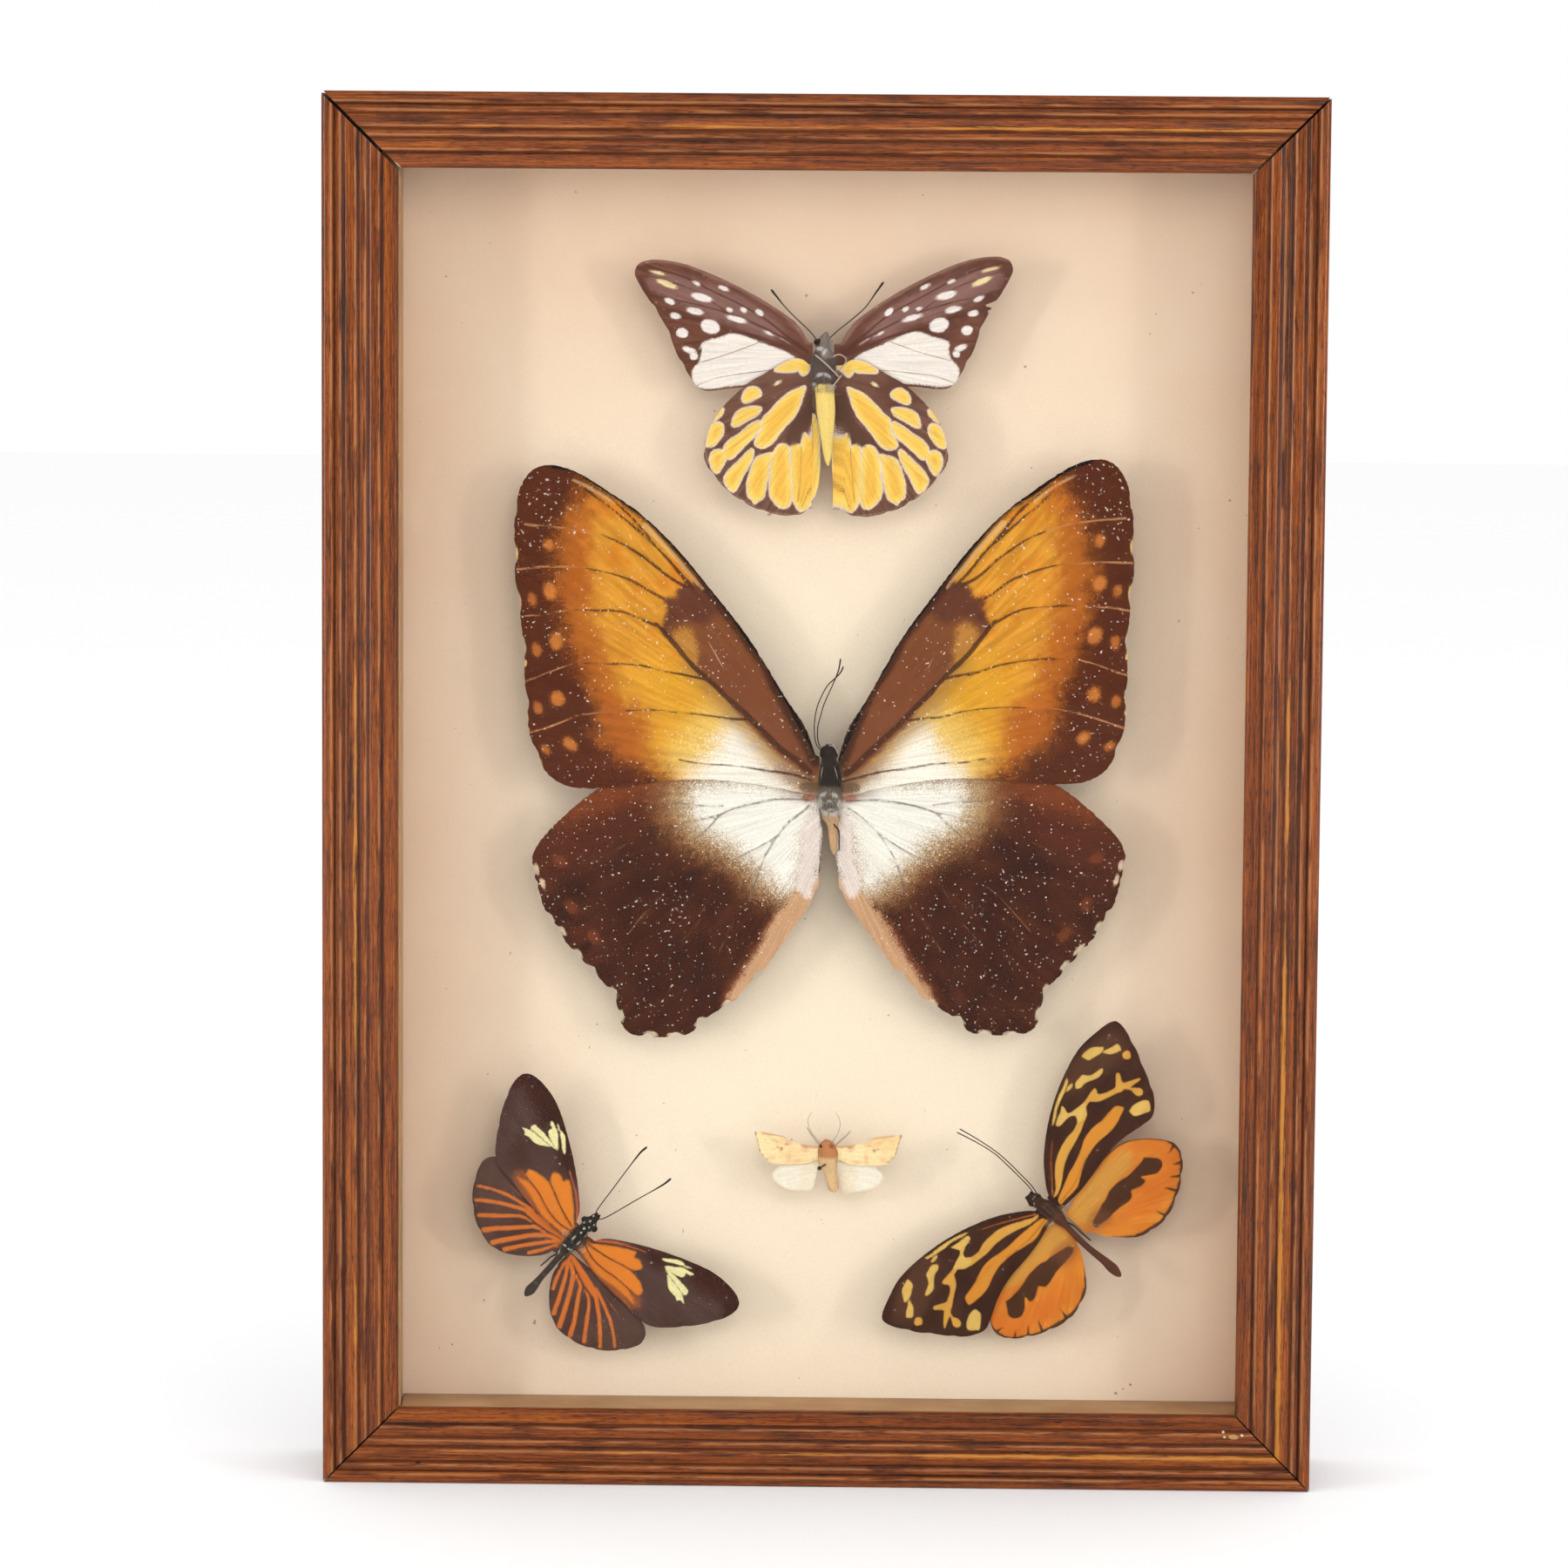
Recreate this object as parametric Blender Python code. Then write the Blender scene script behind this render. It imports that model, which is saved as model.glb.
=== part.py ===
"""Display frame with four butterflies and one moth, pinned behind glass.

Sizes are in millimetres here and become metres when a mesh is made.  The frame stands upright on
its bottom rail and faces -Y, with +X to the right and +Z up.  The origin is the middle of its
underside.
"""

import math

import bmesh
import bpy
from mathutils import Matrix, Vector

MM = 0.001

# Frame
FRAME_WIDTH = 243.0
FRAME_HEIGHT = 341.0
FRAME_DEPTH = 40.0
RAIL_FACE = 18.4
RAIL_WALL = 12.4
LIP_BACK = 5.0
GAP = 0.3
# Half of the opening that each mitre has dried to, measured along the rail
MITRE_GAPS = {"top_left": 0.55, "top_right": 0.40, "bottom_right": 0.25, "bottom_left": 0.30}

# What lies in the rebate, from the front
GLASS_THICKNESS = 2.0
BOARD_FRONT = 26.5
BOARD_THICKNESS = 4.0
BACK_THICKNESS = 2.8
LINER_THICKNESS = 4.4
# How far each liner strip stands back behind the sight edge; the left and bottom ones show in front
LINER_SETBACK = {"left": -0.3, "right": 1.3, "bottom": 0.3, "top": 0.8}

# Fixings on the back
BRAD_RADIUS = 0.6
BRAD_LENGTH = 12.0
BRAD_IN_WOOD = 5.0
NOTCH_HALF_WIDTH = 27.0
NOTCH_DEPTH = 3.2
NOTCH_TOP = 2.5
HANGER_HALF_WIDTH = 23.0
HANGER_HEIGHT = 8.0
HANGER_SHEET = 0.7
HANGER_RISE = 1.5
TAB_LENGTH = 8.0
RAMP_LENGTH = 2.5
TOOTH_COUNT = 9
TOOTH_DEPTH = 1.2
NAIL_RADIUS = 0.6
NAIL_HEAD_RADIUS = 1.6
NAIL_LENGTH = 6.0

# Specimens
WING_PLANE = 16.7
WING_THICKNESS = 0.4
PIN_RADIUS = 0.25
PIN_DEPTH_IN_BOARD = 3.4
BALL_RADIUS = 0.55
BODY_SIDES = 10
LIMB_SIDES = 5

FRONT_Y = -FRAME_DEPTH / 2
BACK_Y = FRAME_DEPTH / 2
HALF_WIDTH = FRAME_WIDTH / 2
WING_Y = FRONT_Y + WING_PLANE
BOARD_Y = FRONT_Y + BOARD_FRONT
PANEL_BACK_Y = BOARD_Y + BOARD_THICKNESS + GAP + BACK_THICKNESS
GLASS_BACK_Y = FRONT_Y + LIP_BACK + GAP + GLASS_THICKNESS

# Section of the moulding: distance in from the outer edge, depth behind the front.
# Three low steps run down to the sight edge, each with a rounded crest and a hollow behind it.
MOULDING = [
    (0.0, 40.0),
    (0.0, 1.4),
    (0.4, 0.5),
    (1.2, 0.1),
    (2.2, 0.0),
    (2.8, 0.2),
    (3.1, 0.7),
    (5.6, 1.1),
    (7.4, 0.8),
    (8.1, 0.6),
    (8.5, 0.8),
    (8.8, 1.3),
    (11.3, 1.7),
    (13.0, 1.4),
    (13.8, 1.2),
    (14.2, 1.4),
    (14.5, 1.9),
    (16.2, 2.3),
    (17.6, 2.6),
    (18.2, 3.0),
    (RAIL_FACE, 3.6),
    (RAIL_FACE, LIP_BACK),
    (RAIL_WALL, LIP_BACK),
    (RAIL_WALL, 40.0),
]

# Outlines of the right-hand wings in each insect's own frame: u runs out from the body's middle,
# v runs towards the head.  Each list starts at the front of the wing's root, goes round the tip
# and ends at the back of the root.
GREAT_FOREWING = [
    (3.3, 5.6), (6.0, 13.0), (11.0, 20.4), (19.9, 34.7), (29.9, 47.3), (38.0, 56.9), (46.2, 64.7),
    (53.9, 70.0), (61.0, 74.4), (66.0, 76.3), (70.0, 76.6), (73.4, 75.1), (75.8, 71.4), (77.2, 66.0),
    (77.4, 57.0), (77.1, 48.0), (75.9, 39.5), (75.0, 30.0), (74.6, 20.0), (73.5, 10.5), (71.6, 4.8),
    (68.6, 0.4), (64.6, -2.0), (59.5, -2.7), (50.0, -2.1), (41.0, -0.8), (30.6, -0.3), (21.7, -0.9),
    (13.6, -2.0), (6.9, -3.3), (3.3, -3.8),
]
GREAT_HINDWING = [
    (3.3, -1.2), (14.0, 2.0), (30.0, 4.0), (45.0, 2.6), (56.0, -2.4), (61.3, -6.1), (67.6, -12.0),
    (71.5, -16.6), (72.9, -20.5), (72.2, -25.0), (70.8, -29.5), (69.4, -33.4), (67.0, -37.0),
    (64.2, -41.2), (60.6, -45.2), (56.6, -49.4), (53.0, -53.4), (51.6, -57.6), (50.6, -61.4),
    (48.0, -63.7), (43.5, -64.3), (38.0, -64.2), (33.8, -63.2), (30.8, -60.2), (26.9, -57.5),
    (22.8, -54.9), (19.6, -51.0), (15.6, -47.2), (12.6, -42.8), (7.9, -35.9), (4.4, -30.6),
    (2.8, -25.5), (1.8, -20.0), (1.5, -14.0), (2.0, -10.0), (3.3, -8.0),
]
SPOTTED_FOREWING = [
    (3.4, 5.2), (5.8, 9.1), (8.9, 11.9), (16.4, 16.6), (25.1, 20.9), (33.9, 24.2), (40.8, 25.2),
    (44.5, 24.5), (45.9, 22.5), (45.3, 20.0), (42.3, 15.2), (39.0, 10.2), (37.0, 5.8), (35.4, 1.9),
    (32.6, -2.9), (30.4, -5.8), (27.6, -6.6), (22.0, -5.9), (14.0, -5.0), (8.0, -3.2), (3.4, -1.6),
]
SPOTTED_HINDWING = [
    (3.4, 0.0), (5.0, 1.3), (7.2, 1.6), (9.7, 0.7), (14.5, -2.3), (18.6, -4.8), (24.2, -10.2),
    (27.6, -15.6), (28.9, -20.6), (28.3, -24.4), (24.5, -29.4), (19.5, -33.4), (14.5, -35.7),
    (8.9, -36.8), (5.4, -36.5), (3.1, -34.6), (1.4, -31.0), (0.6, -26.0), (0.6, -18.0), (1.6, -12.0),
    (3.2, -9.0), (3.4, -6.0),
]
BANDED_FOREWING = [
    (2.5, 5.4), (3.6, 7.9), (5.8, 10.4), (11.0, 15.0), (17.5, 19.8), (24.7, 24.2), (29.7, 25.9),
    (34.1, 26.2), (36.5, 25.1), (37.2, 22.6), (36.5, 18.6), (33.8, 12.5), (31.2, 8.3), (28.6, 4.9),
    (25.5, 3.2), (20.0, 2.4), (13.2, 1.2), (7.0, 0.6), (2.5, 0.6),
]
BANDED_HINDWING = [
    (2.3, 0.9), (8.0, 2.5), (16.0, 4.4), (24.0, 5.3), (28.0, 4.7), (29.8, 2.2), (29.4, -0.6),
    (28.2, -3.4), (26.0, -6.8), (22.5, -10.0), (19.1, -11.9), (14.7, -13.0), (11.0, -12.2),
    (7.2, -10.0), (4.1, -7.2), (2.6, -5.0), (2.1, -2.6),
]
TIGER_FOREWING = [
    (3.0, 6.2), (4.5, 8.0), (9.3, 11.7), (15.2, 14.8), (21.8, 17.2), (28.3, 18.7), (34.5, 19.4),
    (39.3, 19.2), (44.5, 17.7), (47.6, 16.4), (48.7, 14.8), (47.8, 11.7), (45.2, 7.2), (42.1, 2.9),
    (39.0, -1.3), (36.0, -3.8), (33.0, -4.9), (29.7, -3.8), (24.5, -1.6), (19.1, -0.5), (13.4, -0.2),
    (7.9, 0.4), (3.0, 1.6),
]
TIGER_HINDWING = [
    (2.4, 0.2), (8.0, 2.0), (16.0, 3.0), (22.5, 2.6), (25.8, 1.1), (29.1, -1.7), (31.6, -5.0),
    (32.6, -7.6), (31.8, -10.6), (29.5, -13.0), (25.5, -15.8), (20.5, -18.0), (16.8, -18.7),
    (12.5, -18.0), (9.0, -16.4), (5.4, -12.4), (3.3, -9.2), (2.1, -6.0), (1.8, -3.0),
]
MOTH_FOREWING = [
    (3.1, 4.6), (5.2, 4.9), (7.3, 5.2), (9.2, 5.8), (10.8, 6.8), (13.0, 7.4), (16.0, 7.9),
    (18.0, 8.0), (17.6, 6.4), (17.2, 4.8), (16.8, 3.0), (15.6, 1.5), (14.5, 0.5), (12.5, 0.1),
    (8.0, -0.1), (5.0, 0.3), (3.1, 1.2),
]
MOTH_HINDWING = [
    (3.1, 0.6), (6.0, 0.9), (10.0, 0.2), (12.6, -1.2), (13.7, -2.9), (12.9, -4.5), (11.0, -5.9),
    (8.6, -6.6), (5.7, -6.9), (3.9, -6.4), (3.2, -4.6),
]

# The five insects.
# place: where the body's middle lies on the face, across and up.  lean: degrees clockwise.
# fore, hind: the outline, the hinge it turns about, and for the left and the right wing the
# degrees by which it is raised and its shift out and up.  hind_in_front: which wing overlaps.
# root: how far out the wings start.  sections: v, u, half width, half depth and w of the body,
# from the head to the tail, where w stands out from the wing plane towards the glass.
# limbs: antennae and legs as points (u, v, w) with the radius at their root and tip.
# pin: where it crosses the wing plane, its slope, and how far it stands out in front.
INSECTS = {
    "great": {
        "place": (2.0, 173.5), "lean": 0.0, "hind_in_front": False, "root": (-3.2, 3.4),
        "fore": (GREAT_FOREWING, (3.0, 1.0), (0.0, 0.0, 0.0), (2.6, -1.0, -0.5)),
        "hind": (GREAT_HINDWING, (3.0, -4.0), (0.0, 0.0, 0.0), (1.8, -0.7, 0.0)),
        "sections": [
            (8.6, -0.2, 0.6, 0.6, 0.2), (8.0, -0.2, 1.5, 1.3, 0.2), (6.6, -0.2, 2.2, 1.9, 0.1),
            (5.2, -0.2, 1.7, 1.7, 0.0), (4.2, -0.1, 2.0, 2.1, -0.1), (2.2, 0.1, 2.6, 2.9, -0.3),
            (-1.5, 0.1, 2.9, 3.1, -0.3), (-5.0, 0.1, 2.8, 2.8, -0.3), (-7.6, 0.2, 1.8, 2.2, -0.3),
            (-9.2, 0.3, 1.3, 1.6, -0.3), (-10.0, 0.4, 0.9, 1.1, -0.3),
        ],
        "limbs": [
            ([(-1.3, 6.6, 1.2), (-3.3, 9.0, 1.9), (-3.8, 13.4, 2.0), (-3.3, 17.4, 2.1),
              (-2.3, 20.3, 2.2), (-0.7, 23.3, 2.3), (1.3, 25.3, 2.4), (2.6, 26.8, 2.4),
              (3.2, 28.2, 2.4)], 0.26, 0.22),
            ([(-1.0, 6.9, 0.6), (-2.7, 8.9, 0.9), (-3.0, 12.6, 0.9), (-2.3, 15.8, 0.9),
              (-1.3, 19.1, 1.0), (0.1, 22.3, 1.1), (1.3, 25.1, 1.1), (2.1, 27.4, 1.1),
              (2.5, 30.0, 1.1)], 0.26, 0.22),
            ([(0.4, -9.2, -0.2), (1.4, -11.2, 0.9), (2.4, -12.6, 0.9), (2.5, -17.4, 0.6)], 0.25, 0.18),
        ],
        "pin": ((0.0, 0.0), (0.0, 0.0), -0.6),
    },
    "spotted": {
        "place": (-0.3, 275.0), "lean": 0.0, "hind_in_front": True, "root": (-3.4, 3.5),
        "fore": (SPOTTED_FOREWING, (3.2, 2.5), (0.0, 0.0, 0.0), (2.4, 0.8, -0.2)),
        "hind": (SPOTTED_HINDWING, (3.2, -2.0), (0.0, 0.0, 0.0), (0.6, 1.5, -0.2)),
        "sections": [
            (8.1, 0.7, 0.3, 0.3, 0.4), (6.8, 0.2, 1.2, 1.0, 0.4), (5.4, -0.4, 1.9, 1.5, 0.3),
            (4.0, 0.0, 1.6, 1.6, 0.1), (2.5, 0.0, 2.6, 2.4, -0.1), (-1.0, 0.0, 3.0, 2.9, -0.1),
            (-4.5, 0.1, 2.8, 2.6, 0.1), (-6.6, 0.3, 2.3, 1.9, 0.7), (-8.5, 0.4, 2.2, 1.3, 2.1),
            (-12.0, 0.6, 2.0, 1.2, 2.1), (-17.0, 0.9, 1.5, 1.0, 2.0), (-21.0, 1.2, 1.0, 0.8, 1.9),
            (-24.4, 1.4, 0.4, 0.4, 1.7),
        ],
        "limbs": [
            ([(-1.2, 5.6, 0.8), (-3.5, 8.4, 1.2), (-6.5, 11.2, 1.2), (-9.3, 14.0, 1.1),
              (-11.3, 16.4, 1.0), (-12.8, 18.3, 1.0)], 0.24, 0.36),
            ([(0.6, 5.6, -0.3), (3.2, 8.0, -1.3), (6.4, 10.6, -1.6), (10.0, 13.8, -1.6),
              (12.4, 17.2, -1.3), (14.5, 20.2, -1.1)], 0.24, 0.36),
            ([(-2.0, 2.6, 1.6), (-0.4, 1.4, 3.0), (1.9, -0.7, 3.0), (4.0, -2.9, 1.7)], 0.26, 0.22),
            ([(0.9, -4.6, 2.2), (1.4, -6.2, 3.3), (3.0, -4.2, 2.8), (4.6, -2.2, 2.2)], 0.24, 0.2),
            ([(2.0, 1.8, 1.2), (3.9, 2.7, 1.6), (5.6, 1.3, 1.5), (3.9, -1.2, 1.5)], 0.24, 0.2),
        ],
        "pin": ((0.0, -1.0), (0.0, 0.0), -0.6),
    },
    "banded": {
        "place": (-61.3, 57.2), "lean": 41.0, "hind_in_front": False, "root": (-2.3, 2.3),
        "fore": (BANDED_FOREWING, (2.2, 3.4), (0.0, 0.0, 0.0), (-12.8, 0.8, -0.5)),
        "hind": (BANDED_HINDWING, (2.0, -0.8), (0.0, 0.0, 0.0), (-14.0, -0.2, -2.0)),
        "sections": [
            (10.6, 0.2, 0.4, 0.4, 0.2), (10.0, 0.2, 0.9, 0.9, 0.2), (8.9, 0.1, 1.1, 1.1, 0.1),
            (8.2, 0.1, 1.6, 1.4, 0.0), (7.2, 0.2, 2.0, 1.5, 0.0), (6.2, 0.1, 1.5, 1.5, -0.1),
            (4.5, 0.0, 1.6, 1.9, -0.2), (1.5, 0.0, 1.9, 2.1, -0.2), (-1.5, 0.0, 1.4, 1.6, -0.2),
            (-3.4, 0.0, 1.0, 1.2, -0.1), (-6.0, 0.0, 0.75, 0.9, 0.0), (-11.0, 0.0, 0.8, 0.8, 0.1),
            (-13.0, 0.1, 1.1, 1.0, 0.1), (-14.8, 0.1, 1.25, 1.1, 0.1), (-16.1, 0.1, 0.8, 0.7, 0.1),
            (-16.8, 0.1, 0.25, 0.25, 0.1),
        ],
        "limbs": [
            ([(-0.2, 9.4, 0.4), (-0.9, 12.0, 1.0), (-1.3, 16.5, 1.4), (-1.8, 22.0, 1.6),
              (-2.2, 27.0, 1.6), (-2.3, 29.5, 1.5), (-2.0, 31.4, 1.4)], 0.2, 0.3),
            ([(0.6, 9.3, 0.4), (1.9, 11.0, 1.0), (3.1, 14.5, 1.3), (4.7, 19.5, 1.5),
              (6.4, 24.5, 1.5), (7.3, 27.4, 1.4), (7.6, 29.4, 1.4)], 0.2, 0.3),
            ([(-0.7, -3.2, -0.3), (-1.4, -5.4, -1.2), (-1.6, -7.0, -1.2), (-1.9, -8.9, -1.0)],
             0.22, 0.2),
        ],
        "pin": ((0.0, 2.2), (0.0, 0.0), -0.8),
    },
    "tiger": {
        "place": (60.2, 64.9), "lean": -47.7, "hind_in_front": False, "root": (-2.9, 2.4),
        "fore": (TIGER_FOREWING, (2.4, 4.6), (0.0, 0.0, 0.0), (11.0, -0.6, 0.1)),
        "hind": (TIGER_HINDWING, (2.0, -1.0), (0.0, -0.5, 0.3), (0.0, 0.0, 0.0)),
        "sections": [
            (10.4, -1.2, 0.5, 0.4, 0.3), (9.4, -1.1, 1.5, 1.1, 0.2), (8.2, -1.0, 1.9, 1.4, 0.2),
            (7.0, -0.9, 1.5, 1.3, 0.0), (5.5, -0.5, 1.9, 1.8, -0.2), (2.5, -0.2, 2.1, 2.1, -0.2),
            (0.2, -0.4, 1.4, 1.7, -0.2), (-2.0, -0.5, 0.8, 1.1, 0.0), (-6.0, -0.8, 0.75, 0.8, 0.1),
            (-10.0, -0.8, 0.8, 0.8, 0.1), (-14.5, -0.5, 1.0, 0.9, 0.1), (-17.8, -0.5, 1.25, 1.0, 0.1),
            (-19.5, -0.6, 0.8, 0.7, 0.1), (-20.3, -0.6, 0.25, 0.25, 0.1),
        ],
        "limbs": [
            ([(-0.5, 8.8, 0.4), (0.4, 11.0, 1.0), (0.7, 15.0, 1.3), (0.9, 20.0, 1.5),
              (0.8, 24.0, 1.5), (-0.2, 29.0, 1.4), (-1.6, 34.0, 1.2)], 0.2, 0.22),
            ([(0.2, 8.4, 0.0), (1.0, 11.0, 0.2), (1.3, 15.0, 0.4), (1.5, 20.0, 0.5),
              (1.3, 24.0, 0.5), (0.5, 29.0, 0.4), (-0.6, 34.0, 0.4)], 0.2, 0.22),
            ([(0.1, -0.8, -0.4), (0.9, -3.4, 1.0), (0.9, -6.0, 1.1), (1.0, -8.8, 0.9)], 0.22, 0.18),
        ],
        "pin": ((-0.2, 3.0), (0.0, 0.0), -0.8),
    },
    "moth": {
        "place": (2.3, 78.1), "lean": 0.0, "hind_in_front": False, "root": (-2.9, 2.9),
        "fore": (MOTH_FOREWING, (3.0, 3.0), (0.0, 0.0, 0.0), (-2.0, 0.0, 0.0)),
        "hind": (MOTH_HINDWING, (3.0, -2.0), (0.0, 0.0, 0.0), (0.0, 0.0, -0.2)),
        "sections": [
            (6.2, -0.3, 0.5, 0.4, 0.3), (5.4, -0.2, 1.6, 1.3, 0.2), (4.2, -0.1, 2.2, 1.6, 0.1),
            (2.6, 0.0, 2.45, 1.9, 0.0), (0.5, 0.0, 2.3, 1.9, -0.1), (-1.2, 0.4, 1.6, 1.5, 0.0),
            (-3.0, 0.9, 1.4, 1.3, 0.1), (-5.0, 1.3, 1.3, 1.1, 0.2), (-6.3, 1.5, 1.1, 0.8, 0.2),
            (-6.9, 1.6, 0.4, 0.3, 0.2),
        ],
        "limbs": [
            ([(-1.2, 4.8, 0.6), (-3.6, 7.4, 1.0), (-4.7, 9.6, 1.2), (-4.9, 11.6, 1.2),
              (-3.9, 13.2, 1.1)], 0.18, 0.14),
            ([(0.6, 5.0, 0.6), (2.3, 7.6, 1.0), (3.0, 10.0, 1.2), (2.6, 11.9, 1.2),
              (1.8, 13.2, 1.1)], 0.18, 0.14),
            ([(-1.8, 4.4, -0.3), (-3.4, 6.4, -0.6), (-4.5, 8.0, -0.4), (-5.2, 9.2, -0.2)],
             0.26, 0.2),
            ([(1.7, 4.4, -0.3), (3.3, 6.0, -0.6), (4.3, 6.9, -0.4), (5.6, 8.4, -0.2)], 0.26, 0.2),
        ],
        "pin": ((-0.1, 0.3), (-0.32, -0.08), 5.4),
    },
}


def clear_scene():
    for obj in list(bpy.data.objects):
        bpy.data.objects.remove(obj, do_unlink=True)


def material(name, colour, roughness, metallic=0.0):
    found = bpy.data.materials.get(name)
    if found:
        return found
    made = bpy.data.materials.new(name)
    made.use_nodes = True
    shader = made.node_tree.nodes["Principled BSDF"]
    shader.inputs["Base Color"].default_value = (*colour, 1.0)
    shader.inputs["Roughness"].default_value = roughness
    shader.inputs["Metallic"].default_value = metallic
    made.diffuse_color = (*colour, 1.0)
    return made


def solid(name, points, faces, finish, smooth=False, parent=None):
    """Make one object from points in millimetres and faces that all look outwards."""
    mesh = bpy.data.meshes.new(name)
    mesh.from_pydata([Vector(point) * MM for point in points], [], faces)
    body = bmesh.new()
    body.from_mesh(mesh)
    bmesh.ops.recalc_face_normals(body, faces=body.faces)
    bmesh.ops.triangulate(body, faces=[face for face in body.faces if len(face.verts) > 4])
    body.to_mesh(mesh)
    body.free()
    mesh.materials.append(finish)
    if smooth:
        mesh.shade_smooth()
        mesh.set_sharp_from_angle(angle=math.radians(40))
    obj = bpy.data.objects.new(name, mesh)
    bpy.context.scene.collection.objects.link(obj)
    obj.parent = parent
    return obj


def loft(name, rings, finish, smooth=True, parent=None):
    """Join a row of rings with equal numbers of points, and close both ends."""
    count = len(rings[0])
    points = [point for ring in rings for point in ring]
    faces = []
    for row in range(len(rings) - 1):
        for column in range(count):
            following = (column + 1) % count
            faces.append((
                row * count + column,
                row * count + following,
                (row + 1) * count + following,
                (row + 1) * count + column,
            ))
    faces.append(tuple(range(count)))
    faces.append(tuple((len(rings) - 1) * count + column for column in range(count)))
    return solid(name, points, faces, finish, smooth, parent)


def box(name, low, high, finish):
    corners = [(low[0], low[2]), (high[0], low[2]), (high[0], high[2]), (low[0], high[2])]
    rings = [[(x, y, z) for x, z in corners] for y in (low[1], high[1])]
    return loft(name, rings, finish, smooth=False)


def ring_round(centre, along, radius, sides):
    """A ring of points round a centre, square to the direction along."""
    turn = Vector(along).normalized().to_track_quat("Z", "Y")
    points = []
    for step in range(sides):
        angle = 2 * math.pi * step / sides
        offset = Vector((radius * math.cos(angle), radius * math.sin(angle), 0.0))
        points.append(Vector(centre) + turn @ offset)
    return points


def turned(name, stations, along, sides, finish, parent=None):
    """A round piece given by its centres and radii, all square to one direction."""
    rings = [ring_round(centre, along, radius, sides) for centre, radius in stations]
    return loft(name, rings, finish, parent=parent)


def limb(name, points, root_radius, tip_radius, finish, parent):
    """A thin round limb whose rings stay square to its path."""
    path = [Vector(point) for point in points]
    rings = []
    for index, point in enumerate(path):
        along = path[min(index + 1, len(path) - 1)] - path[max(index - 1, 0)]
        share = index / (len(path) - 1)
        radius = root_radius + (tip_radius - root_radius) * share
        rings.append(ring_round(point, along, radius, LIMB_SIDES))
    return loft(name, rings, finish, parent=parent)


def combine(target, tool, operation):
    """Add a solid to another or cut it away, and leave it out of the model itself."""
    tool.hide_render = True
    tool.display_type = "WIRE"
    change = target.modifiers.new(tool.name, "BOOLEAN")
    change.operation = operation
    change.solver = "EXACT"
    change.object = tool


def curve_through(points, steps=2):
    """A smooth line through the given points, with steps points for each stretch."""
    padded = [points[0]] + points + [points[-1]]
    line = []
    for before, start, end, after in zip(padded, padded[1:], padded[2:], padded[3:]):
        for step in range(steps):
            t = step / steps
            line.append(tuple(
                0.5 * (2 * b + (c - a) * t + (2 * a - 5 * b + 4 * c - d) * t ** 2
                       + (3 * b - a - 3 * c + d) * t ** 3)
                for a, b, c, d in zip(before, start, end, after)
            ))
    line.append(points[-1])
    return line


def rail(name, start, end, start_gap, end_gap, inward, finish):
    """One length of moulding between two outer corners, cut to a mitre at each."""
    first = Vector(start)
    last = Vector(end)
    along = (last - first).normalized()
    rings = []
    for corner, direction, gap in ((first, along, start_gap), (last, -along, end_gap)):
        ring = []
        for distance, depth in MOULDING:
            place = corner + Vector(inward) * distance + direction * (distance + gap)
            ring.append(Vector((place.x, FRONT_Y + depth, place.y)))
        rings.append(ring)
    return loft(name, rings, finish, smooth=False)


def build_rails(wood):
    left, right, top = -HALF_WIDTH, HALF_WIDTH, FRAME_HEIGHT
    corners = {
        "top_left": (left, top),
        "top_right": (right, top),
        "bottom_right": (right, 0.0),
        "bottom_left": (left, 0.0),
    }
    runs = {
        "rail_top": ("top_left", "top_right", (0, -1)),
        "rail_right": ("top_right", "bottom_right", (-1, 0)),
        "rail_bottom": ("bottom_right", "bottom_left", (0, 1)),
        "rail_left": ("bottom_left", "top_left", (1, 0)),
    }
    rails = {}
    for name, (start, end, inward) in runs.items():
        rails[name] = rail(
            name, corners[start], corners[end], MITRE_GAPS[start], MITRE_GAPS[end], inward, wood
        )
    return rails


def build_filling(glass, paper, card, hardboard):
    """The flat pieces in the rebate: glass, liner strips, mounting board and back panel."""
    left = -HALF_WIDTH + RAIL_WALL + GAP
    right = HALF_WIDTH - RAIL_WALL - GAP
    bottom = RAIL_WALL + GAP
    top = FRAME_HEIGHT - RAIL_WALL - GAP
    box("glass", (left, GLASS_BACK_Y - GLASS_THICKNESS, bottom), (right, GLASS_BACK_Y, top), glass)

    near = GLASS_BACK_Y + GAP
    far = BOARD_Y - GAP
    sight_left = -HALF_WIDTH + RAIL_FACE - LINER_SETBACK["left"]
    sight_right = HALF_WIDTH - RAIL_FACE + LINER_SETBACK["right"]
    sight_bottom = RAIL_FACE - LINER_SETBACK["bottom"]
    sight_top = FRAME_HEIGHT - RAIL_FACE + LINER_SETBACK["top"]
    box("liner_left", (sight_left - LINER_THICKNESS, near, bottom), (sight_left, far, top), paper)
    box("liner_right", (sight_right, near, bottom), (sight_right + LINER_THICKNESS, far, top), paper)
    inner_left = sight_left + GAP
    inner_right = sight_right - GAP
    box("liner_bottom", (inner_left, near, sight_bottom - LINER_THICKNESS),
        (inner_right, far, sight_bottom), paper)
    box("liner_top", (inner_left, near, sight_top),
        (inner_right, far, sight_top + LINER_THICKNESS), paper)

    board = box("mounting_board", (left, BOARD_Y, bottom),
                (right, BOARD_Y + BOARD_THICKNESS, top), card)
    box("back_panel", (left, PANEL_BACK_Y - BACK_THICKNESS, bottom),
        (right, PANEL_BACK_Y, top), hardboard)
    return board


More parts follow.
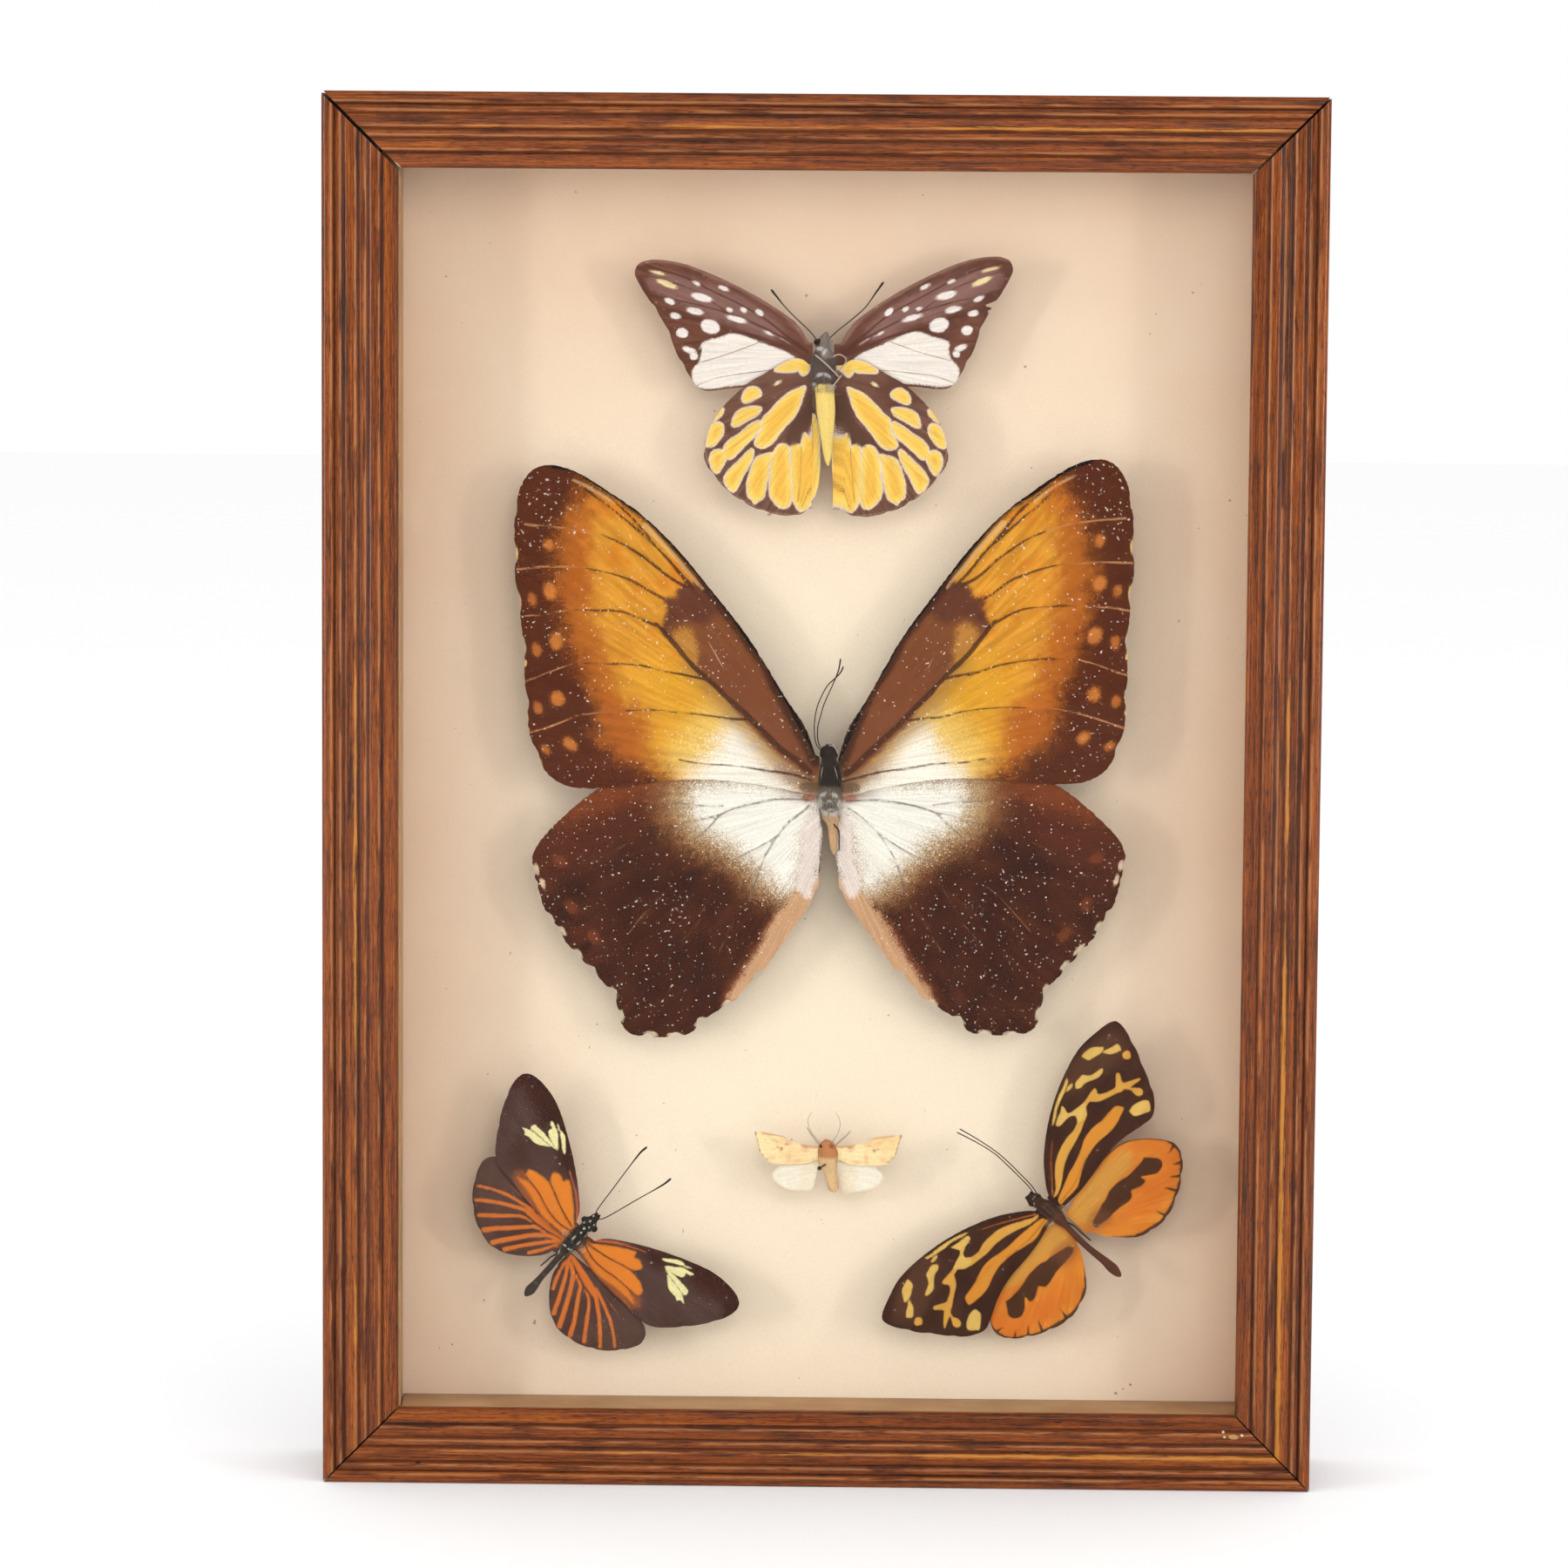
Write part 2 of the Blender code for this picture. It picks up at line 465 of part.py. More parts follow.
def drill(target, name, centre, along, start, end, radius, sides=8):
    """Cut a round hole along a direction, from start to end measured from the centre."""
    direction = Vector(along).normalized()
    stations = [(Vector(centre) + direction * reach, radius) for reach in (start, end)]
    tool = turned(name, stations, direction, sides, material("cutter", (0.5, 0.5, 0.5), 0.5))
    combine(target, tool, "DIFFERENCE")


def build_brads(rails, steel):
    """Small headed brads that stick out of the rails and hold the back panel in."""
    y = PANEL_BACK_Y + GAP + BRAD_RADIUS
    wall_x = HALF_WIDTH - RAIL_WALL
    wall_top = FRAME_HEIGHT - RAIL_WALL
    places = []
    for number, z in enumerate((60.0, 172.0, 284.0), start=1):
        places.append((f"brad_left_{number}", "rail_left", (-wall_x, y, z), (1, 0, 0)))
        places.append((f"brad_right_{number}", "rail_right", (wall_x, y, z), (-1, 0, 0)))
    for number, x in enumerate((-55.0, 55.0), start=1):
        places.append((f"brad_bottom_{number}", "rail_bottom", (x, y, RAIL_WALL), (0, 0, 1)))
        places.append((f"brad_top_{number}", "rail_top", (x, y, wall_top), (0, 0, -1)))
    for name, rail_name, wall, out in places:
        drill(rails[rail_name], f"hole_{name}", wall, out, -BRAD_IN_WOOD - GAP, 1.0,
              BRAD_RADIUS + GAP)
        direction = Vector(out)
        base = Vector(wall) - direction * BRAD_IN_WOOD
        stations = [
            (base, 0.2),
            (base + direction * 1.2, BRAD_RADIUS),
            (base + direction * (BRAD_LENGTH - 0.6), BRAD_RADIUS),
            (base + direction * BRAD_LENGTH, BRAD_RADIUS * 0.9),
        ]
        turned(name, stations, out, 6, steel)


def build_hanger(top_rail, steel):
    """A toothed strip let into the back of the top rail, with one nail at each end."""
    floor = BACK_Y - NOTCH_DEPTH
    notch_top = FRAME_HEIGHT - NOTCH_TOP
    notch_bottom = FRAME_HEIGHT - RAIL_WALL - 2.0
    notch = box("notch", (-NOTCH_HALF_WIDTH, floor, notch_bottom),
                (NOTCH_HALF_WIDTH, BACK_Y + 2.0, notch_top), material("cutter", (0.5,) * 3, 0.5))
    combine(top_rail, notch, "DIFFERENCE")

    high = notch_top - 0.8
    low = high - HANGER_HEIGHT
    tab_y = floor + GAP
    bar_y = tab_y + HANGER_RISE
    bar_half = HANGER_HALF_WIDTH - TAB_LENGTH - RAMP_LENGTH
    pitch = 2 * bar_half / TOOTH_COUNT
    columns = [(-HANGER_HALF_WIDTH, tab_y, low), (-bar_half - RAMP_LENGTH, tab_y, low)]
    for tooth in range(TOOTH_COUNT):
        x = -bar_half + tooth * pitch
        columns.append((x, bar_y, low))
        columns.append((x + pitch / 2, bar_y, low + TOOTH_DEPTH))
    columns.append((bar_half, bar_y, low))
    columns.append((bar_half + RAMP_LENGTH, tab_y, low))
    columns.append((HANGER_HALF_WIDTH, tab_y, low))
    rings = []
    for x, y, z in columns:
        rings.append([(x, y, z), (x, y + HANGER_SHEET, z), (x, y + HANGER_SHEET, high), (x, y, high)])
    hanger = loft("hanger", rings, steel, smooth=False)

    nail_z = (low + high) / 2
    for name, side in (("hanger_nail_left", -1), ("hanger_nail_right", 1)):
        x = side * (HANGER_HALF_WIDTH - TAB_LENGTH / 2)
        centre = Vector((x, tab_y + HANGER_SHEET, nail_z))
        back = Vector((0, 1, 0))
        for target in (top_rail, hanger):
            drill(target, f"hole_{name}_{target.name}", centre, back, -NAIL_LENGTH - GAP, 1.0,
                  NAIL_RADIUS + GAP)
        stations = [
            (centre - back * NAIL_LENGTH, 0.2),
            (centre - back * (NAIL_LENGTH - 1.2), NAIL_RADIUS),
            (centre + back * GAP, NAIL_RADIUS),
            (centre + back * GAP, NAIL_HEAD_RADIUS),
            (centre + back * (GAP + 0.35), NAIL_HEAD_RADIUS),
            (centre + back * (GAP + 0.6), NAIL_HEAD_RADIUS * 0.6),
        ]
        turned(name, stations, back, 8, steel)


def build_wing(name, outline, hinge, setting, side, root, low, finish, holder):
    """One flat wing: the outline is turned about its hinge, shifted, and given its thickness."""
    raised, shift_out, shift_up = setting
    angle = math.radians(raised)
    corners = []
    for u, v in outline:
        out = u - hinge[0]
        up = v - hinge[1]
        corners.append((
            side * (hinge[0] + out * math.cos(angle) - up * math.sin(angle) + shift_out),
            hinge[1] + out * math.sin(angle) + up * math.cos(angle) + shift_up,
        ))
    corners[0] = (root, corners[0][1])
    corners[-1] = (root, corners[-1][1])
    line = curve_through(corners)
    rings = [[(u, v, w) for u, v in line] for w in (low, low + WING_THICKNESS)]
    return loft(name, rings, finish, smooth=False, parent=holder)


def pin_point(insect, w):
    (u, v), slope, _ = insect["pin"]
    return Vector((u + slope[0] * w, v + slope[1] * w, w))


def build_body(name, insect, finish, holder):
    """Head, thorax, abdomen, antennae and legs as one piece, bored for its pin."""
    rings = []
    for v, u, half_width, half_depth, w in insect["sections"]:
        ring = []
        for step in range(BODY_SIDES):
            angle = 2 * math.pi * step / BODY_SIDES
            ring.append((u + half_width * math.cos(angle), v, w + half_depth * math.sin(angle)))
        rings.append(ring)
    body = loft(f"{name}_body", rings, finish, parent=holder)
    for number, (points, root_radius, tip_radius) in enumerate(insect["limbs"], start=1):
        part = limb(f"{name}_limb_{number}", points, root_radius, tip_radius, finish, holder)
        combine(body, part, "UNION")
    reach = insect["pin"][2] + GAP
    stations = [(pin_point(insect, w), PIN_RADIUS + GAP) for w in (-7.0, reach)]
    bore = turned(f"{name}_bore", stations, stations[1][0] - stations[0][0], 8, finish, holder)
    combine(body, bore, "DIFFERENCE")
    return body


def build_pin(name, insect, finish, holder):
    """A steel pin from the board into the insect; one that stands out in front has a ball head."""
    tip_w = WING_PLANE - BOARD_FRONT - PIN_DEPTH_IN_BOARD
    reach = insect["pin"][2]
    along = pin_point(insect, reach) - pin_point(insect, tip_w)
    stations = [
        (pin_point(insect, tip_w), 0.08),
        (pin_point(insect, tip_w + 1.2), PIN_RADIUS),
        (pin_point(insect, reach), PIN_RADIUS),
    ]
    if reach > 0:
        centre = pin_point(insect, reach) + along.normalized() * BALL_RADIUS
        for degrees in (-50, -20, 20, 55, 85):
            angle = math.radians(degrees)
            place = centre + along.normalized() * BALL_RADIUS * math.sin(angle)
            stations.append((place, BALL_RADIUS * math.cos(angle)))
    turned(f"{name}_pin", stations, along, 8, finish, holder)


def bore_board(name, insect, board, holder):
    """The hole that the pin made in the mounting board."""
    near = WING_PLANE - BOARD_FRONT + 1.0
    far = WING_PLANE - BOARD_FRONT - BOARD_THICKNESS - 1.0
    stations = [(pin_point(insect, w), PIN_RADIUS + GAP) for w in (near, far)]
    tool = turned(f"{name}_board_hole", stations, stations[1][0] - stations[0][0], 8,
                  material("cutter", (0.5, 0.5, 0.5), 0.5), holder)
    combine(board, tool, "DIFFERENCE")


def build_insect(name, insect, colours, board, steel):
    x, z = insect["place"]
    holder = bpy.data.objects.new(f"{name}_place", None)
    bpy.context.scene.collection.objects.link(holder)
    holder.location = Vector((x, WING_Y, z)) * MM
    holder.rotation_euler = (math.radians(90), math.radians(insect["lean"]), 0.0)

    front_low = 0.0
    behind_low = front_low - WING_THICKNESS - GAP
    for kind in ("fore", "hind"):
        outline, hinge, left, right = insect[kind]
        in_front = (kind == "hind") == insect["hind_in_front"]
        low = front_low if in_front else behind_low
        finish = material(f"{name}_{kind}wing_scales", colours[kind], 0.75)
        for side_name, side, setting in (("left", -1, left), ("right", 1, right)):
            root = insect["root"][0 if side < 0 else 1]
            build_wing(f"{name}_{kind}wing_{side_name}", outline, hinge, setting, side, root, low,
                       finish, holder)
    body_finish = material(f"{name}_body_hair", colours["body"], 0.85)
    build_body(name, insect, body_finish, holder)
    build_pin(name, insect, steel, holder)
    bore_board(name, insect, board, holder)


def main():
    clear_scene()
    wood = material("varnished_wood", (0.20, 0.075, 0.03), 0.28)
    glass = material("glass", (0.93, 0.96, 0.95), 0.03)
    paper = material("liner_paper", (0.58, 0.36, 0.16), 0.85)
    card = material("board_paper", (0.90, 0.76, 0.60), 0.9)
    hardboard = material("hardboard", (0.28, 0.17, 0.10), 0.8)
    brass = material("hanger_steel", (0.72, 0.68, 0.60), 0.35, 1.0)
    steel = material("brad_steel", (0.55, 0.55, 0.57), 0.4, 1.0)
    pin_steel = material("pin_steel", (0.10, 0.10, 0.10), 0.35, 1.0)

    rails = build_rails(wood)
    board = build_filling(glass, paper, card, hardboard)
    build_brads(rails, steel)
    build_hanger(rails["rail_top"], brass)

    colours = {
        "great": {"fore": (0.55, 0.22, 0.04), "hind": (0.10, 0.03, 0.015), "body": (0.05, 0.04, 0.03)},
        "spotted": {"fore": (0.22, 0.12, 0.08), "hind": (0.85, 0.55, 0.12), "body": (0.2, 0.17, 0.14)},
        "banded": {"fore": (0.07, 0.035, 0.03), "hind": (0.62, 0.2, 0.03), "body": (0.03, 0.03, 0.03)},
        "tiger": {"fore": (0.45, 0.2, 0.05), "hind": (0.65, 0.24, 0.03), "body": (0.08, 0.04, 0.02)},
        "moth": {"fore": (0.85, 0.62, 0.35), "hind": (0.8, 0.7, 0.58), "body": (0.6, 0.33, 0.14)},
    }
    for name, insect in INSECTS.items():
        build_insect(name, insect, colours[name], board, pin_steel)


main()
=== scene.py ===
# %% [markdown]
# # A framed case of butterflies
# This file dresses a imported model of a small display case: a stained wooden frame with a glass
# front, and behind it four butterflies and a moth pinned to a cream board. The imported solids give
# every size and place. Each step below says what a piece is on the real case, how it could be
# made, and why it is made this way.

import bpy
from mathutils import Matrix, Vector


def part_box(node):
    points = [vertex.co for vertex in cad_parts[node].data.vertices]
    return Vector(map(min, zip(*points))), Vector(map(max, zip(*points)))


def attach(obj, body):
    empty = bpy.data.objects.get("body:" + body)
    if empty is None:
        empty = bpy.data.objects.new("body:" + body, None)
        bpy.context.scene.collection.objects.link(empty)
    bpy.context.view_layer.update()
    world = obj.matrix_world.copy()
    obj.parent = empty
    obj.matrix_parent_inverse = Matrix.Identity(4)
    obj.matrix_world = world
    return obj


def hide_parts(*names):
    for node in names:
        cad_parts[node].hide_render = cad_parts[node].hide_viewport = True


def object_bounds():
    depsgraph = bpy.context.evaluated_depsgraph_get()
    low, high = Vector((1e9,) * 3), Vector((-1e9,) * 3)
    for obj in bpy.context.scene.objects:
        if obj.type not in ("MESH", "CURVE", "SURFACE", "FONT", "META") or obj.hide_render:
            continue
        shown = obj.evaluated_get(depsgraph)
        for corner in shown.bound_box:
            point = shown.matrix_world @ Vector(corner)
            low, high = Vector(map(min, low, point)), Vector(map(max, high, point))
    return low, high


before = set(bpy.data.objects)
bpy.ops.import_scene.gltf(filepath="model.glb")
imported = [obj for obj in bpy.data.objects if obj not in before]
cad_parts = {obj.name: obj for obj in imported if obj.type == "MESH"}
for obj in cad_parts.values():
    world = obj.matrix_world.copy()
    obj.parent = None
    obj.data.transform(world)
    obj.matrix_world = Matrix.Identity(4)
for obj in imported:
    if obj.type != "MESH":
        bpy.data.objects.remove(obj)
cad_low, cad_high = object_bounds()
print("solids:", len(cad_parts), "box:", [round(v, 4) for v in (*cad_low, *cad_high)])

# %% Other modules and units
import math

import bmesh
import bpy
import numpy as np
from mathutils import Matrix, Vector, noise
from mathutils.geometry import delaunay_2d_cdt

MM = 0.001
bpy.context.scene.view_settings.view_transform = "Standard"

# %% [markdown]
# ## The camera
# The photograph was taken from about a metre and a half away with a long lens, a little above the
# middle of the case and looking slightly down. A camera could be placed by eye. Here its place,
# direction and lens were worked out from the four corners of the frame, so that the parallel rails
# lean together exactly as they do in the photograph.

# %% Place the camera
CAMERA_PLACE = Vector((0.0136, -1.520, 0.3374))
CAMERA_PITCH = math.radians(-6.21)
CAMERA_YAW = math.radians(-0.86)
CAMERA_ROLL = math.radians(0.40)
LENS_MM = 142.5
SENSOR_MM = 36.0

forward = Vector((
    math.sin(CAMERA_YAW) * math.cos(CAMERA_PITCH),
    math.cos(CAMERA_YAW) * math.cos(CAMERA_PITCH),
    math.sin(CAMERA_PITCH),
))
level = Vector((math.cos(CAMERA_YAW), -math.sin(CAMERA_YAW), 0.0))
above = level.cross(forward)
side_axis = math.cos(CAMERA_ROLL) * level + math.sin(CAMERA_ROLL) * above
up_axis = math.cos(CAMERA_ROLL) * above - math.sin(CAMERA_ROLL) * level
turn = Matrix((side_axis, up_axis, -forward)).transposed().to_4x4()

lens = bpy.data.cameras.new("camera")
lens.lens = LENS_MM
lens.sensor_width = SENSOR_MM
camera = bpy.data.objects.new("camera", lens)
bpy.context.scene.collection.objects.link(camera)
camera.matrix_world = Matrix.Translation(CAMERA_PLACE) @ turn
bpy.context.scene.camera = camera
print("camera distance:", round(CAMERA_PLACE.length, 3), "m")

# %% [markdown]
# ## Floor and light
# The case stands on a plain white surface in soft light. One lamp would throw hard shadows of the
# wings on the board. Here a white sky gives light from all round, and wide panels at both sides,
# above and in front add soft shadows. Two narrow strips put thin lights on the ridges of the
# frame. What shiny things mirror of the sky is kept low, so that the glass stays clear.

# %% Lay the floor
FLOOR_SIZE = 9.0
floor_mesh = bpy.data.meshes.new("floor")
half = FLOOR_SIZE / 2
floor_mesh.from_pydata(
    [(-half, -half, 0), (half, -half, 0), (half, half, 0), (-half, half, 0)], [], [(0, 1, 2, 3)]
)
floor = bpy.data.objects.new("floor", floor_mesh)
bpy.context.scene.collection.objects.link(floor)


# %% Helpers that build a material node by node
def add(tree, kind, inputs=None, **settings):
    """Add a node. An input that is itself a socket is linked, and any other is set as a value."""
    made = tree.nodes.new(kind)
    for key, value in settings.items():
        setattr(made, key, value)
    for key, value in (inputs or {}).items():
        if isinstance(value, bpy.types.NodeSocket):
            tree.links.new(value, made.inputs[key])
        else:
            made.inputs[key].default_value = value
    return made


def new_material(name, roughness=0.6, **values):
    """A material with a Principled shader, and its node tree and shader."""
    made = bpy.data.materials.new(name)
    made.use_nodes = True
    shader = made.node_tree.nodes["Principled BSDF"]
    shader.inputs["Roughness"].default_value = roughness
    for key, value in values.items():
        shader.inputs[key.replace("_", " ")].default_value = value
    return made, made.node_tree, shader


PAINT_SHARE = 0.74


def tone(red, green, blue):
    """A colour from 0 to 255 as the light it gives back. Even the palest real paper keeps a quarter."""
    def light(part):
        share = part / 255
        linear = share / 12.92 if share <= 0.04045 else ((share + 0.055) / 1.055) ** 2.4
        return linear * PAINT_SHARE
    return (light(red), light(green), light(blue), 1.0)


def value_math(tree, operation, first, second=0.0, third=0.0, clamp=False):
    """One sum on numbers or sockets. MULTIPLY_ADD takes all three, and most others take two."""
    made = add(tree, "ShaderNodeMath", {0: first, 1: second, 2: third}, operation=operation)
    made.use_clamp = clamp
    return made.outputs[0]


def blend_colours(tree, share, first, second, how="MIX"):
    """Mix two colours. The share is a number or the socket of a mask."""
    made = add(tree, "ShaderNodeMix", data_type="RGBA", blend_type=how, clamp_factor=True)
    for key, value in ((0, share), (6, first), (7, second)):
        if isinstance(value, bpy.types.NodeSocket):
            tree.links.new(value, made.inputs[key])
        else:
            made.inputs[key].default_value = value
    return made.outputs[2]


def grain(tree, place, scale, detail=3.0, roughness=0.55, stretch=None, offset=0.0):
    """Noise from 0 to 1. A stretch of (x, y, z) packs it tighter along some axes than others."""
    if stretch is not None:
        place = add(tree, "ShaderNodeMapping", {
            "Vector": place, "Scale": stretch, "Location": (offset, offset, offset),
        }).outputs[0]
    made = add(tree, "ShaderNodeTexNoise", {
        "Vector": place, "Scale": scale, "Detail": detail, "Roughness": roughness,
    })
    return made.outputs[0]


def step_between(tree, value, low, high):
    """A mask that goes smoothly from 0 at low to 1 at high."""
    made = add(tree, "ShaderNodeMapRange", {0: value, 1: low, 2: high, 3: 0.0, 4: 1.0},
               interpolation_type="SMOOTHSTEP")
    return made.outputs[0]


def faint_mask(tree, value, low, high, strength):
    """Such a mask that ends at a strength below 1."""
    return value_math(tree, "MULTIPLY", step_between(tree, value, low, high), strength)


def object_place(tree):
    """Where a spot lies, in metres. Every piece sits at the origin, so this is its place in the case."""
    return add(tree, "ShaderNodeTexCoord").outputs["Object"]


def mark_value(tree, name):
    """What an attribute of the mesh says at a spot."""
    return add(tree, "ShaderNodeAttribute", attribute_name=name).outputs["Fac"]


def bump(tree, shader, height, strength, depth):
    """Small relief that is seen in the light only."""
    made = add(tree, "ShaderNodeBump", {"Height": height, "Strength": strength, "Distance": depth})
    tree.links.new(made.outputs[0], shader.inputs["Normal"])


# %% Finish the floor, the sky and the lamps
SKY_SEEN = 1.0
SKY_GIVEN = 1.05
SKY_MIRRORED = 0.2

floor_finish, tree, shader = new_material("floor_paper", 0.9)
here = object_place(tree)
mottle = grain(tree, here, 90.0)
tree.links.new(blend_colours(tree, mottle, (0.975, 0.975, 0.98, 1), (0.99, 0.99, 0.99, 1)),
               shader.inputs["Base Color"])
floor_mesh.materials.append(floor_finish)

world = bpy.data.worlds.new("studio")
world.use_nodes = True
bpy.context.scene.world = world
tree = world.node_tree
path = add(tree, "ShaderNodeLightPath").outputs
mirrored = value_math(tree, "SUBTRACT", path["Is Glossy Ray"], path["Is Transmission Ray"],
                      clamp=True)
given = add(tree, "ShaderNodeMapRange", {0: mirrored, 3: SKY_GIVEN, 4: SKY_MIRRORED})
strength = add(tree, "ShaderNodeMapRange", {0: path["Is Camera Ray"], 3: given.outputs[0],
                                            4: SKY_SEEN}).outputs[0]
tree.nodes["Background"].inputs["Color"].default_value = (1.0, 1.0, 1.0, 1.0)
tree.links.new(strength, tree.nodes["Background"].inputs["Strength"])

LAMPS = {
    "panel_right": {"place": (1.6, -1.3, 1.1), "size": (0.6, 1.2), "power": 2.0},
    "panel_left": {"place": (-1.5, -1.0, 0.8), "size": (0.5, 1.2), "power": 1.0},
    "panel_top": {"place": (0.2, -0.5, 1.8), "size": (1.6, 0.9), "power": 2.5},
    "strip_right": {"place": (1.35, -1.05, 0.28), "size": (0.12, 0.5), "power": 4.2},
    "strip_left": {"place": (-1.35, -0.95, 0.28), "size": (0.12, 0.5), "power": 4.6},
    "panel_front": {"place": (0.4, -2.4, 1.3), "size": (1.6, 1.1), "power": 9.0},
}
case_middle = (cad_low + cad_high) / 2
for lamp_name, lamp in LAMPS.items():
    light = bpy.data.lights.new(lamp_name, "AREA")
    light.shape = "RECTANGLE"
    light.size, light.size_y = lamp["size"]
    light.energy = lamp["power"]
    holder = bpy.data.objects.new(lamp_name, light)
    holder.location = lamp["place"]
    holder.rotation_euler = (case_middle - Vector(lamp["place"])).to_track_quat("-Z", "Y").to_euler()
    bpy.context.scene.collection.objects.link(holder)
print("lamps:", ", ".join(LAMPS))

# %% [markdown]
# ## The wooden frame
# Four lengths of one moulding, planed with low ridges that step down to the glass, and cut at 45
# degrees where they meet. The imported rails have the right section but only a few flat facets.
# Here a section with many more points is swept along each rail. It stays within about half a
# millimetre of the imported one. Its ridges are rounder, and the grooves beside them are deeper.

# %% The section of the moulding
# Distance in from the outer edge, and depth behind the front, in millimetres
FACE_SECTION = [
    (0.0, 1.4), (0.1, 0.9), (0.45, 0.45), (1.2, 0.12), (2.0, 0.02), (2.4, 0.10), (2.8, 0.42),
    (3.0, 0.78), (3.15, 0.96), (3.35, 0.86), (4.2, 0.84), (4.7, 0.98), (5.05, 1.28), (5.25, 1.40),
    (5.5, 1.24), (5.9, 0.98), (6.4, 0.84), (7.0, 0.76), (7.7, 0.70), (8.1, 0.80), (8.5, 1.06),
    (8.8, 1.40), (9.0, 1.60), (9.2, 1.58), (9.5, 1.44), (10.2, 1.46), (10.7, 1.64), (11.05, 1.92),
    (11.25, 1.96), (11.5, 1.78), (12.0, 1.54), (12.7, 1.42), (13.4, 1.40), (13.9, 1.54),
    (14.25, 1.82), (14.5, 2.16), (14.7, 2.30), (14.95, 2.16), (15.6, 2.16), (16.8, 2.4),
    (17.6, 2.6), (18.1, 2.9), (18.4, 3.6),
]
FACE_WIDTH = FACE_SECTION[-1][0]
FRAME_DEPTH = (cad_high.y - cad_low.y) / MM
WALL_THICKNESS = 12.4
LIP_BACK = 5.0
WALL_STEPS = 8
FACE_STEPS = 3

# Where the worn crest, the darker grooves and the painted highlights on the ridge edges lie, and how far each
# one reaches
CREST_PLACE = 8.05
GROOVE_PLACES = (3.15, 5.25, 9.05, 11.2, 14.7)
GROOVE_REACH = 0.5
RIDGE_HIGHLIGHT_PLACES = (2.3, 4.5, 8.15, 10.45, 13.85)
RIDGE_HIGHLIGHT_REACH = 0.42
OFF_THE_FACE = 9.0


def smooth_line(points, steps):
    """A curve through open points, with so many steps between each pair."""
    rows = [Vector(point) for point in points]
    padded = [rows[0]] + rows + [rows[-1]]
    line = []
    for a, b, c, d in zip(padded, padded[1:], padded[2:], padded[3:]):
        for step in range(steps):
            t = step / steps
            line.append(0.5 * (2 * b + (c - a) * t + (2 * a - 5 * b + 4 * c - d) * t ** 2
                               + (3 * b - a - 3 * c + d) * t ** 3))
    line.append(rows[-1])
    return line


def straight_line(start, end, steps):
    """Points from start to end, without the end itself."""
    return [Vector(start).lerp(Vector(end), step / steps) for step in range(steps)]


section = straight_line((0.0, FRAME_DEPTH), (0.0, 1.4), WALL_STEPS)
section += smooth_line(FACE_SECTION, FACE_STEPS)
section += straight_line((FACE_WIDTH, LIP_BACK), (WALL_THICKNESS, LIP_BACK), 3)
section += straight_line((WALL_THICKNESS, LIP_BACK), (WALL_THICKNESS, FRAME_DEPTH), WALL_STEPS)
section.append(Vector((WALL_THICKNESS, FRAME_DEPTH)))
print("points in the section:", len(section))

# %% [markdown]
# The crest of the middle ridge has lost its stain to handling and shows orange wood. Where it is
# worn can't come from noise alone, so each rail lists its worn stretches, as shares of its length
# from its first corner going clockwise.

# %% Where the middle ridge is worn
MITRE_GAPS = {"top_left": 0.55, "top_right": 0.40, "bottom_right": 0.25, "bottom_left": 0.30}
RAILS = {
    "top": {"from": "top_left", "to": "top_right", "inward": (0, -1),
            "worn": [(0.14, 0.20, 0.25), (0.32, 0.46, 0.3), (0.60, 0.97, 0.38)]},
    "right": {"from": "top_right", "to": "bottom_right", "inward": (-1, 0),
              "worn": [(0.40, 0.56, 0.4), (0.59, 1.0, 0.6)]},
    "bottom": {"from": "bottom_right", "to": "bottom_left", "inward": (0, 1),
               "worn": [(-0.1, 0.42, 0.55), (0.46, 0.56, 0.35), (0.63, 0.72, 0.3)]},
    "left": {"from": "bottom_left", "to": "top_left", "inward": (1, 0),
             "worn": [(0.30, 0.62, 0.38), (0.06, 0.16, 0.28)]},
}
RING_SPACING = 2.4
WOBBLE = 0.07


def worn_width(worn, share):
    """Half the width of the worn crest at a place along the rail, in millimetres."""
    width = 0.0
    for start, end, widest in worn:
        inside = min(share - start, end - share)
        width = max(width, widest * min(1.0, max(0.0, inside / 0.03)))
    return width


def closeness(distance, places, reach):
    """1 at any of the places, falling to 0 within the reach."""
    near = min(abs(distance - place) for place in places)
    return max(0.0, 1.0 - near / reach)


def set_attribute(mesh, name, values):
    """Give every point of a mesh a number under a name."""
    layer = mesh.attributes.new(name, "FLOAT", "POINT")
    layer.data.foreach_set("value", np.asarray(values, dtype=np.float32))


def lay_map(mesh, name, places):
    """Give every corner of a face the flat place of its point."""
    corner_points = np.zeros(len(mesh.loops), dtype=np.int32)
    mesh.loops.foreach_get("vertex_index", corner_points)
    layer = mesh.uv_layers.new(name=name)
    layer.uv.foreach_set("vector", np.asarray(places, dtype=np.float32)[corner_points].ravel())


def face_outwards(mesh, most_corners=4):
    """Turn every face of a closed mesh outwards, and split those with too many corners."""
    body = bmesh.new()
    body.from_mesh(mesh)
    bmesh.ops.recalc_face_normals(body, faces=body.faces)
    large = [face for face in body.faces if len(face.verts) > most_corners]
    if large:
        bmesh.ops.triangulate(body, faces=large)
    body.to_mesh(mesh)
    body.free()


def box_mesh(name, low, high, bevel=0.0):
    """A box between two corners, with its edges rounded where a bevel is given."""
    mesh = bpy.data.meshes.new(name)
    body = bmesh.new()
    bmesh.ops.create_cube(body, size=1.0)
    for corner in body.verts:
        for axis in range(3):
            corner.co[axis] = high[axis] if corner.co[axis] > 0 else low[axis]
    if bevel:
        bmesh.ops.bevel(body, geom=list(body.edges), offset=bevel, segments=2, affect="EDGES",
                        profile=0.5)
    body.to_mesh(mesh)
    body.free()
    return mesh


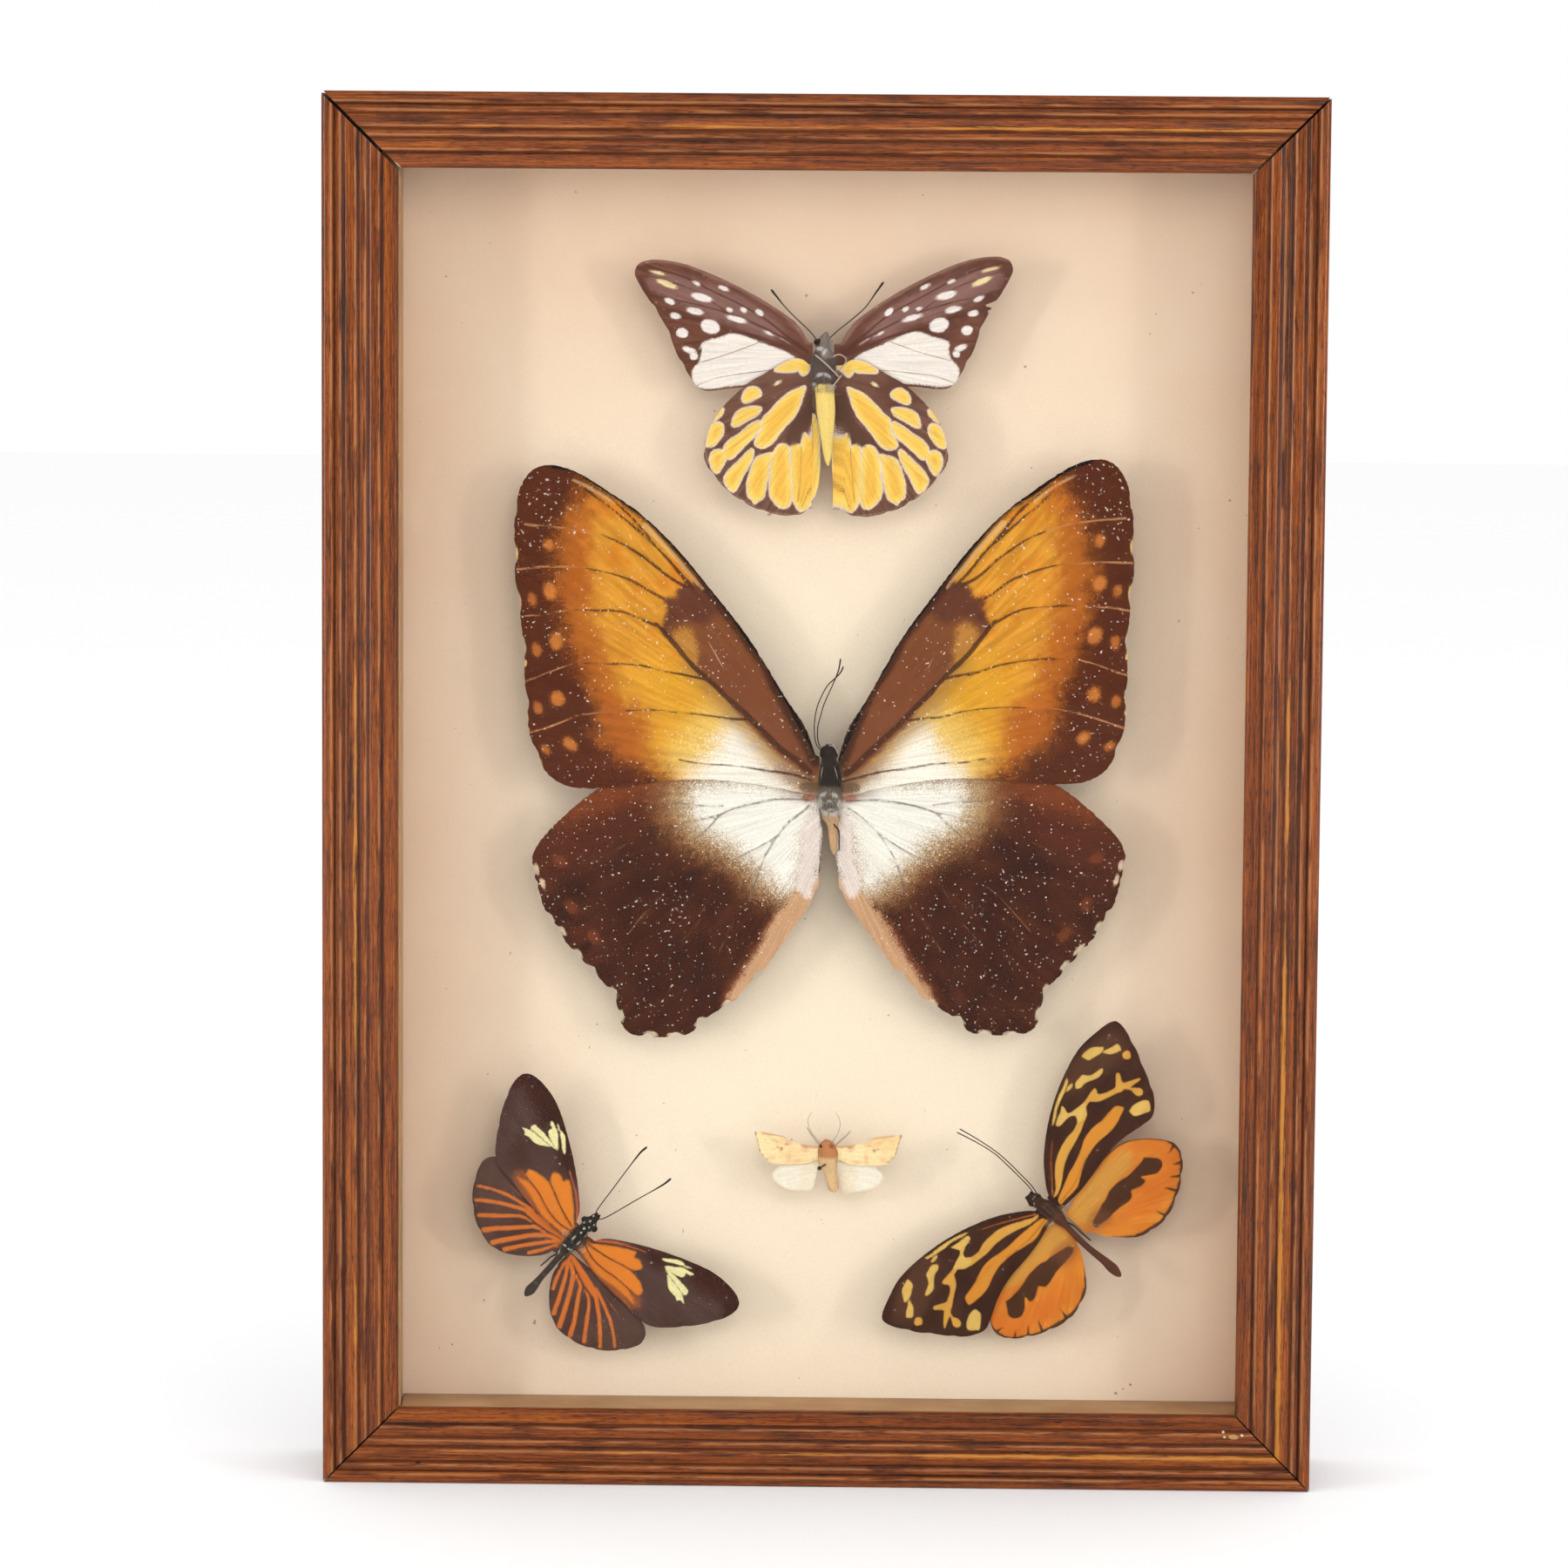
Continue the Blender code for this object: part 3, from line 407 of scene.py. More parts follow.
def new_piece(name, mesh, finish, smooth_angle=None):
    """Put a mesh into the scene as a piece of the object, with its finish."""
    mesh.name = name
    if finish is not None:
        mesh.materials.clear()
        mesh.materials.append(finish)
    if smooth_angle is not None:
        mesh.shade_smooth()
        mesh.set_sharp_from_angle(angle=math.radians(smooth_angle))
    piece = bpy.data.objects.new(name, mesh)
    bpy.context.scene.collection.objects.link(piece)
    return piece


# %% Sweep one rail
def build_rail(name, rail, seed, finish):
    """One rail between its two mitres, with its wear, its grooves and a map of its grain."""
    corners = {
        "top_left": Vector((cad_low.x, cad_high.z)),
        "top_right": Vector((cad_high.x, cad_high.z)),
        "bottom_right": Vector((cad_high.x, cad_low.z)),
        "bottom_left": Vector((cad_low.x, cad_low.z)),
    }
    start, end = corners[rail["from"]], corners[rail["to"]]
    along = (end - start).normalized()
    inward = Vector(rail["inward"])
    length = (end - start).length / MM
    rings = int(length / RING_SPACING)
    first_gap, last_gap = MITRE_GAPS[rail["from"]], MITRE_GAPS[rail["to"]]
    girth = [0.0]
    for before, after in zip(section, section[1:]):
        girth.append(girth[-1] + (after - before).length)

    points, uvs, wear, groove, ridge_highlight = [], [], [], [], []
    for ring in range(rings + 1):
        share = ring / rings
        for (distance, depth), round_way in zip(section, girth):
            low = distance + first_gap
            run = low + (length - distance - last_gap - low) * share
            worn = worn_width(rail["worn"], run / length)
            sunk = depth
            on_face = depth < LIP_BACK
            if on_face:
                wave = noise.noise((run * 0.06, distance * 0.5, seed))
                ripple = noise.noise((run * 0.35, distance * 1.4, seed + 40))
                sunk += WOBBLE * (0.75 + 0.6 * wave + 0.4 * ripple)
            place = start + along * run * MM + inward * distance * MM
            points.append((place.x, cad_low.y + sunk * MM, place.y))
            uvs.append((run * MM + seed * 1.7, round_way * MM + seed * 0.31))
            wear.append(worn - (abs(distance - CREST_PLACE) if on_face else OFF_THE_FACE))
            groove.append(closeness(distance, GROOVE_PLACES, GROOVE_REACH) if on_face else 0.0)
            ridge_highlight.append(closeness(distance, RIDGE_HIGHLIGHT_PLACES, RIDGE_HIGHLIGHT_REACH) if on_face else 0.0)

    count = len(section)
    faces = []
    for ring in range(rings):
        for column in range(count):
            following = (column + 1) % count
            faces.append((ring * count + column, ring * count + following,
                          (ring + 1) * count + following, (ring + 1) * count + column))
    faces.append(tuple(range(count)))
    faces.append(tuple(rings * count + column for column in range(count)))
    mesh = bpy.data.meshes.new(name)
    mesh.from_pydata(points, [], faces)
    for mark, values in (("wear", wear), ("groove", groove), ("ridge_highlight", ridge_highlight)):
        set_attribute(mesh, mark, values)
    lay_map(mesh, "grain", uvs)
    face_outwards(mesh)
    return new_piece(name, mesh, finish, 38)


# %% [markdown]
# The wood is reddish brown and open-grained, under a glossy, slightly dirty varnish. Most of its colour comes
# from noise that is pulled out along each rail: broad bands, fine streaks, and the short dark dashes of its
# pores. The pattern reads the rail's own map of run and girth, so it turns the corner at every mitre as sawn
# wood does. Over it lie a darkening in the grooves, painted highlights along the ridge edges, the worn crest
# and seven small chips.

# %% Varnished wood
WOOD_DARK = tone(54, 21, 6)
WOOD_MIDDLE = tone(132, 60, 12)
WOOD_WARM = tone(180, 95, 22)
WOOD_PORE = tone(26, 14, 10)
WOOD_WORN = tone(220, 144, 44)
CHIPS = [
    ((-103.3, 323.0), (1.9, 0.45), 42, tone(228, 216, 198)),
    ((102.7, 13.4), (1.3, 0.6), 6, tone(196, 150, 92)),
    ((100.2, 14.5), (0.35, 0.3), 0, tone(226, 210, 186)),
    ((100.5, 13.4), (0.35, 0.3), 0, tone(216, 196, 168)),
    ((104.8, 13.8), (0.4, 0.3), 20, tone(226, 210, 186)),
    ((-98.0, 5.0), (0.8, 0.25), 0, tone(40, 18, 10)),
    ((52.0, 9.0), (1.0, 0.22), 3, tone(44, 20, 10)),
]

wood, tree, shader = new_material("varnished_wood", 0.3, Coat_Weight=0.34, Coat_Roughness=0.18,
                                  Specular_IOR_Level=0.12)
lie = add(tree, "ShaderNodeUVMap", uv_map="grain").outputs[0]
bands = grain(tree, lie, 1.0, 3.0, 0.55, (8.0, 420.0, 1.0))
streaks = grain(tree, lie, 1.0, 5.0, 0.7, (60.0, 2400.0, 1.0), 3.0)
fine = grain(tree, lie, 1.0, 3.0, 0.7, (150.0, 7000.0, 1.0), 7.0)
pores = grain(tree, lie, 1.0, 2.0, 0.5, (330.0, 6200.0, 1.0), 11.0)
smudges = grain(tree, lie, 1.0, 3.0, 0.6, (52.0, 520.0, 1.0), 17.0)
ray_flecks = grain(tree, lie, 1.0, 2.0, 0.6, (420.0, 5200.0, 1.0), 23.0)

streaked = value_math(tree, "MULTIPLY_ADD", streaks, 0.66, value_math(tree, "MULTIPLY", bands, 0.44))
body_tone = blend_colours(tree, step_between(tree, streaked, 0.41, 0.57), WOOD_DARK, WOOD_MIDDLE)
body_tone = blend_colours(tree, step_between(tree, streaked, 0.54, 0.70), body_tone, WOOD_WARM)
fine_mask = step_between(tree, fine, 0.42, 0.66)
body_tone = blend_colours(tree, value_math(tree, "MULTIPLY", fine_mask, 0.55), body_tone,
                          blend_colours(tree, 0.6, body_tone, WOOD_WARM))
pore_mask = faint_mask(tree, pores, 0.57, 0.65, 0.75)
body_tone = blend_colours(tree, pore_mask, body_tone, WOOD_PORE)
smudge_mask = faint_mask(tree, smudges, 0.50, 0.70, 0.55)
body_tone = blend_colours(tree, smudge_mask, body_tone, WOOD_PORE)
# Darker in the grooves, broken up by the streaks.
groove_here = mark_value(tree, "groove")
groove_darkening = value_math(tree, "MULTIPLY", groove_here, value_math(tree, "MULTIPLY", streaks, 1.3),
                  clamp=True)
body_tone = blend_colours(tree, groove_darkening, body_tone, WOOD_PORE)
# Painted highlight: a paler colour in broken dashes along the rounded ridge edges stands in for the glints of
# the varnish.
ridge_highlight_here = mark_value(tree, "ridge_highlight")
edge = value_math(tree, "MULTIPLY", ridge_highlight_here, step_between(tree, smudges, 0.58, 0.46))
body_tone = blend_colours(tree, value_math(tree, "MULTIPLY", edge, 0.5), body_tone,
                          tone(214, 150, 96))
wear_here = mark_value(tree, "wear")
frayed = grain(tree, lie, 1.0, 3.0, 0.75, (90.0, 2100.0, 1.0), 31.0)
frayed = value_math(tree, "MULTIPLY_ADD", frayed, 2.6, -1.4)
worn_mask = step_between(tree, value_math(tree, "ADD", wear_here, frayed), -0.15, 0.3)
body_tone = blend_colours(tree, value_math(tree, "MULTIPLY", worn_mask, 0.72), body_tone, WOOD_WORN)
fleck_mask = faint_mask(tree, ray_flecks, 0.66, 0.72, 0.35)
body_tone = blend_colours(tree, fleck_mask, body_tone, tone(190, 128, 80))
here = object_place(tree)
for (across, up), (half_width, half_height), degrees, colour in CHIPS:
    beside = add(tree, "ShaderNodeMapping", {
        "Vector": here, "Location": (across * MM, 0.0, up * MM),
        "Rotation": (0.0, math.radians(degrees), 0.0),
        "Scale": (half_width * MM, 1.0, half_height * MM),
    }, vector_type="TEXTURE").outputs[0]
    far = add(tree, "ShaderNodeVectorMath", {0: beside}, operation="LENGTH").outputs["Value"]
    ragged = value_math(tree, "MULTIPLY_ADD", fine, 0.7, far)
    body_tone = blend_colours(tree, step_between(tree, ragged, 1.45, 1.15), body_tone, colour)
tree.links.new(body_tone, shader.inputs["Base Color"])
gloss = add(tree, "ShaderNodeMapRange", {0: fine, 1: 0.3, 2: 0.7, 3: 0.24, 4: 0.5}).outputs[0]
tree.links.new(gloss, shader.inputs["Roughness"])
relief = value_math(tree, "ADD", fine, value_math(tree, "MULTIPLY", pore_mask, -1.4))
bump(tree, shader, relief, 0.4, 0.00008)

# %% Sweep the four rails and cut the recess and the brad holes
HOLE_RADIUS = 0.9
NOTCH_HALF_WIDTH = 27.0
NOTCH_DEPTH = 3.2
NOTCH_TOP = 2.5
BRAD_NAMES = sorted(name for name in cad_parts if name.startswith("brad_"))


def cut(piece, cutter):
    """Take one closed solid out of a piece for good."""
    change = piece.modifiers.new("cut", "BOOLEAN")
    change.operation = "DIFFERENCE"
    change.solver = "EXACT"
    change.object = cutter
    bpy.context.view_layer.update()
    made = bpy.data.meshes.new_from_object(piece.evaluated_get(bpy.context.evaluated_depsgraph_get()))
    piece.modifiers.clear()
    old, piece.data = piece.data, made
    bpy.data.meshes.remove(old)
    bpy.data.objects.remove(cutter)


def rod(name, start, end, radius, sides=20):
    """A closed round rod from one point to another."""
    mesh = bpy.data.meshes.new(name)
    body = bmesh.new()
    length = (Vector(end) - Vector(start)).length
    turned = (Vector(end) - Vector(start)).to_track_quat("Z", "Y").to_matrix().to_4x4()
    middle = Matrix.Translation((Vector(start) + Vector(end)) / 2)
    bmesh.ops.create_cone(body, cap_ends=True, segments=sides, radius1=radius, radius2=radius,
                          depth=length, matrix=middle @ turned)
    body.to_mesh(mesh)
    body.free()
    return new_piece(name, mesh, None)


rails = {}
for seed, (rail_name, rail) in enumerate(RAILS.items(), start=1):
    piece = build_rail(f"moulding_{rail_name}", rail, seed, wood)
    for brad in BRAD_NAMES:
        if rail_name in brad:
            low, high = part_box(brad)
            middle = (low + high) / 2
            outward = Vector((-rail["inward"][0], 0, -rail["inward"][1]))
            reach = max(high - low) / 2
            start = middle + outward * (reach + 0.3 * MM)
            cut(piece, rod("hole", start, middle - outward * reach, HOLE_RADIUS * MM))
    rails[rail_name] = piece
notch_low = (-NOTCH_HALF_WIDTH * MM, cad_high.y - NOTCH_DEPTH * MM,
             cad_high.z - (WALL_THICKNESS + 2) * MM)
notch_high = (NOTCH_HALF_WIDTH * MM, cad_high.y + 2 * MM, cad_high.z - NOTCH_TOP * MM)
cut(rails["top"], new_piece("notch", box_mesh("notch", notch_low, notch_high), None))
for rail_name, piece in rails.items():
    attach(piece, "root")
    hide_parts(f"rail_{rail_name}")
    print(piece.name, len(piece.data.polygons), "faces")

# %% [markdown]
# ## Glass, paper and board
# Behind the lip of the frame lies a pane of plain glass. Strips of card covered in tan paper keep
# it off the mounting board, and only a sliver of them shows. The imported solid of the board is
# already right. The pane and the strips have tiny rounded edges, so they are made again as boxes
# with a small bevel, and every finish is mixed from noise so that no patch repeats. Real glass has
# an index of about 1.5. Here it is set to 1.12, which mirrors less of the white floor and leaves
# the dark wings dark, at the cost of some gloss.

# %% Bevelled boxes for the sheets behind the lip
def bevelled_box(name, low, high, bevel, finish):
    """A box-shaped piece with rounded edges."""
    return new_piece(name, box_mesh(name, low, high, bevel), finish, 35)


def stand_for(piece, node):
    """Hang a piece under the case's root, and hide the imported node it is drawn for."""
    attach(piece, "root")
    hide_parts(node)


# %% Glass
clear, tree, shader = new_material("clear_glass", 0.0, IOR=1.12, Transmission_Weight=1.0,
                                   Specular_IOR_Level=0.2)
shader.inputs["Base Color"].default_value = (0.985, 0.995, 0.99, 1.0)
low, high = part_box("glass")
pane = bevelled_box("pane", low, high, 0.15 * MM, clear)
pane.visible_shadow = False
stand_for(pane, "glass")

# %% Paper on the spacer strips
liner_paper, tree, shader = new_material("liner_paper", 0.8)
here = object_place(tree)
clouds = grain(tree, here, 60.0, 4.0)
fibres = grain(tree, here, 2600.0, 2.0, 0.6)
base = blend_colours(tree, step_between(tree, clouds, 0.3, 0.7),
                     tone(186, 138, 90), tone(204, 160, 112))
base = blend_colours(tree, faint_mask(tree, fibres, 0.52, 0.7, 0.4),
                     base, tone(170, 124, 82))
dust = grain(tree, here, 900.0, 2.0, 0.6)
base = blend_colours(tree, faint_mask(tree, dust, 0.70, 0.74, 0.7),
                     base, tone(235, 214, 184))
tree.links.new(base, shader.inputs["Base Color"])
bump(tree, shader, fibres, 0.5, 0.0001)

for side_name in ("left", "right", "top", "bottom"):
    low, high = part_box(f"liner_{side_name}")
    strip = bevelled_box(f"spacer_{side_name}", low, high, 0.25 * MM, liner_paper)
    stand_for(strip, f"liner_{side_name}")

# %% [markdown]
# The board is soft, covered in cream paper with small dark specks. Towards the sides and the top its colour
# is painted darker and browner: painted shade of the rails, and a little browning of the paper. Six larger
# stains have places of their own. The board already carries the five pin holes, so the imported solid stays
# and only takes a new finish.

# %% Cream paper on the board
board_paper, tree, shader = new_material("board_paper", 0.85, Specular_IOR_Level=0.3)
here = object_place(tree)
parts = add(tree, "ShaderNodeSeparateXYZ", {"Vector": here})
clouds = grain(tree, here, 16.0, 3.0)
fibres = grain(tree, here, 3200.0, 2.0, 0.6)
# Darker and browner towards the sides and the top: painted shade of the rails, with a little browning of the
# paper.
from_middle = value_math(tree, "ABSOLUTE", parts.outputs["X"])
to_side = step_between(tree, from_middle, 0.040, 0.108)
to_top = step_between(tree, parts.outputs["Z"], 0.20, 0.325)
rail_shade_and_browning = value_math(tree, "MAXIMUM", to_side, to_top)
uneven = value_math(tree, "MULTIPLY_ADD", clouds, 0.7, 0.35)
rail_shade_and_browning = value_math(tree, "MULTIPLY", rail_shade_and_browning, uneven, clamp=True)
base = blend_colours(tree, rail_shade_and_browning, tone(249, 230, 204), tone(228, 190, 160))
base = blend_colours(tree, faint_mask(tree, fibres, 0.45, 0.7, 0.16),
                     base, tone(196, 150, 118))
specks = grain(tree, here, 520.0, 2.0, 0.5)
base = blend_colours(tree, faint_mask(tree, specks, 0.765, 0.785, 0.6),
                     base, tone(120, 84, 60))
BOARD_FACE = 0.0065
STAINS = [(74.0, 19.8, 0.75), (75.8, 21.0, 0.6), (77.6, 22.0, 0.7), (74.2, 34.0, 0.5),
          (-90.5, 30.5, 0.6), (79.0, 282.5, 0.55)]
for across, up, radius in STAINS:
    spot = add(tree, "ShaderNodeCombineXYZ", {"X": across * MM, "Y": BOARD_FACE, "Z": up * MM})
    gone = add(tree, "ShaderNodeVectorMath", {0: here, 1: spot.outputs[0]}, operation="DISTANCE")
    ragged = value_math(tree, "MULTIPLY_ADD", fibres, 0.5 * MM, gone.outputs["Value"])
    mark = step_between(tree, ragged, radius * MM, radius * MM * 0.6)
    base = blend_colours(tree, value_math(tree, "MULTIPLY", mark, 0.8), base, tone(132, 92, 66))
tree.links.new(base, shader.inputs["Base Color"])
bump(tree, shader, fibres, 0.4, 0.00008)
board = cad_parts["mounting_board"]
board.data.materials.clear()
board.data.materials.append(board_paper)

# %% [markdown]
# ## The back
# A brown hardboard panel, dotted with the mesh of the press it was made in, is held by ten wire
# brads. A toothed steel strip for the wall nail is let into the top rail. The strip's packed
# solid is right to its teeth, so it keeps its shape. The nails and brads are turned again, rounder.

# %% Hardboard
hardboard, tree, shader = new_material("hardboard", 0.75)
here = object_place(tree)
clouds = grain(tree, here, 30.0, 4.0)
fibres = grain(tree, here, 1400.0, 3.0, 0.65)
parts = add(tree, "ShaderNodeSeparateXYZ", {"Vector": here})
PRESS_MESH = 3900.0
rows = value_math(tree, "SINE", value_math(tree, "MULTIPLY", parts.outputs["X"], PRESS_MESH))
columns = value_math(tree, "SINE", value_math(tree, "MULTIPLY", parts.outputs["Z"], PRESS_MESH))
screen = value_math(tree, "MULTIPLY", rows, columns)
base = blend_colours(tree, clouds, tone(104, 68, 42), tone(140, 98, 62))
base = blend_colours(tree, faint_mask(tree, fibres, 0.5, 0.72, 0.5),
                     base, tone(74, 46, 30))
tree.links.new(base, shader.inputs["Base Color"])
bump(tree, shader, value_math(tree, "MULTIPLY_ADD", screen, 0.5, fibres), 0.5, 0.0002)
low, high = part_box("back_panel")
panel = bevelled_box("hardboard_panel", low, high, 0.3 * MM, hardboard)
stand_for(panel, "back_panel")

# %% Steel for the hanger, the nails, the brads and the pins
STEELS = {
    "hanger_steel": (tone(176, 172, 160), 0.34),
    "brad_steel": (tone(150, 148, 142), 0.38),
    "pin_steel": (tone(58, 54, 52), 0.3),
}
steels = {}
for name, (colour, roughness) in STEELS.items():
    metal, tree, shader = new_material(name, roughness, Metallic=1.0)
    here = object_place(tree)
    blotches = grain(tree, here, 220.0, 4.0)
    fine = grain(tree, here, 2200.0, 3.0)
    base = blend_colours(tree, step_between(tree, blotches, 0.35, 0.7), colour,
                         blend_colours(tree, 0.5, colour, tone(96, 78, 60)))
    tree.links.new(base, shader.inputs["Base Color"])
    tree.links.new(
        add(tree, "ShaderNodeMapRange", {0: fine, 1: 0.3, 2: 0.7, 3: roughness - 0.1,
                                         4: roughness + 0.18}).outputs[0],
        shader.inputs["Roughness"])
    bump(tree, shader, fine, 0.25, 0.00005)
    steels[name] = metal
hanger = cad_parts["hanger"]
hanger.data.materials.clear()
hanger.data.materials.append(steels["hanger_steel"])


# %% Turn round pieces from their profile
def turned(name, start, along, profile, finish, sides=24):
    """A round piece. Its profile lists distance along and radius, and closes on the axis."""
    mesh = bpy.data.meshes.new(name)
    body = bmesh.new()
    facing = Vector(along).to_track_quat("Z", "Y").to_matrix()
    rings = []
    for distance, radius in profile:
        ring = []
        for step in range(sides):
            angle = 2 * math.pi * step / sides
            spot = Vector((radius * math.cos(angle), radius * math.sin(angle), distance))
            ring.append(body.verts.new(Vector(start) + facing @ spot))
        rings.append(ring)
    for ring, following in zip(rings, rings[1:]):
        for step in range(sides):
            after = (step + 1) % sides
            body.faces.new((ring[step], ring[after], following[after], following[step]))
    for ring in (rings[0], rings[-1]):
        centre = body.verts.new(sum((corner.co for corner in ring), Vector()) / sides)
        for step in range(sides):
            body.faces.new((ring[step], ring[(step + 1) % sides], centre))
    bmesh.ops.recalc_face_normals(body, faces=body.faces)
    body.to_mesh(mesh)
    body.free()
    return new_piece(name, mesh, finish, 50)


# %% Brads and hanger nails
for brad in BRAD_NAMES:
    low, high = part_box(brad)
    middle, size = (low + high) / 2, high - low
    lengthwise = 0 if size.x > size.z else 2
    along = Vector((0, 0, 0))
    centre = 0 if lengthwise == 0 else 0.17
    along[lengthwise] = -1.0 if middle[lengthwise] > centre else 1.0
    reach = size[lengthwise]
    start = middle - along * reach / 2
    radius = size.y / 2
    stalk = 0.6 * MM
    profile = [(0.0, 0.1 * MM), (1.2 * MM, stalk), (reach - 0.9 * MM, stalk),
               (reach - 0.75 * MM, radius * 0.86), (reach - 0.55 * MM, radius),
               (reach - 0.2 * MM, radius), (reach - 0.05 * MM, radius * 0.85), (reach, radius * 0.6)]
    if radius < 0.7 * MM:
        profile = [(0.0, 0.1 * MM), (1.2 * MM, stalk), (reach - 0.1 * MM, stalk),
                   (reach, stalk * 0.8)]
    wire = turned(f"wire_{brad}", start, along, profile, steels["brad_steel"])
    stand_for(wire, brad)
for side_name in ("left", "right"):
    node = f"hanger_nail_{side_name}"
    low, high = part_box(node)
    middle, size = (low + high) / 2, high - low
    start = Vector((middle.x, low.y, middle.z))
    head, shank, reach = size.x / 2, 0.6 * MM, size.y
    profile = [(0.0, 0.08 * MM), (1.0 * MM, shank), (reach - 0.8 * MM, shank),
               (reach - 0.8 * MM, head * 0.98), (reach - 0.5 * MM, head),
               (reach - 0.22 * MM, head * 0.8), (reach - 0.06 * MM, head * 0.45), (reach, head * 0.1)]
    stand_for(turned(f"round_{node}", start, (0, 1, 0), profile, steels["hanger_steel"], 28),
              node)
print("flat pieces and steel done")

# %% [markdown]
# ## Wings
# A butterfly's wing is a dry, stiff film on a fan of hollow veins, covered in coloured scales like
# tiny roof tiles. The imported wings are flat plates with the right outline. Here each wing is a
# thin closed sheet on a fine triangle mesh. The veins stand up as low ridges, and the film between
# them sags a little. Each wing is described in its insect's own frame, in millimetres: u runs out
# from the body, v runs towards the head, and w stands out towards the glass.

# %% Outlines of the right-hand wings, from the front of the root round the tip
GREAT_FOREWING = [
    (3.3, 5.6), (6.0, 13.0), (11.0, 20.4), (19.9, 34.7), (29.9, 47.3), (38.0, 56.9), (46.2, 64.7),
    (53.9, 70.0), (61.0, 74.4), (66.0, 76.3), (70.0, 76.6), (73.4, 75.1), (75.8, 71.4), (77.2, 66.0),
    (77.4, 57.0), (77.1, 48.0), (75.9, 39.5), (75.0, 30.0), (74.6, 20.0), (73.5, 10.5), (71.6, 4.8),
    (68.6, 0.4), (64.6, -2.0), (59.5, -2.7), (50.0, -2.1), (41.0, -0.8), (30.6, -0.3), (21.7, -0.9),
    (13.6, -2.0), (6.9, -3.3), (3.3, -3.8),
]
GREAT_HINDWING = [
    (3.3, -1.2), (14.0, 2.0), (30.0, 4.0), (45.0, 2.6), (56.0, -2.4), (61.3, -6.1), (67.6, -12.0),
    (71.5, -16.6), (72.9, -20.5), (72.2, -25.0), (70.8, -29.5), (69.4, -33.4), (67.0, -37.0),
    (64.2, -41.2), (60.6, -45.2), (56.6, -49.4), (53.0, -53.4), (51.6, -57.6), (50.6, -61.4),
    (48.0, -63.7), (43.5, -64.3), (38.0, -64.2), (33.8, -63.2), (30.8, -60.2), (26.9, -57.5),
    (22.8, -54.9), (19.6, -51.0), (15.6, -47.2), (12.6, -42.8), (7.9, -35.9), (4.4, -30.6),
    (2.8, -25.5), (1.8, -20.0), (1.5, -14.0), (2.0, -10.0), (3.3, -8.0),
]
SPOTTED_FOREWING = [
    (3.4, 5.2), (5.8, 9.1), (8.9, 11.9), (16.4, 16.6), (25.1, 20.9), (33.9, 24.2), (40.8, 25.2),
    (44.5, 24.5), (45.9, 22.5), (45.3, 20.0), (42.3, 15.2), (39.0, 10.2), (37.0, 5.8), (35.4, 1.9),
    (32.6, -2.9), (30.4, -5.8), (27.6, -6.6), (22.0, -5.9), (14.0, -5.0), (8.0, -3.2), (3.4, -1.6),
]
SPOTTED_HINDWING = [
    (3.4, 0.0), (5.0, 1.3), (7.2, 1.6), (9.7, 0.7), (14.5, -2.3), (18.6, -4.8), (24.2, -10.2),
    (27.6, -15.6), (28.9, -20.6), (28.3, -24.4), (24.5, -29.4), (19.5, -33.4), (14.5, -35.7),
    (8.9, -36.8), (5.4, -36.5), (3.1, -34.6), (1.4, -31.0), (0.6, -26.0), (0.6, -18.0), (1.6, -12.0),
    (3.2, -9.0), (3.4, -6.0),
]
BANDED_FOREWING = [
    (2.5, 5.4), (3.6, 7.9), (5.8, 10.4), (11.0, 15.0), (17.5, 19.8), (24.7, 24.2), (29.7, 25.9),
    (34.1, 26.2), (36.5, 25.1), (37.2, 22.6), (36.5, 18.6), (33.8, 12.5), (31.2, 8.3), (28.6, 4.9),
    (25.5, 3.2), (20.0, 2.4), (13.2, 1.2), (7.0, 0.6), (2.5, 0.6),
]
BANDED_HINDWING = [
    (2.3, 0.9), (8.0, 2.5), (16.0, 4.4), (24.0, 5.3), (28.0, 4.7), (29.8, 2.2), (29.4, -0.6),
    (28.2, -3.4), (26.0, -6.8), (22.5, -10.0), (19.1, -11.9), (14.7, -13.0), (11.0, -12.2),
    (7.2, -10.0), (4.1, -7.2), (2.6, -5.0), (2.1, -2.6),
]
TIGER_FOREWING = [
    (3.0, 6.2), (4.5, 8.0), (9.3, 11.7), (15.2, 14.8), (21.8, 17.2), (28.3, 18.7), (34.5, 19.4),
    (39.3, 19.2), (44.5, 17.7), (47.6, 16.4), (48.7, 14.8), (47.8, 11.7), (45.2, 7.2), (42.1, 2.9),
    (39.0, -1.3), (36.0, -3.8), (33.0, -4.9), (29.7, -3.8), (24.5, -1.6), (19.1, -0.5), (13.4, -0.2),
    (7.9, 0.4), (3.0, 1.6),
]
TIGER_HINDWING = [
    (2.4, 0.2), (8.0, 2.0), (16.0, 3.0), (22.5, 2.6), (25.8, 1.1), (29.1, -1.7), (31.6, -5.0),
    (32.6, -7.6), (31.8, -10.6), (29.5, -13.0), (25.5, -15.8), (20.5, -18.0), (16.8, -18.7),
    (12.5, -18.0), (9.0, -16.4), (5.4, -12.4), (3.3, -9.2), (2.1, -6.0), (1.8, -3.0),
]
MOTH_FOREWING = [
    (3.1, 4.6), (5.2, 4.9), (7.3, 5.2), (9.2, 5.8), (10.8, 6.8), (13.0, 7.4), (16.0, 7.9),
    (18.0, 8.0), (17.6, 6.4), (17.2, 4.8), (16.8, 3.0), (15.6, 1.5), (14.5, 0.5), (12.5, 0.1),
    (8.0, -0.1), (5.0, 0.3), (3.1, 1.2),
]
MOTH_HINDWING = [
    (3.1, 0.6), (6.0, 0.9), (10.0, 0.2), (12.6, -1.2), (13.7, -2.9), (12.9, -4.5), (11.0, -5.9),
    (8.6, -6.6), (5.7, -6.9), (3.9, -6.4), (3.2, -4.6),
]

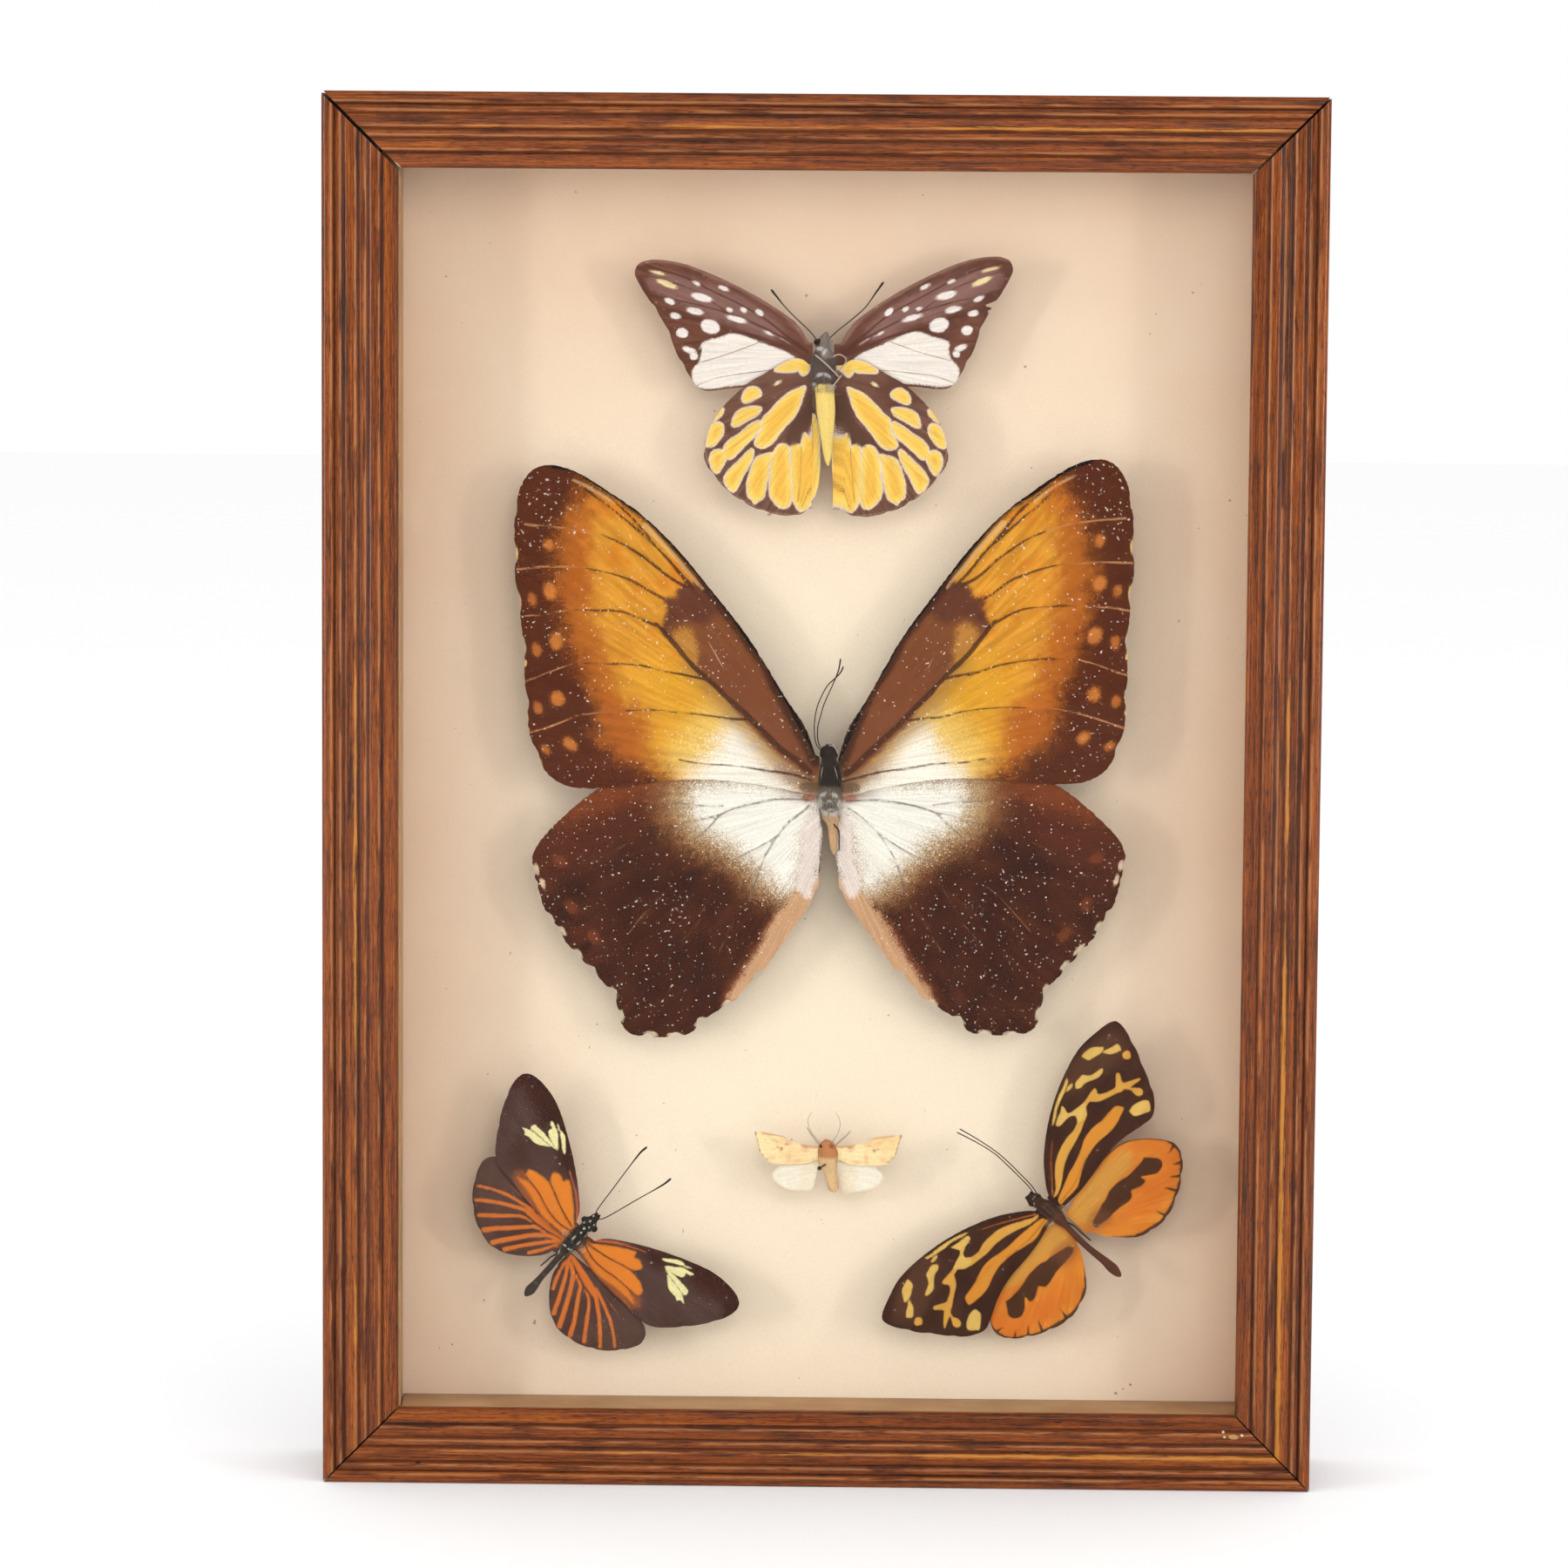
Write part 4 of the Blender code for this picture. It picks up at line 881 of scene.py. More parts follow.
# %% Where each insect lies, and how each wing is set about its hinge
# place: across and up the face.  lean: degrees clockwise.  root: how far out the wings start.
# spacing: how far apart the points of its wings lie.  fore and hind: the outline, the hinge, and
# for the left and the right wing the degrees by which it is raised and its shift out and up.
WING_DEPTH = -3.3
SHEET_THICKNESS = 0.2
INSECTS = {
    "great": {
        "place": (2.0, 173.5), "lean": 0.0, "root": (-2.4, 2.4), "spacing": 0.54,
        "fore": (GREAT_FOREWING, (3.0, 1.0), (0.0, 0.0, 0.0), (2.6, -1.0, -0.5)),
        "hind": (GREAT_HINDWING, (3.0, -4.0), (0.0, 0.0, 0.0), (1.8, -0.7, 0.0)),
    },
    "spotted": {
        "place": (-0.3, 275.0), "lean": 0.0, "root": (-2.6, 2.6), "spacing": 0.32,
        "fore": (SPOTTED_FOREWING, (3.2, 2.5), (0.0, 0.0, 0.0), (2.4, 0.8, -0.2)),
        "hind": (SPOTTED_HINDWING, (3.2, -2.0), (0.0, 0.0, 0.0), (0.6, 1.5, -0.2)),
    },
    "banded": {
        "place": (-61.3, 57.2), "lean": 41.0, "root": (-1.0, 1.0), "spacing": 0.3,
        "fore": (BANDED_FOREWING, (2.2, 3.4), (0.0, 0.0, 0.0), (-12.8, 0.8, -0.5)),
        "hind": (BANDED_HINDWING, (2.0, -0.8), (0.0, 0.0, 0.0), (-14.0, -0.2, -2.0)),
    },
    "tiger": {
        "place": (60.2, 64.9), "lean": -47.7, "root": (-1.5, 1.4), "spacing": 0.3,
        "fore": (TIGER_FOREWING, (2.4, 4.6), (0.0, 0.0, 0.0), (11.0, -0.6, 0.1)),
        "hind": (TIGER_HINDWING, (2.0, -1.0), (0.0, -0.5, 0.3), (0.0, 0.0, 0.0)),
    },
    "moth": {
        "place": (2.3, 78.1), "lean": 0.0, "root": (-2.0, 2.0), "spacing": 0.2,
        "fore": (MOTH_FOREWING, (3.0, 3.0), (0.0, 0.0, 0.0), (-2.0, 0.0, 0.0)),
        "hind": (MOTH_HINDWING, (3.0, -2.0), (0.0, 0.0, 0.0), (0.0, 0.0, -0.2)),
    },
}
HIND_IN_FRONT = {"spotted"}


# %% Measuring on the wing
def smooth_points(points, steps, closed=False):
    """A curve through given points, as rows of numbers."""
    rows = np.asarray(points, dtype=float)
    if closed:
        padded = np.vstack((rows[-1:], rows, rows[:2]))
    else:
        padded = np.vstack((rows[:1], rows, rows[-1:]))
    t = (np.arange(steps) / steps)[:, None]
    parts = []
    for a, b, c, d in zip(padded, padded[1:], padded[2:], padded[3:]):
        parts.append(0.5 * (2 * b + (c - a) * t + (2 * a - 5 * b + 4 * c - d) * t ** 2
                            + (3 * b - a - 3 * c + d) * t ** 3))
    if not closed:
        parts.append(rows[-1:])
    return np.vstack(parts)


def even_points(line, spacing):
    """The same line with points at an even spacing."""
    steps = np.linalg.norm(np.diff(line, axis=0), axis=1)
    run = np.concatenate(([0.0], np.cumsum(steps)))
    wanted = np.linspace(0.0, run[-1], max(2, int(round(run[-1] / spacing)) + 1))
    return np.column_stack([np.interp(wanted, run, line[:, axis]) for axis in range(line.shape[1])])


def gap_to_line(spots, line, widths=(0.0, 0.0)):
    """Half the line's width less the distance to it, so it is above 0 on the line itself."""
    best = np.full(len(spots), -99.0)
    count = len(line) - 1
    for index in range(count):
        a, b = line[index], line[index + 1]
        way = b - a
        length = max(1e-9, float(way @ way))
        share = np.clip(((spots - a) @ way) / length, 0.0, 1.0)
        away = np.linalg.norm(spots - a - share[:, None] * way, axis=1)
        wide = widths[0] + (widths[1] - widths[0]) * (index + share) / count
        best = np.maximum(best, wide - away)
    return best


def depth_in_shape(spots, shape, steps=3):
    """How far each spot lies inside a rounded closed shape. Outside is negative."""
    edge = smooth_points(shape, steps, closed=True)
    ring = np.vstack((edge, edge[:1]))
    inside = np.zeros(len(spots), dtype=bool)
    for (u0, v0), (u1, v1) in zip(ring, ring[1:]):
        crosses = (v0 > spots[:, 1]) != (v1 > spots[:, 1])
        with np.errstate(divide="ignore", invalid="ignore"):
            at = (u1 - u0) * (spots[:, 1] - v0) / (v1 - v0) + u0
        inside ^= crosses & (spots[:, 0] < at)
    away = -gap_to_line(spots, ring)
    return np.where(inside, away, -away)


def depth_in_spots(spots, marks):
    """How far inside any of several oval marks: u, v, half length, half width, degrees."""
    best = np.full(len(spots), -99.0)
    for u, v, length, width, degrees in marks:
        angle = math.radians(degrees)
        out, up = spots[:, 0] - u, spots[:, 1] - v
        near = out * math.cos(angle) + up * math.sin(angle)
        across = up * math.cos(angle) - out * math.sin(angle)
        reach = np.sqrt((near / length) ** 2 + (across / width) ** 2)
        best = np.maximum(best, (1.0 - reach) * min(length, width))
    return best


# %% [markdown]
# The edge of a wing is scalloped between its veins, and frayed by age. Each scallop is a shallow
# dip that is laid over the smooth outline, and the fraying is noise with a fixed seed.

# %% The edge of a wing
def wing_edge(outline, spacing, dips, fray, seed):
    """The outline with its dips (u, v, depth, half width) and with a frayed edge."""
    line = even_points(smooth_points(outline, 8), spacing)
    way = np.gradient(line, axis=0)
    way /= np.maximum(1e-9, np.linalg.norm(way, axis=1))[:, None]
    inward = np.column_stack((way[:, 1], -way[:, 0]))
    sunk = np.zeros(len(line))
    for u, v, depth, half_width in dips:
        away = np.linalg.norm(line - (u, v), axis=1)
        sunk = np.maximum(sunk, depth * np.exp(-(away / half_width) ** 2))
    frayed = np.array([
        noise.noise((u * 0.9, v * 0.9, seed)) + 0.8 * noise.noise((u * 2.6, v * 2.6, seed + 9))
        for u, v in line])
    from_root = np.minimum(np.arange(len(line)), np.arange(len(line))[::-1]) * spacing
    settle = np.clip(from_root / 4.0, 0.0, 1.0)
    return line + inward * ((sunk + fray * (0.5 + frayed)) * settle)[:, None]


# %% Turn an outline into a fine mesh that follows the veins
def sheet_mesh(edge, veins, spacing):
    """Points and triangles inside an edge, with the veins kept as rows of edges."""
    low, high = edge.min(axis=0), edge.max(axis=0)
    rise = spacing * math.sqrt(3) / 2
    rows = []
    for number, v in enumerate(np.arange(low[1], high[1], rise)):
        us = np.arange(low[0] + (number % 2) * spacing / 2, high[0], spacing)
        rows.append(np.column_stack((us, np.full(len(us), v))))
    grid = np.vstack(rows)
    clearance = spacing * 0.45
    grid = grid[depth_in_shape(grid, edge, 1) > clearance]
    lines = []
    for vein in veins:
        line = even_points(smooth_points(vein, 6), spacing)
        line = line[depth_in_shape(line, edge, 1) > clearance]
        if len(line) > 2:
            lines.append(line)
            grid = grid[gap_to_line(grid, line) < -clearance]
    points = [edge] + lines + [grid]
    spots = np.vstack(points)
    links = [(index, (index + 1) % len(edge)) for index in range(len(edge))]
    start = len(edge)
    for line in lines:
        links += [(start + index, start + index + 1) for index in range(len(line) - 1)
                  if np.linalg.norm(line[index + 1] - line[index]) < spacing * 1.6]
        start += len(line)
    made = delaunay_2d_cdt([Vector(spot) for spot in spots], links, [], 1, 1e-4)
    flat = np.array([tuple(spot) for spot in made[0]])
    triangles = np.array(made[2], dtype=np.int64)
    a, b, c = flat[triangles[:, 0]], flat[triangles[:, 1]], flat[triangles[:, 2]]
    turn_way = ((b[:, 0] - a[:, 0]) * (c[:, 1] - a[:, 1]) - (b[:, 1] - a[:, 1]) * (c[:, 0] - a[:, 0]))
    triangles[turn_way < 0] = triangles[turn_way < 0][:, ::-1]
    return flat, triangles


def rim_of(triangles):
    """The edges that belong to one triangle only, in the triangle's own direction."""
    sides = np.vstack((triangles[:, [0, 1]], triangles[:, [1, 2]], triangles[:, [2, 0]]))
    _, first, counts = np.unique(np.sort(sides, axis=1), axis=0, return_index=True,
                                 return_counts=True)
    return sides[first[counts == 1]]


# %% Set a wing in the case
def billow(insect, u, v):
    """How far the whole insect's wings stand off their plane. Both pairs share it."""
    size = 0.006 * np.hypot(u, v)
    wave = np.array([noise.noise((a * 0.045, b * 0.045, 3.0 + len(insect))) for a, b in zip(u, v)])
    return 0.35 * wave + np.minimum(size, 0.35) * wave


def seat(kind, side, name):
    """The rule that takes a right-hand wing's u and v to the insect's own frame."""
    insect = INSECTS[name]
    outline, hinge, left, right = insect[kind]
    raised, shift_out, shift_up = left if side < 0 else right
    angle = math.radians(raised)
    root = abs(insect["root"][0 if side < 0 else 1])

    def placed(spots):
        out, up = spots[:, 0] - hinge[0], spots[:, 1] - hinge[1]
        u = hinge[0] + out * math.cos(angle) - up * math.sin(angle) + shift_out
        v = hinge[1] + out * math.sin(angle) + up * math.cos(angle) + shift_up
        near_root = np.clip(1.0 - (spots[:, 0] - outline[0][0]) / 2.0, 0.0, 1.0)
        u = u + near_root * (np.minimum(root, u) - u) * (spots[:, 0] <= outline[0][0] + 0.01)
        return side * u, v
    return placed


def to_case(name, u, v, w):
    """From an insect's own frame, in millimetres, to the case, in metres."""
    insect = INSECTS[name]
    lean = math.radians(insect["lean"])
    x0, z0 = insect["place"]
    return np.column_stack((
        x0 + u * math.cos(lean) + v * math.sin(lean),
        WING_DEPTH - w,
        z0 - u * math.sin(lean) + v * math.cos(lean),
    )) * MM


def build_wing(name, kind, side, design, finish, seed):
    """One wing as a closed sheet, with an attribute for every mark in its design."""
    insect = INSECTS[name]
    spacing = insect["spacing"]
    edge = wing_edge(insect[kind][0], spacing * 0.9, design["dips"], design["fray"], seed)
    for nick in design.get("nicks", {}).get(side, ()):
        edge = add_nick(edge, nick)
    veins = [vein for vein, *_ in design["veins"]]
    flat, triangles = sheet_mesh(edge, veins, spacing)
    u, v = seat(kind, side, name)(flat)
    on_vein = np.full(len(flat), -99.0)
    for vein, root_width, tip_width, *_ in design["veins"]:
        line = smooth_points(vein, 4)
        on_vein = np.maximum(on_vein, gap_to_line(flat, line, (root_width, tip_width)))
    ridge = design["ridge"] * np.exp(-(np.minimum(on_vein, 0.0) / (spacing * 0.9)) ** 2)
    sag = design["sag"] * (1.0 - np.exp(np.minimum(on_vein, 0.0) / 2.6))
    front = (kind == "hind") == (name in HIND_IN_FRONT)
    middle = (0.2 if front else -0.5) + billow(name, u, v) - sag
    front_side = middle + SHEET_THICKNESS / 2 + ridge
    back_side = middle - SHEET_THICKNESS / 2 - ridge * 0.7
    points = np.vstack((to_case(name, u, v, front_side), to_case(name, u, v, back_side)))
    count = len(flat)
    rim = rim_of(triangles)
    walls = np.vstack((
        np.column_stack((rim[:, 1], rim[:, 0], rim[:, 0] + count)),
        np.column_stack((rim[:, 1], rim[:, 0] + count, rim[:, 1] + count)),
    ))
    faces = np.vstack((triangles, triangles[:, ::-1] + count, walls))
    if side < 0:
        faces = faces[:, ::-1]
    mesh = bpy.data.meshes.new(f"{name}_{kind}wing_{side}")
    mesh.from_pydata(points.tolist(), [], faces.tolist())
    rng = np.random.default_rng(seed)
    drift = np.array([[noise.noise((a * 0.12, b * 0.12, seed + shift)) for shift in (0, 5)]
                      for a, b in flat])
    spots = flat + drift * design["drift"]
    for mark, measure in design["marks"].items():
        set_attribute(mesh, mark, np.tile(measure(spots, rng), 2))
    set_attribute(mesh, "vein", np.tile(on_vein, 2))
    edge_line = np.vstack((edge, edge[:1]))
    set_attribute(mesh, "from_edge", np.tile(-gap_to_line(flat, edge_line), 2))
    hinge = insect[kind][1]
    angle = np.arctan2(flat[:, 1] - hinge[1], flat[:, 0] - hinge[0] + 6.0)
    reach = np.hypot(flat[:, 0] - hinge[0] + 6.0, flat[:, 1] - hinge[1])
    rays = np.tile(np.column_stack((angle * 0.05 + seed, reach * MM)), (2, 1))
    lay_map(mesh, "rays", rays)
    side_name = "left" if side < 0 else "right"
    piece = new_piece(f"{name}_{kind}_{side_name}", mesh, finish, 60)
    stand_for(piece, f"{name}_{kind}wing_{side_name}")
    return piece


def add_nick(edge, nick):
    """Push the edge near a nick inwards. It has its place, its deepest point and its half width."""
    (u, v), (to_u, to_v), half_width = nick
    away = np.linalg.norm(edge - (u, v), axis=1)
    pull = np.clip(1.0 - away / half_width, 0.0, 1.0)[:, None]
    return edge + pull * (np.array((to_u, to_v)) - (u, v))


# %% [markdown]
# The colours of a wing are laid one over another, as the scales are. Every mark is an attribute
# that says how far inside the mark a place is. A layer turns it into a mask. Coarse noise makes
# the mask's edge ragged, fine noise breaks a soft edge up into single scales, and a little of
# every colour is streaked along the rays that run out from the root.

# %% Paint a wing from layers
def paint(name, ground, layers, sheen=0.0, roughness=0.7, streak=0.35, speck=0.0):
    """A finish from three ground colours and the layers on them, the lowest first.
    Each layer gives its mark, colour, softness, raggedness and strength."""
    finish, tree, shader = new_material(name, roughness, Specular_IOR_Level=0.05, Sheen_Weight=sheen,
                                        Sheen_Roughness=0.4)
    here = object_place(tree)
    lie = add(tree, "ShaderNodeUVMap", uv_map="rays").outputs[0]
    coarse = grain(tree, here, 420.0, 3.0, 0.6)
    scales = grain(tree, here, 3000.0, 2.0, 0.75)
    rays = grain(tree, lie, 1.0, 3.0, 0.6, (900.0, 60.0, 1.0))
    tint = grain(tree, here, 120.0, 3.0)
    around = value_math(tree, "SUBTRACT", coarse, 0.5)
    speckle = value_math(tree, "SUBTRACT", scales, 0.5)
    first, second, third = ground
    colour = blend_colours(tree, step_between(tree, rays, 0.36, 0.64), first, second)
    colour = blend_colours(tree, step_between(tree, tint, 0.42, 0.66), colour, third)
    for mark, shade, soft, ragged, strength in layers:
        value = mark_value(tree, mark)
        value = value_math(tree, "MULTIPLY_ADD", around, ragged * 4.0, value)
        value = value_math(tree, "MULTIPLY_ADD", speckle, soft * 2.2, value)
        mask = step_between(tree, value, -soft * 0.55 - 0.05, soft * 0.55 + 0.05)
        if strength < 1.0:
            mask = value_math(tree, "MULTIPLY", mask, strength)
        colour = blend_colours(tree, mask, colour, shade)
    light_way = add(tree, "ShaderNodeMapRange", {0: rays, 1: 0.3, 2: 0.7, 3: 1.0 - streak * 0.5,
                                                 4: 1.0 + streak * 0.35}).outputs[0]
    grainy = add(tree, "ShaderNodeMapRange", {0: scales, 1: 0.25, 2: 0.75, 3: 0.84, 4: 1.14}).outputs[0]
    light_way = value_math(tree, "MULTIPLY", light_way, grainy)
    shade = add(tree, "ShaderNodeCombineColor", {0: light_way, 1: light_way, 2: light_way}).outputs[0]
    colour = blend_colours(tree, 1.0, colour, shade, "MULTIPLY")
    if speck:
        bright = grain(tree, here, 1500.0, 1.0, 0.4)
        mask = faint_mask(tree, bright, 0.80 - speck, 0.84 - speck, 0.75)
        colour = blend_colours(tree, mask, colour, tone(238, 226, 214))
    tree.links.new(colour, shader.inputs["Base Color"])
    bump(tree, shader, value_math(tree, "MULTIPLY_ADD", rays, 0.8, scales), 0.08, 0.00003)
    return finish


# %% Ways to describe a mark
def inside(*shapes, grow=0.0):
    """A mark that fills one or more rounded shapes."""
    def measure(spots, rng):
        return np.max([depth_in_shape(spots, shape) for shape in shapes], axis=0) + grow
    return measure


def along(*lines):
    """A mark drawn along lines: each has its points, then its half width at root and tip."""
    def measure(spots, rng):
        return np.max([gap_to_line(spots, smooth_points(points, 4), (root, tip))
                       for points, root, tip in lines], axis=0)
    return measure


def dabs(*marks, grow=0.0):
    """A mark made of oval dabs: u, v, half length, half width, degrees."""
    def measure(spots, rng):
        return depth_in_spots(spots, marks) + grow
    return measure


def sprinkled(count, shape, smallest, largest):
    """Small round dabs strewn at random inside a shape."""
    def measure(spots, rng):
        corners = np.asarray(shape, dtype=float)
        low, high = corners.min(axis=0), corners.max(axis=0)
        thrown = rng.uniform(low, high, (count * 6, 2))
        thrown = thrown[depth_in_shape(thrown, shape) > 0][:count]
        sizes = rng.uniform(smallest, largest, len(thrown))
        turns = rng.uniform(0, 180, len(thrown))
        return depth_in_spots(spots, [(u, v, size * 1.3, size, angle)
                                      for (u, v), size, angle in zip(thrown, sizes, turns)])
    return measure


def both(*measures):
    """Two or more marks joined."""
    def measure(spots, rng):
        return np.max([one(spots, rng) for one in measures], axis=0)
    return measure


# %% [markdown]
# ### The great butterfly
# Its forewings are orange with a brown cell along the front edge, a white and yellow fan at the
# root, and a rusty, then brown border. The hindwings are chocolate brown with a white fan at
# the root and white dips in the scalloped edge.

# %% Great forewing
GREAT_COSTA = [(3.3, 5.6), (11.0, 20.4), (19.9, 34.7), (29.9, 47.3), (38.0, 56.9), (46.2, 64.7),
               (53.9, 70.0), (61.0, 74.4), (68, 76.4)]
GREAT_FORE = {
    "fray": 0.16, "ridge": 0.10, "sag": 0.22, "drift": 0.6,
    "dips": [(77.3, 66.0, 0.5, 2.2), (77.1, 54.5, 0.6, 2.4), (76.2, 43.5, 0.7, 2.4),
             (75.2, 32.0, 0.7, 2.4), (74.5, 18.5, 0.7, 2.4), (72.2, 6.0, 0.7, 2.2)],
    "veins": [
        ([(41.5, 36.5), (30, 24.5), (15.5, 11), (5, 2)], 0.45, 0.6),
        ([(3.2, 5.3), (10.6, 19.0), (19.4, 33.4), (34, 47.5), (43, 57), (51.5, 66.5), (58, 71)], 0.6, 0.25),
        ([(33.5, 46.5), (40, 54), (48, 61), (60, 71)], 0.4, 0.2),
        ([(35, 47), (41, 50.5), (49, 56.5), (57.5, 60), (66, 61.5), (73, 62)], 0.4, 0.2),
        ([(40.5, 44), (47, 48), (55, 50.5), (63, 51.8), (70, 51.5), (76, 51)], 0.35, 0.2),
        ([(41, 36.5), (49, 40.5), (57, 41.2), (65, 41), (75.5, 39.5)], 0.35, 0.2),
        ([(30.5, 24.5), (38, 26), (45, 27.5), (55, 28.4), (63, 27.8), (70, 25.5), (75, 23.5)], 0.35, 0.2),
        ([(21, 14.5), (29, 15.5), (41, 16.8), (54, 16.3), (60, 15.5), (66, 13.5), (72.5, 11)], 0.3, 0.2),
        ([(4, 0), (12, 1.8), (22, 3), (31, 3.8), (39.5, 4.5), (52, 4.2), (64, 2.6)], 0.35, 0.2),
        ([(41.5, 36.5), (40.8, 40.5), (40.5, 44), (35, 47)], 0.3, 0.3),
    ],
    "marks": {
        "rust": inside([(54, 74), (58, 66), (58.5, 60), (59, 50), (57.5, 40), (54.5, 30), (51, 21), (45, 15),
                        (44, 8), (40, 2), (37, -3), (50, -8), (90, -8), (90, 85), (60, 85)]),
        "brown": inside([(57, 80), (62, 68), (65.5, 61), (67, 50), (65, 38), (61.5, 27), (57, 18),
                         (56, 9.5), (49, 4), (40, -1.5), (50, -8), (90, -8), (90, 85), (60, 90)]),
        "root": dabs((5, 0.5, 9, 3.6, 15), (8, 6, 9, 3.2, 55)),
        "cell_shade": inside([(3, 1), (8, 2), (15, 8), (21.5, 14), (28, 21), (33, 28), (28, 30), (18, 24),
                              (8, 12)], grow=2.4),
        "golden": both(dabs((35, 20, 14, 9, 25)), inside([(6, -2), (30, -4), (44, 1), (43, 9), (37, 17),
                                                         (30, 22), (20, 14), (8, 3)], grow=2.0)),
        "yellow": inside([(7, -3), (30, -3), (41, 0), (40, 6), (34, 14), (28, 19), (20, 13), (8, 1)]),
        "white": inside([(4, -5), (20, -5), (36, -4), (33, 2), (28, 7.5), (25, 12.5), (21, 11), (17, 7),
                         (8, 0)]),
        "cell": inside([(1, 4), (6, 14), (12, 24), (20, 37), (29.9, 49), (34, 47.8), (37, 46.4),
                        (37.6, 44.3), (40.5, 44.3), (40.2, 41), (41.6, 36.5), (39, 34), (33, 29),
                        (30, 24.7), (25, 19.4), (21.5, 14.6), (15, 8.6), (8, 2.6), (3, 1)]),
        "cell_end": inside([(29, 47), (34, 47.5), (37, 46), (37.5, 44), (40.3, 44), (40, 41), (41.5, 36.6),
                            (38.5, 38), (35, 39), (31, 38), (28, 40), (26, 42)]),
        "cell_yellow": inside([(34, 36.5), (36.5, 37.2), (38.5, 35.5), (37.5, 33), (34, 30), (33, 28.5),
                               (32.2, 31), (33, 33.5)]),
        "costa": along((GREAT_COSTA, 2.3, 0.45)),
        "costa_line": along((GREAT_COSTA, 0.5, 0.5)),
        "cream": both(along(([(31.5, 46.6), (38.0, 54.4), (45.6, 61.8)], 0.3, 0.75)),
                      along(([(53, 67.2), (58, 70.6), (63, 72.8)], 0.35, 0.3))),
        "veins_dark": along(
            ([(43, 38), (41.5, 36.5), (30, 24.5), (15.5, 11), (5, 2)], 0.42, 0.8),
            ([(34, 47.5), (43, 57), (51.5, 66.5), (58, 71)], 0.4, 0.3),
            ([(33.5, 46.5), (40, 54), (48, 61), (60, 71)], 0.35, 0.25),
            ([(35, 47), (41, 50.5), (49, 56.5), (56, 59.6)], 0.4, 0.2),
            ([(40.5, 44), (47, 48), (55, 50.5), (60, 51.5)], 0.38, 0.15),
            ([(41, 36.5), (49, 40.5), (57, 41.2), (63, 41)], 0.38, 0.15),
            ([(30.5, 24.5), (38, 26), (45, 27.5), (55, 28.4), (61, 28)], 0.38, 0.15),
            ([(21, 14.5), (29, 15.5), (41, 16.8), (50, 16.6)], 0.3, 0.12),
            ([(4, 0), (12, 1.8), (22, 3), (31, 3.8), (39.5, 4.5)], 0.35, 0.15)),
        "veins_pale": along(
            ([(56, 59.6), (66, 61.5), (75, 62.2)], 0.15, 0.3),
            ([(62, 51.7), (70, 51.5), (77, 51)], 0.12, 0.3),
            ([(64, 41), (76, 39.4)], 0.12, 0.3), ([(63, 27.8), (70, 25.5), (75, 23.5)], 0.12, 0.28),
            ([(54, 16.3), (60, 15.5), (66, 13.5), (73.5, 10.8)], 0.12, 0.28)),
        "inner_dots": dabs((69, 57, 1.4, 1.1, 80), (68.5, 46, 1.9, 1.5, 80), (67, 33.5, 2.0, 1.6, 75),
                           (66.5, 19.5, 1.9, 1.5, 60), (63.5, 8.5, 1.8, 1.3, 40)),
        "outer_dots": dabs((73, 44, 1.5, 1.0, 85), (72, 31.5, 1.6, 1.1, 80), (71.5, 17.5, 1.5, 1.0, 75),
                           (69.5, 6.5, 1.4, 1.0, 50)),
        "lunules": dabs((76.9, 55, 1.8, 0.55, 88), (76.1, 43.5, 2.0, 0.6, 84), (75.1, 32.5, 1.8, 0.55, 86),
                        (74.9, 28, 1.2, 0.45, 86), (74.4, 18.5, 1.8, 0.55, 86), (74, 14.5, 1.2, 0.45, 80),
                        (71.4, 4, 1.6, 0.5, 62)),
        "flecks": both(sprinkled(90, [(62, 60), (66, 75), (76, 72), (76, 56)], 0.08, 0.25),
                       sprinkled(260, GREAT_FOREWING, 0.07, 0.24)),
        "scratches": along(([(47, 44), (52, 49)], 0.12, 0.05), ([(58, 22), (63, 25)], 0.1, 0.05),
                           ([(52, 34), (58, 37)], 0.1, 0.04), ([(26, 27), (30, 34)], 0.1, 0.05)),
    },
}
GREAT_FORE_PAINT = paint(
    "great_forewing_scales", (tone(206, 138, 40), tone(218, 150, 50), tone(208, 126, 34)),
    [
        ("golden", tone(220, 158, 44), 7.0, 1.4, 0.9),
        ("yellow", tone(232, 190, 98), 6.5, 1.2, 0.9),
        ("white", tone(246, 236, 220), 7.0, 1.2, 1.0),
        ("rust", tone(166, 84, 28), 7.0, 2.0, 0.85),
        ("brown", tone(80, 36, 20), 6.0, 2.0, 0.97),
        ("cell_shade", tone(120, 84, 62), 5.0, 0.8, 0.6),
        ("root", tone(128, 92, 70), 3.6, 0.8, 0.7),
        ("cell", tone(118, 66, 40), 1.2, 0.4, 0.95),
        ("cell_end", tone(92, 50, 36), 2.2, 0.5, 0.85),
        ("cell_yellow", tone(206, 144, 60), 1.8, 0.5, 0.65),
        ("costa", tone(64, 36, 24), 1.2, 0.3, 0.9),
        ("veins_dark", tone(74, 42, 28), 0.25, 0.12, 0.9),
        ("veins_pale", tone(190, 132, 84), 0.15, 0.1, 0.75),
        ("inner_dots", tone(204, 122, 52), 1.0, 0.3, 0.85),
        ("outer_dots", tone(190, 110, 48), 0.8, 0.3, 0.75),
        ("lunules", tone(228, 186, 116), 0.25, 0.12, 0.95),
        ("cream", tone(214, 172, 116), 0.35, 0.15, 0.6),
        ("costa_line", tone(28, 18, 14), 0.1, 0.05, 1.0),
        ("flecks", tone(238, 222, 200), 0.06, 0.03, 0.8),
        ("scratches", tone(244, 224, 190), 0.05, 0.02, 0.6),
    ],
    speck=0.08,
)

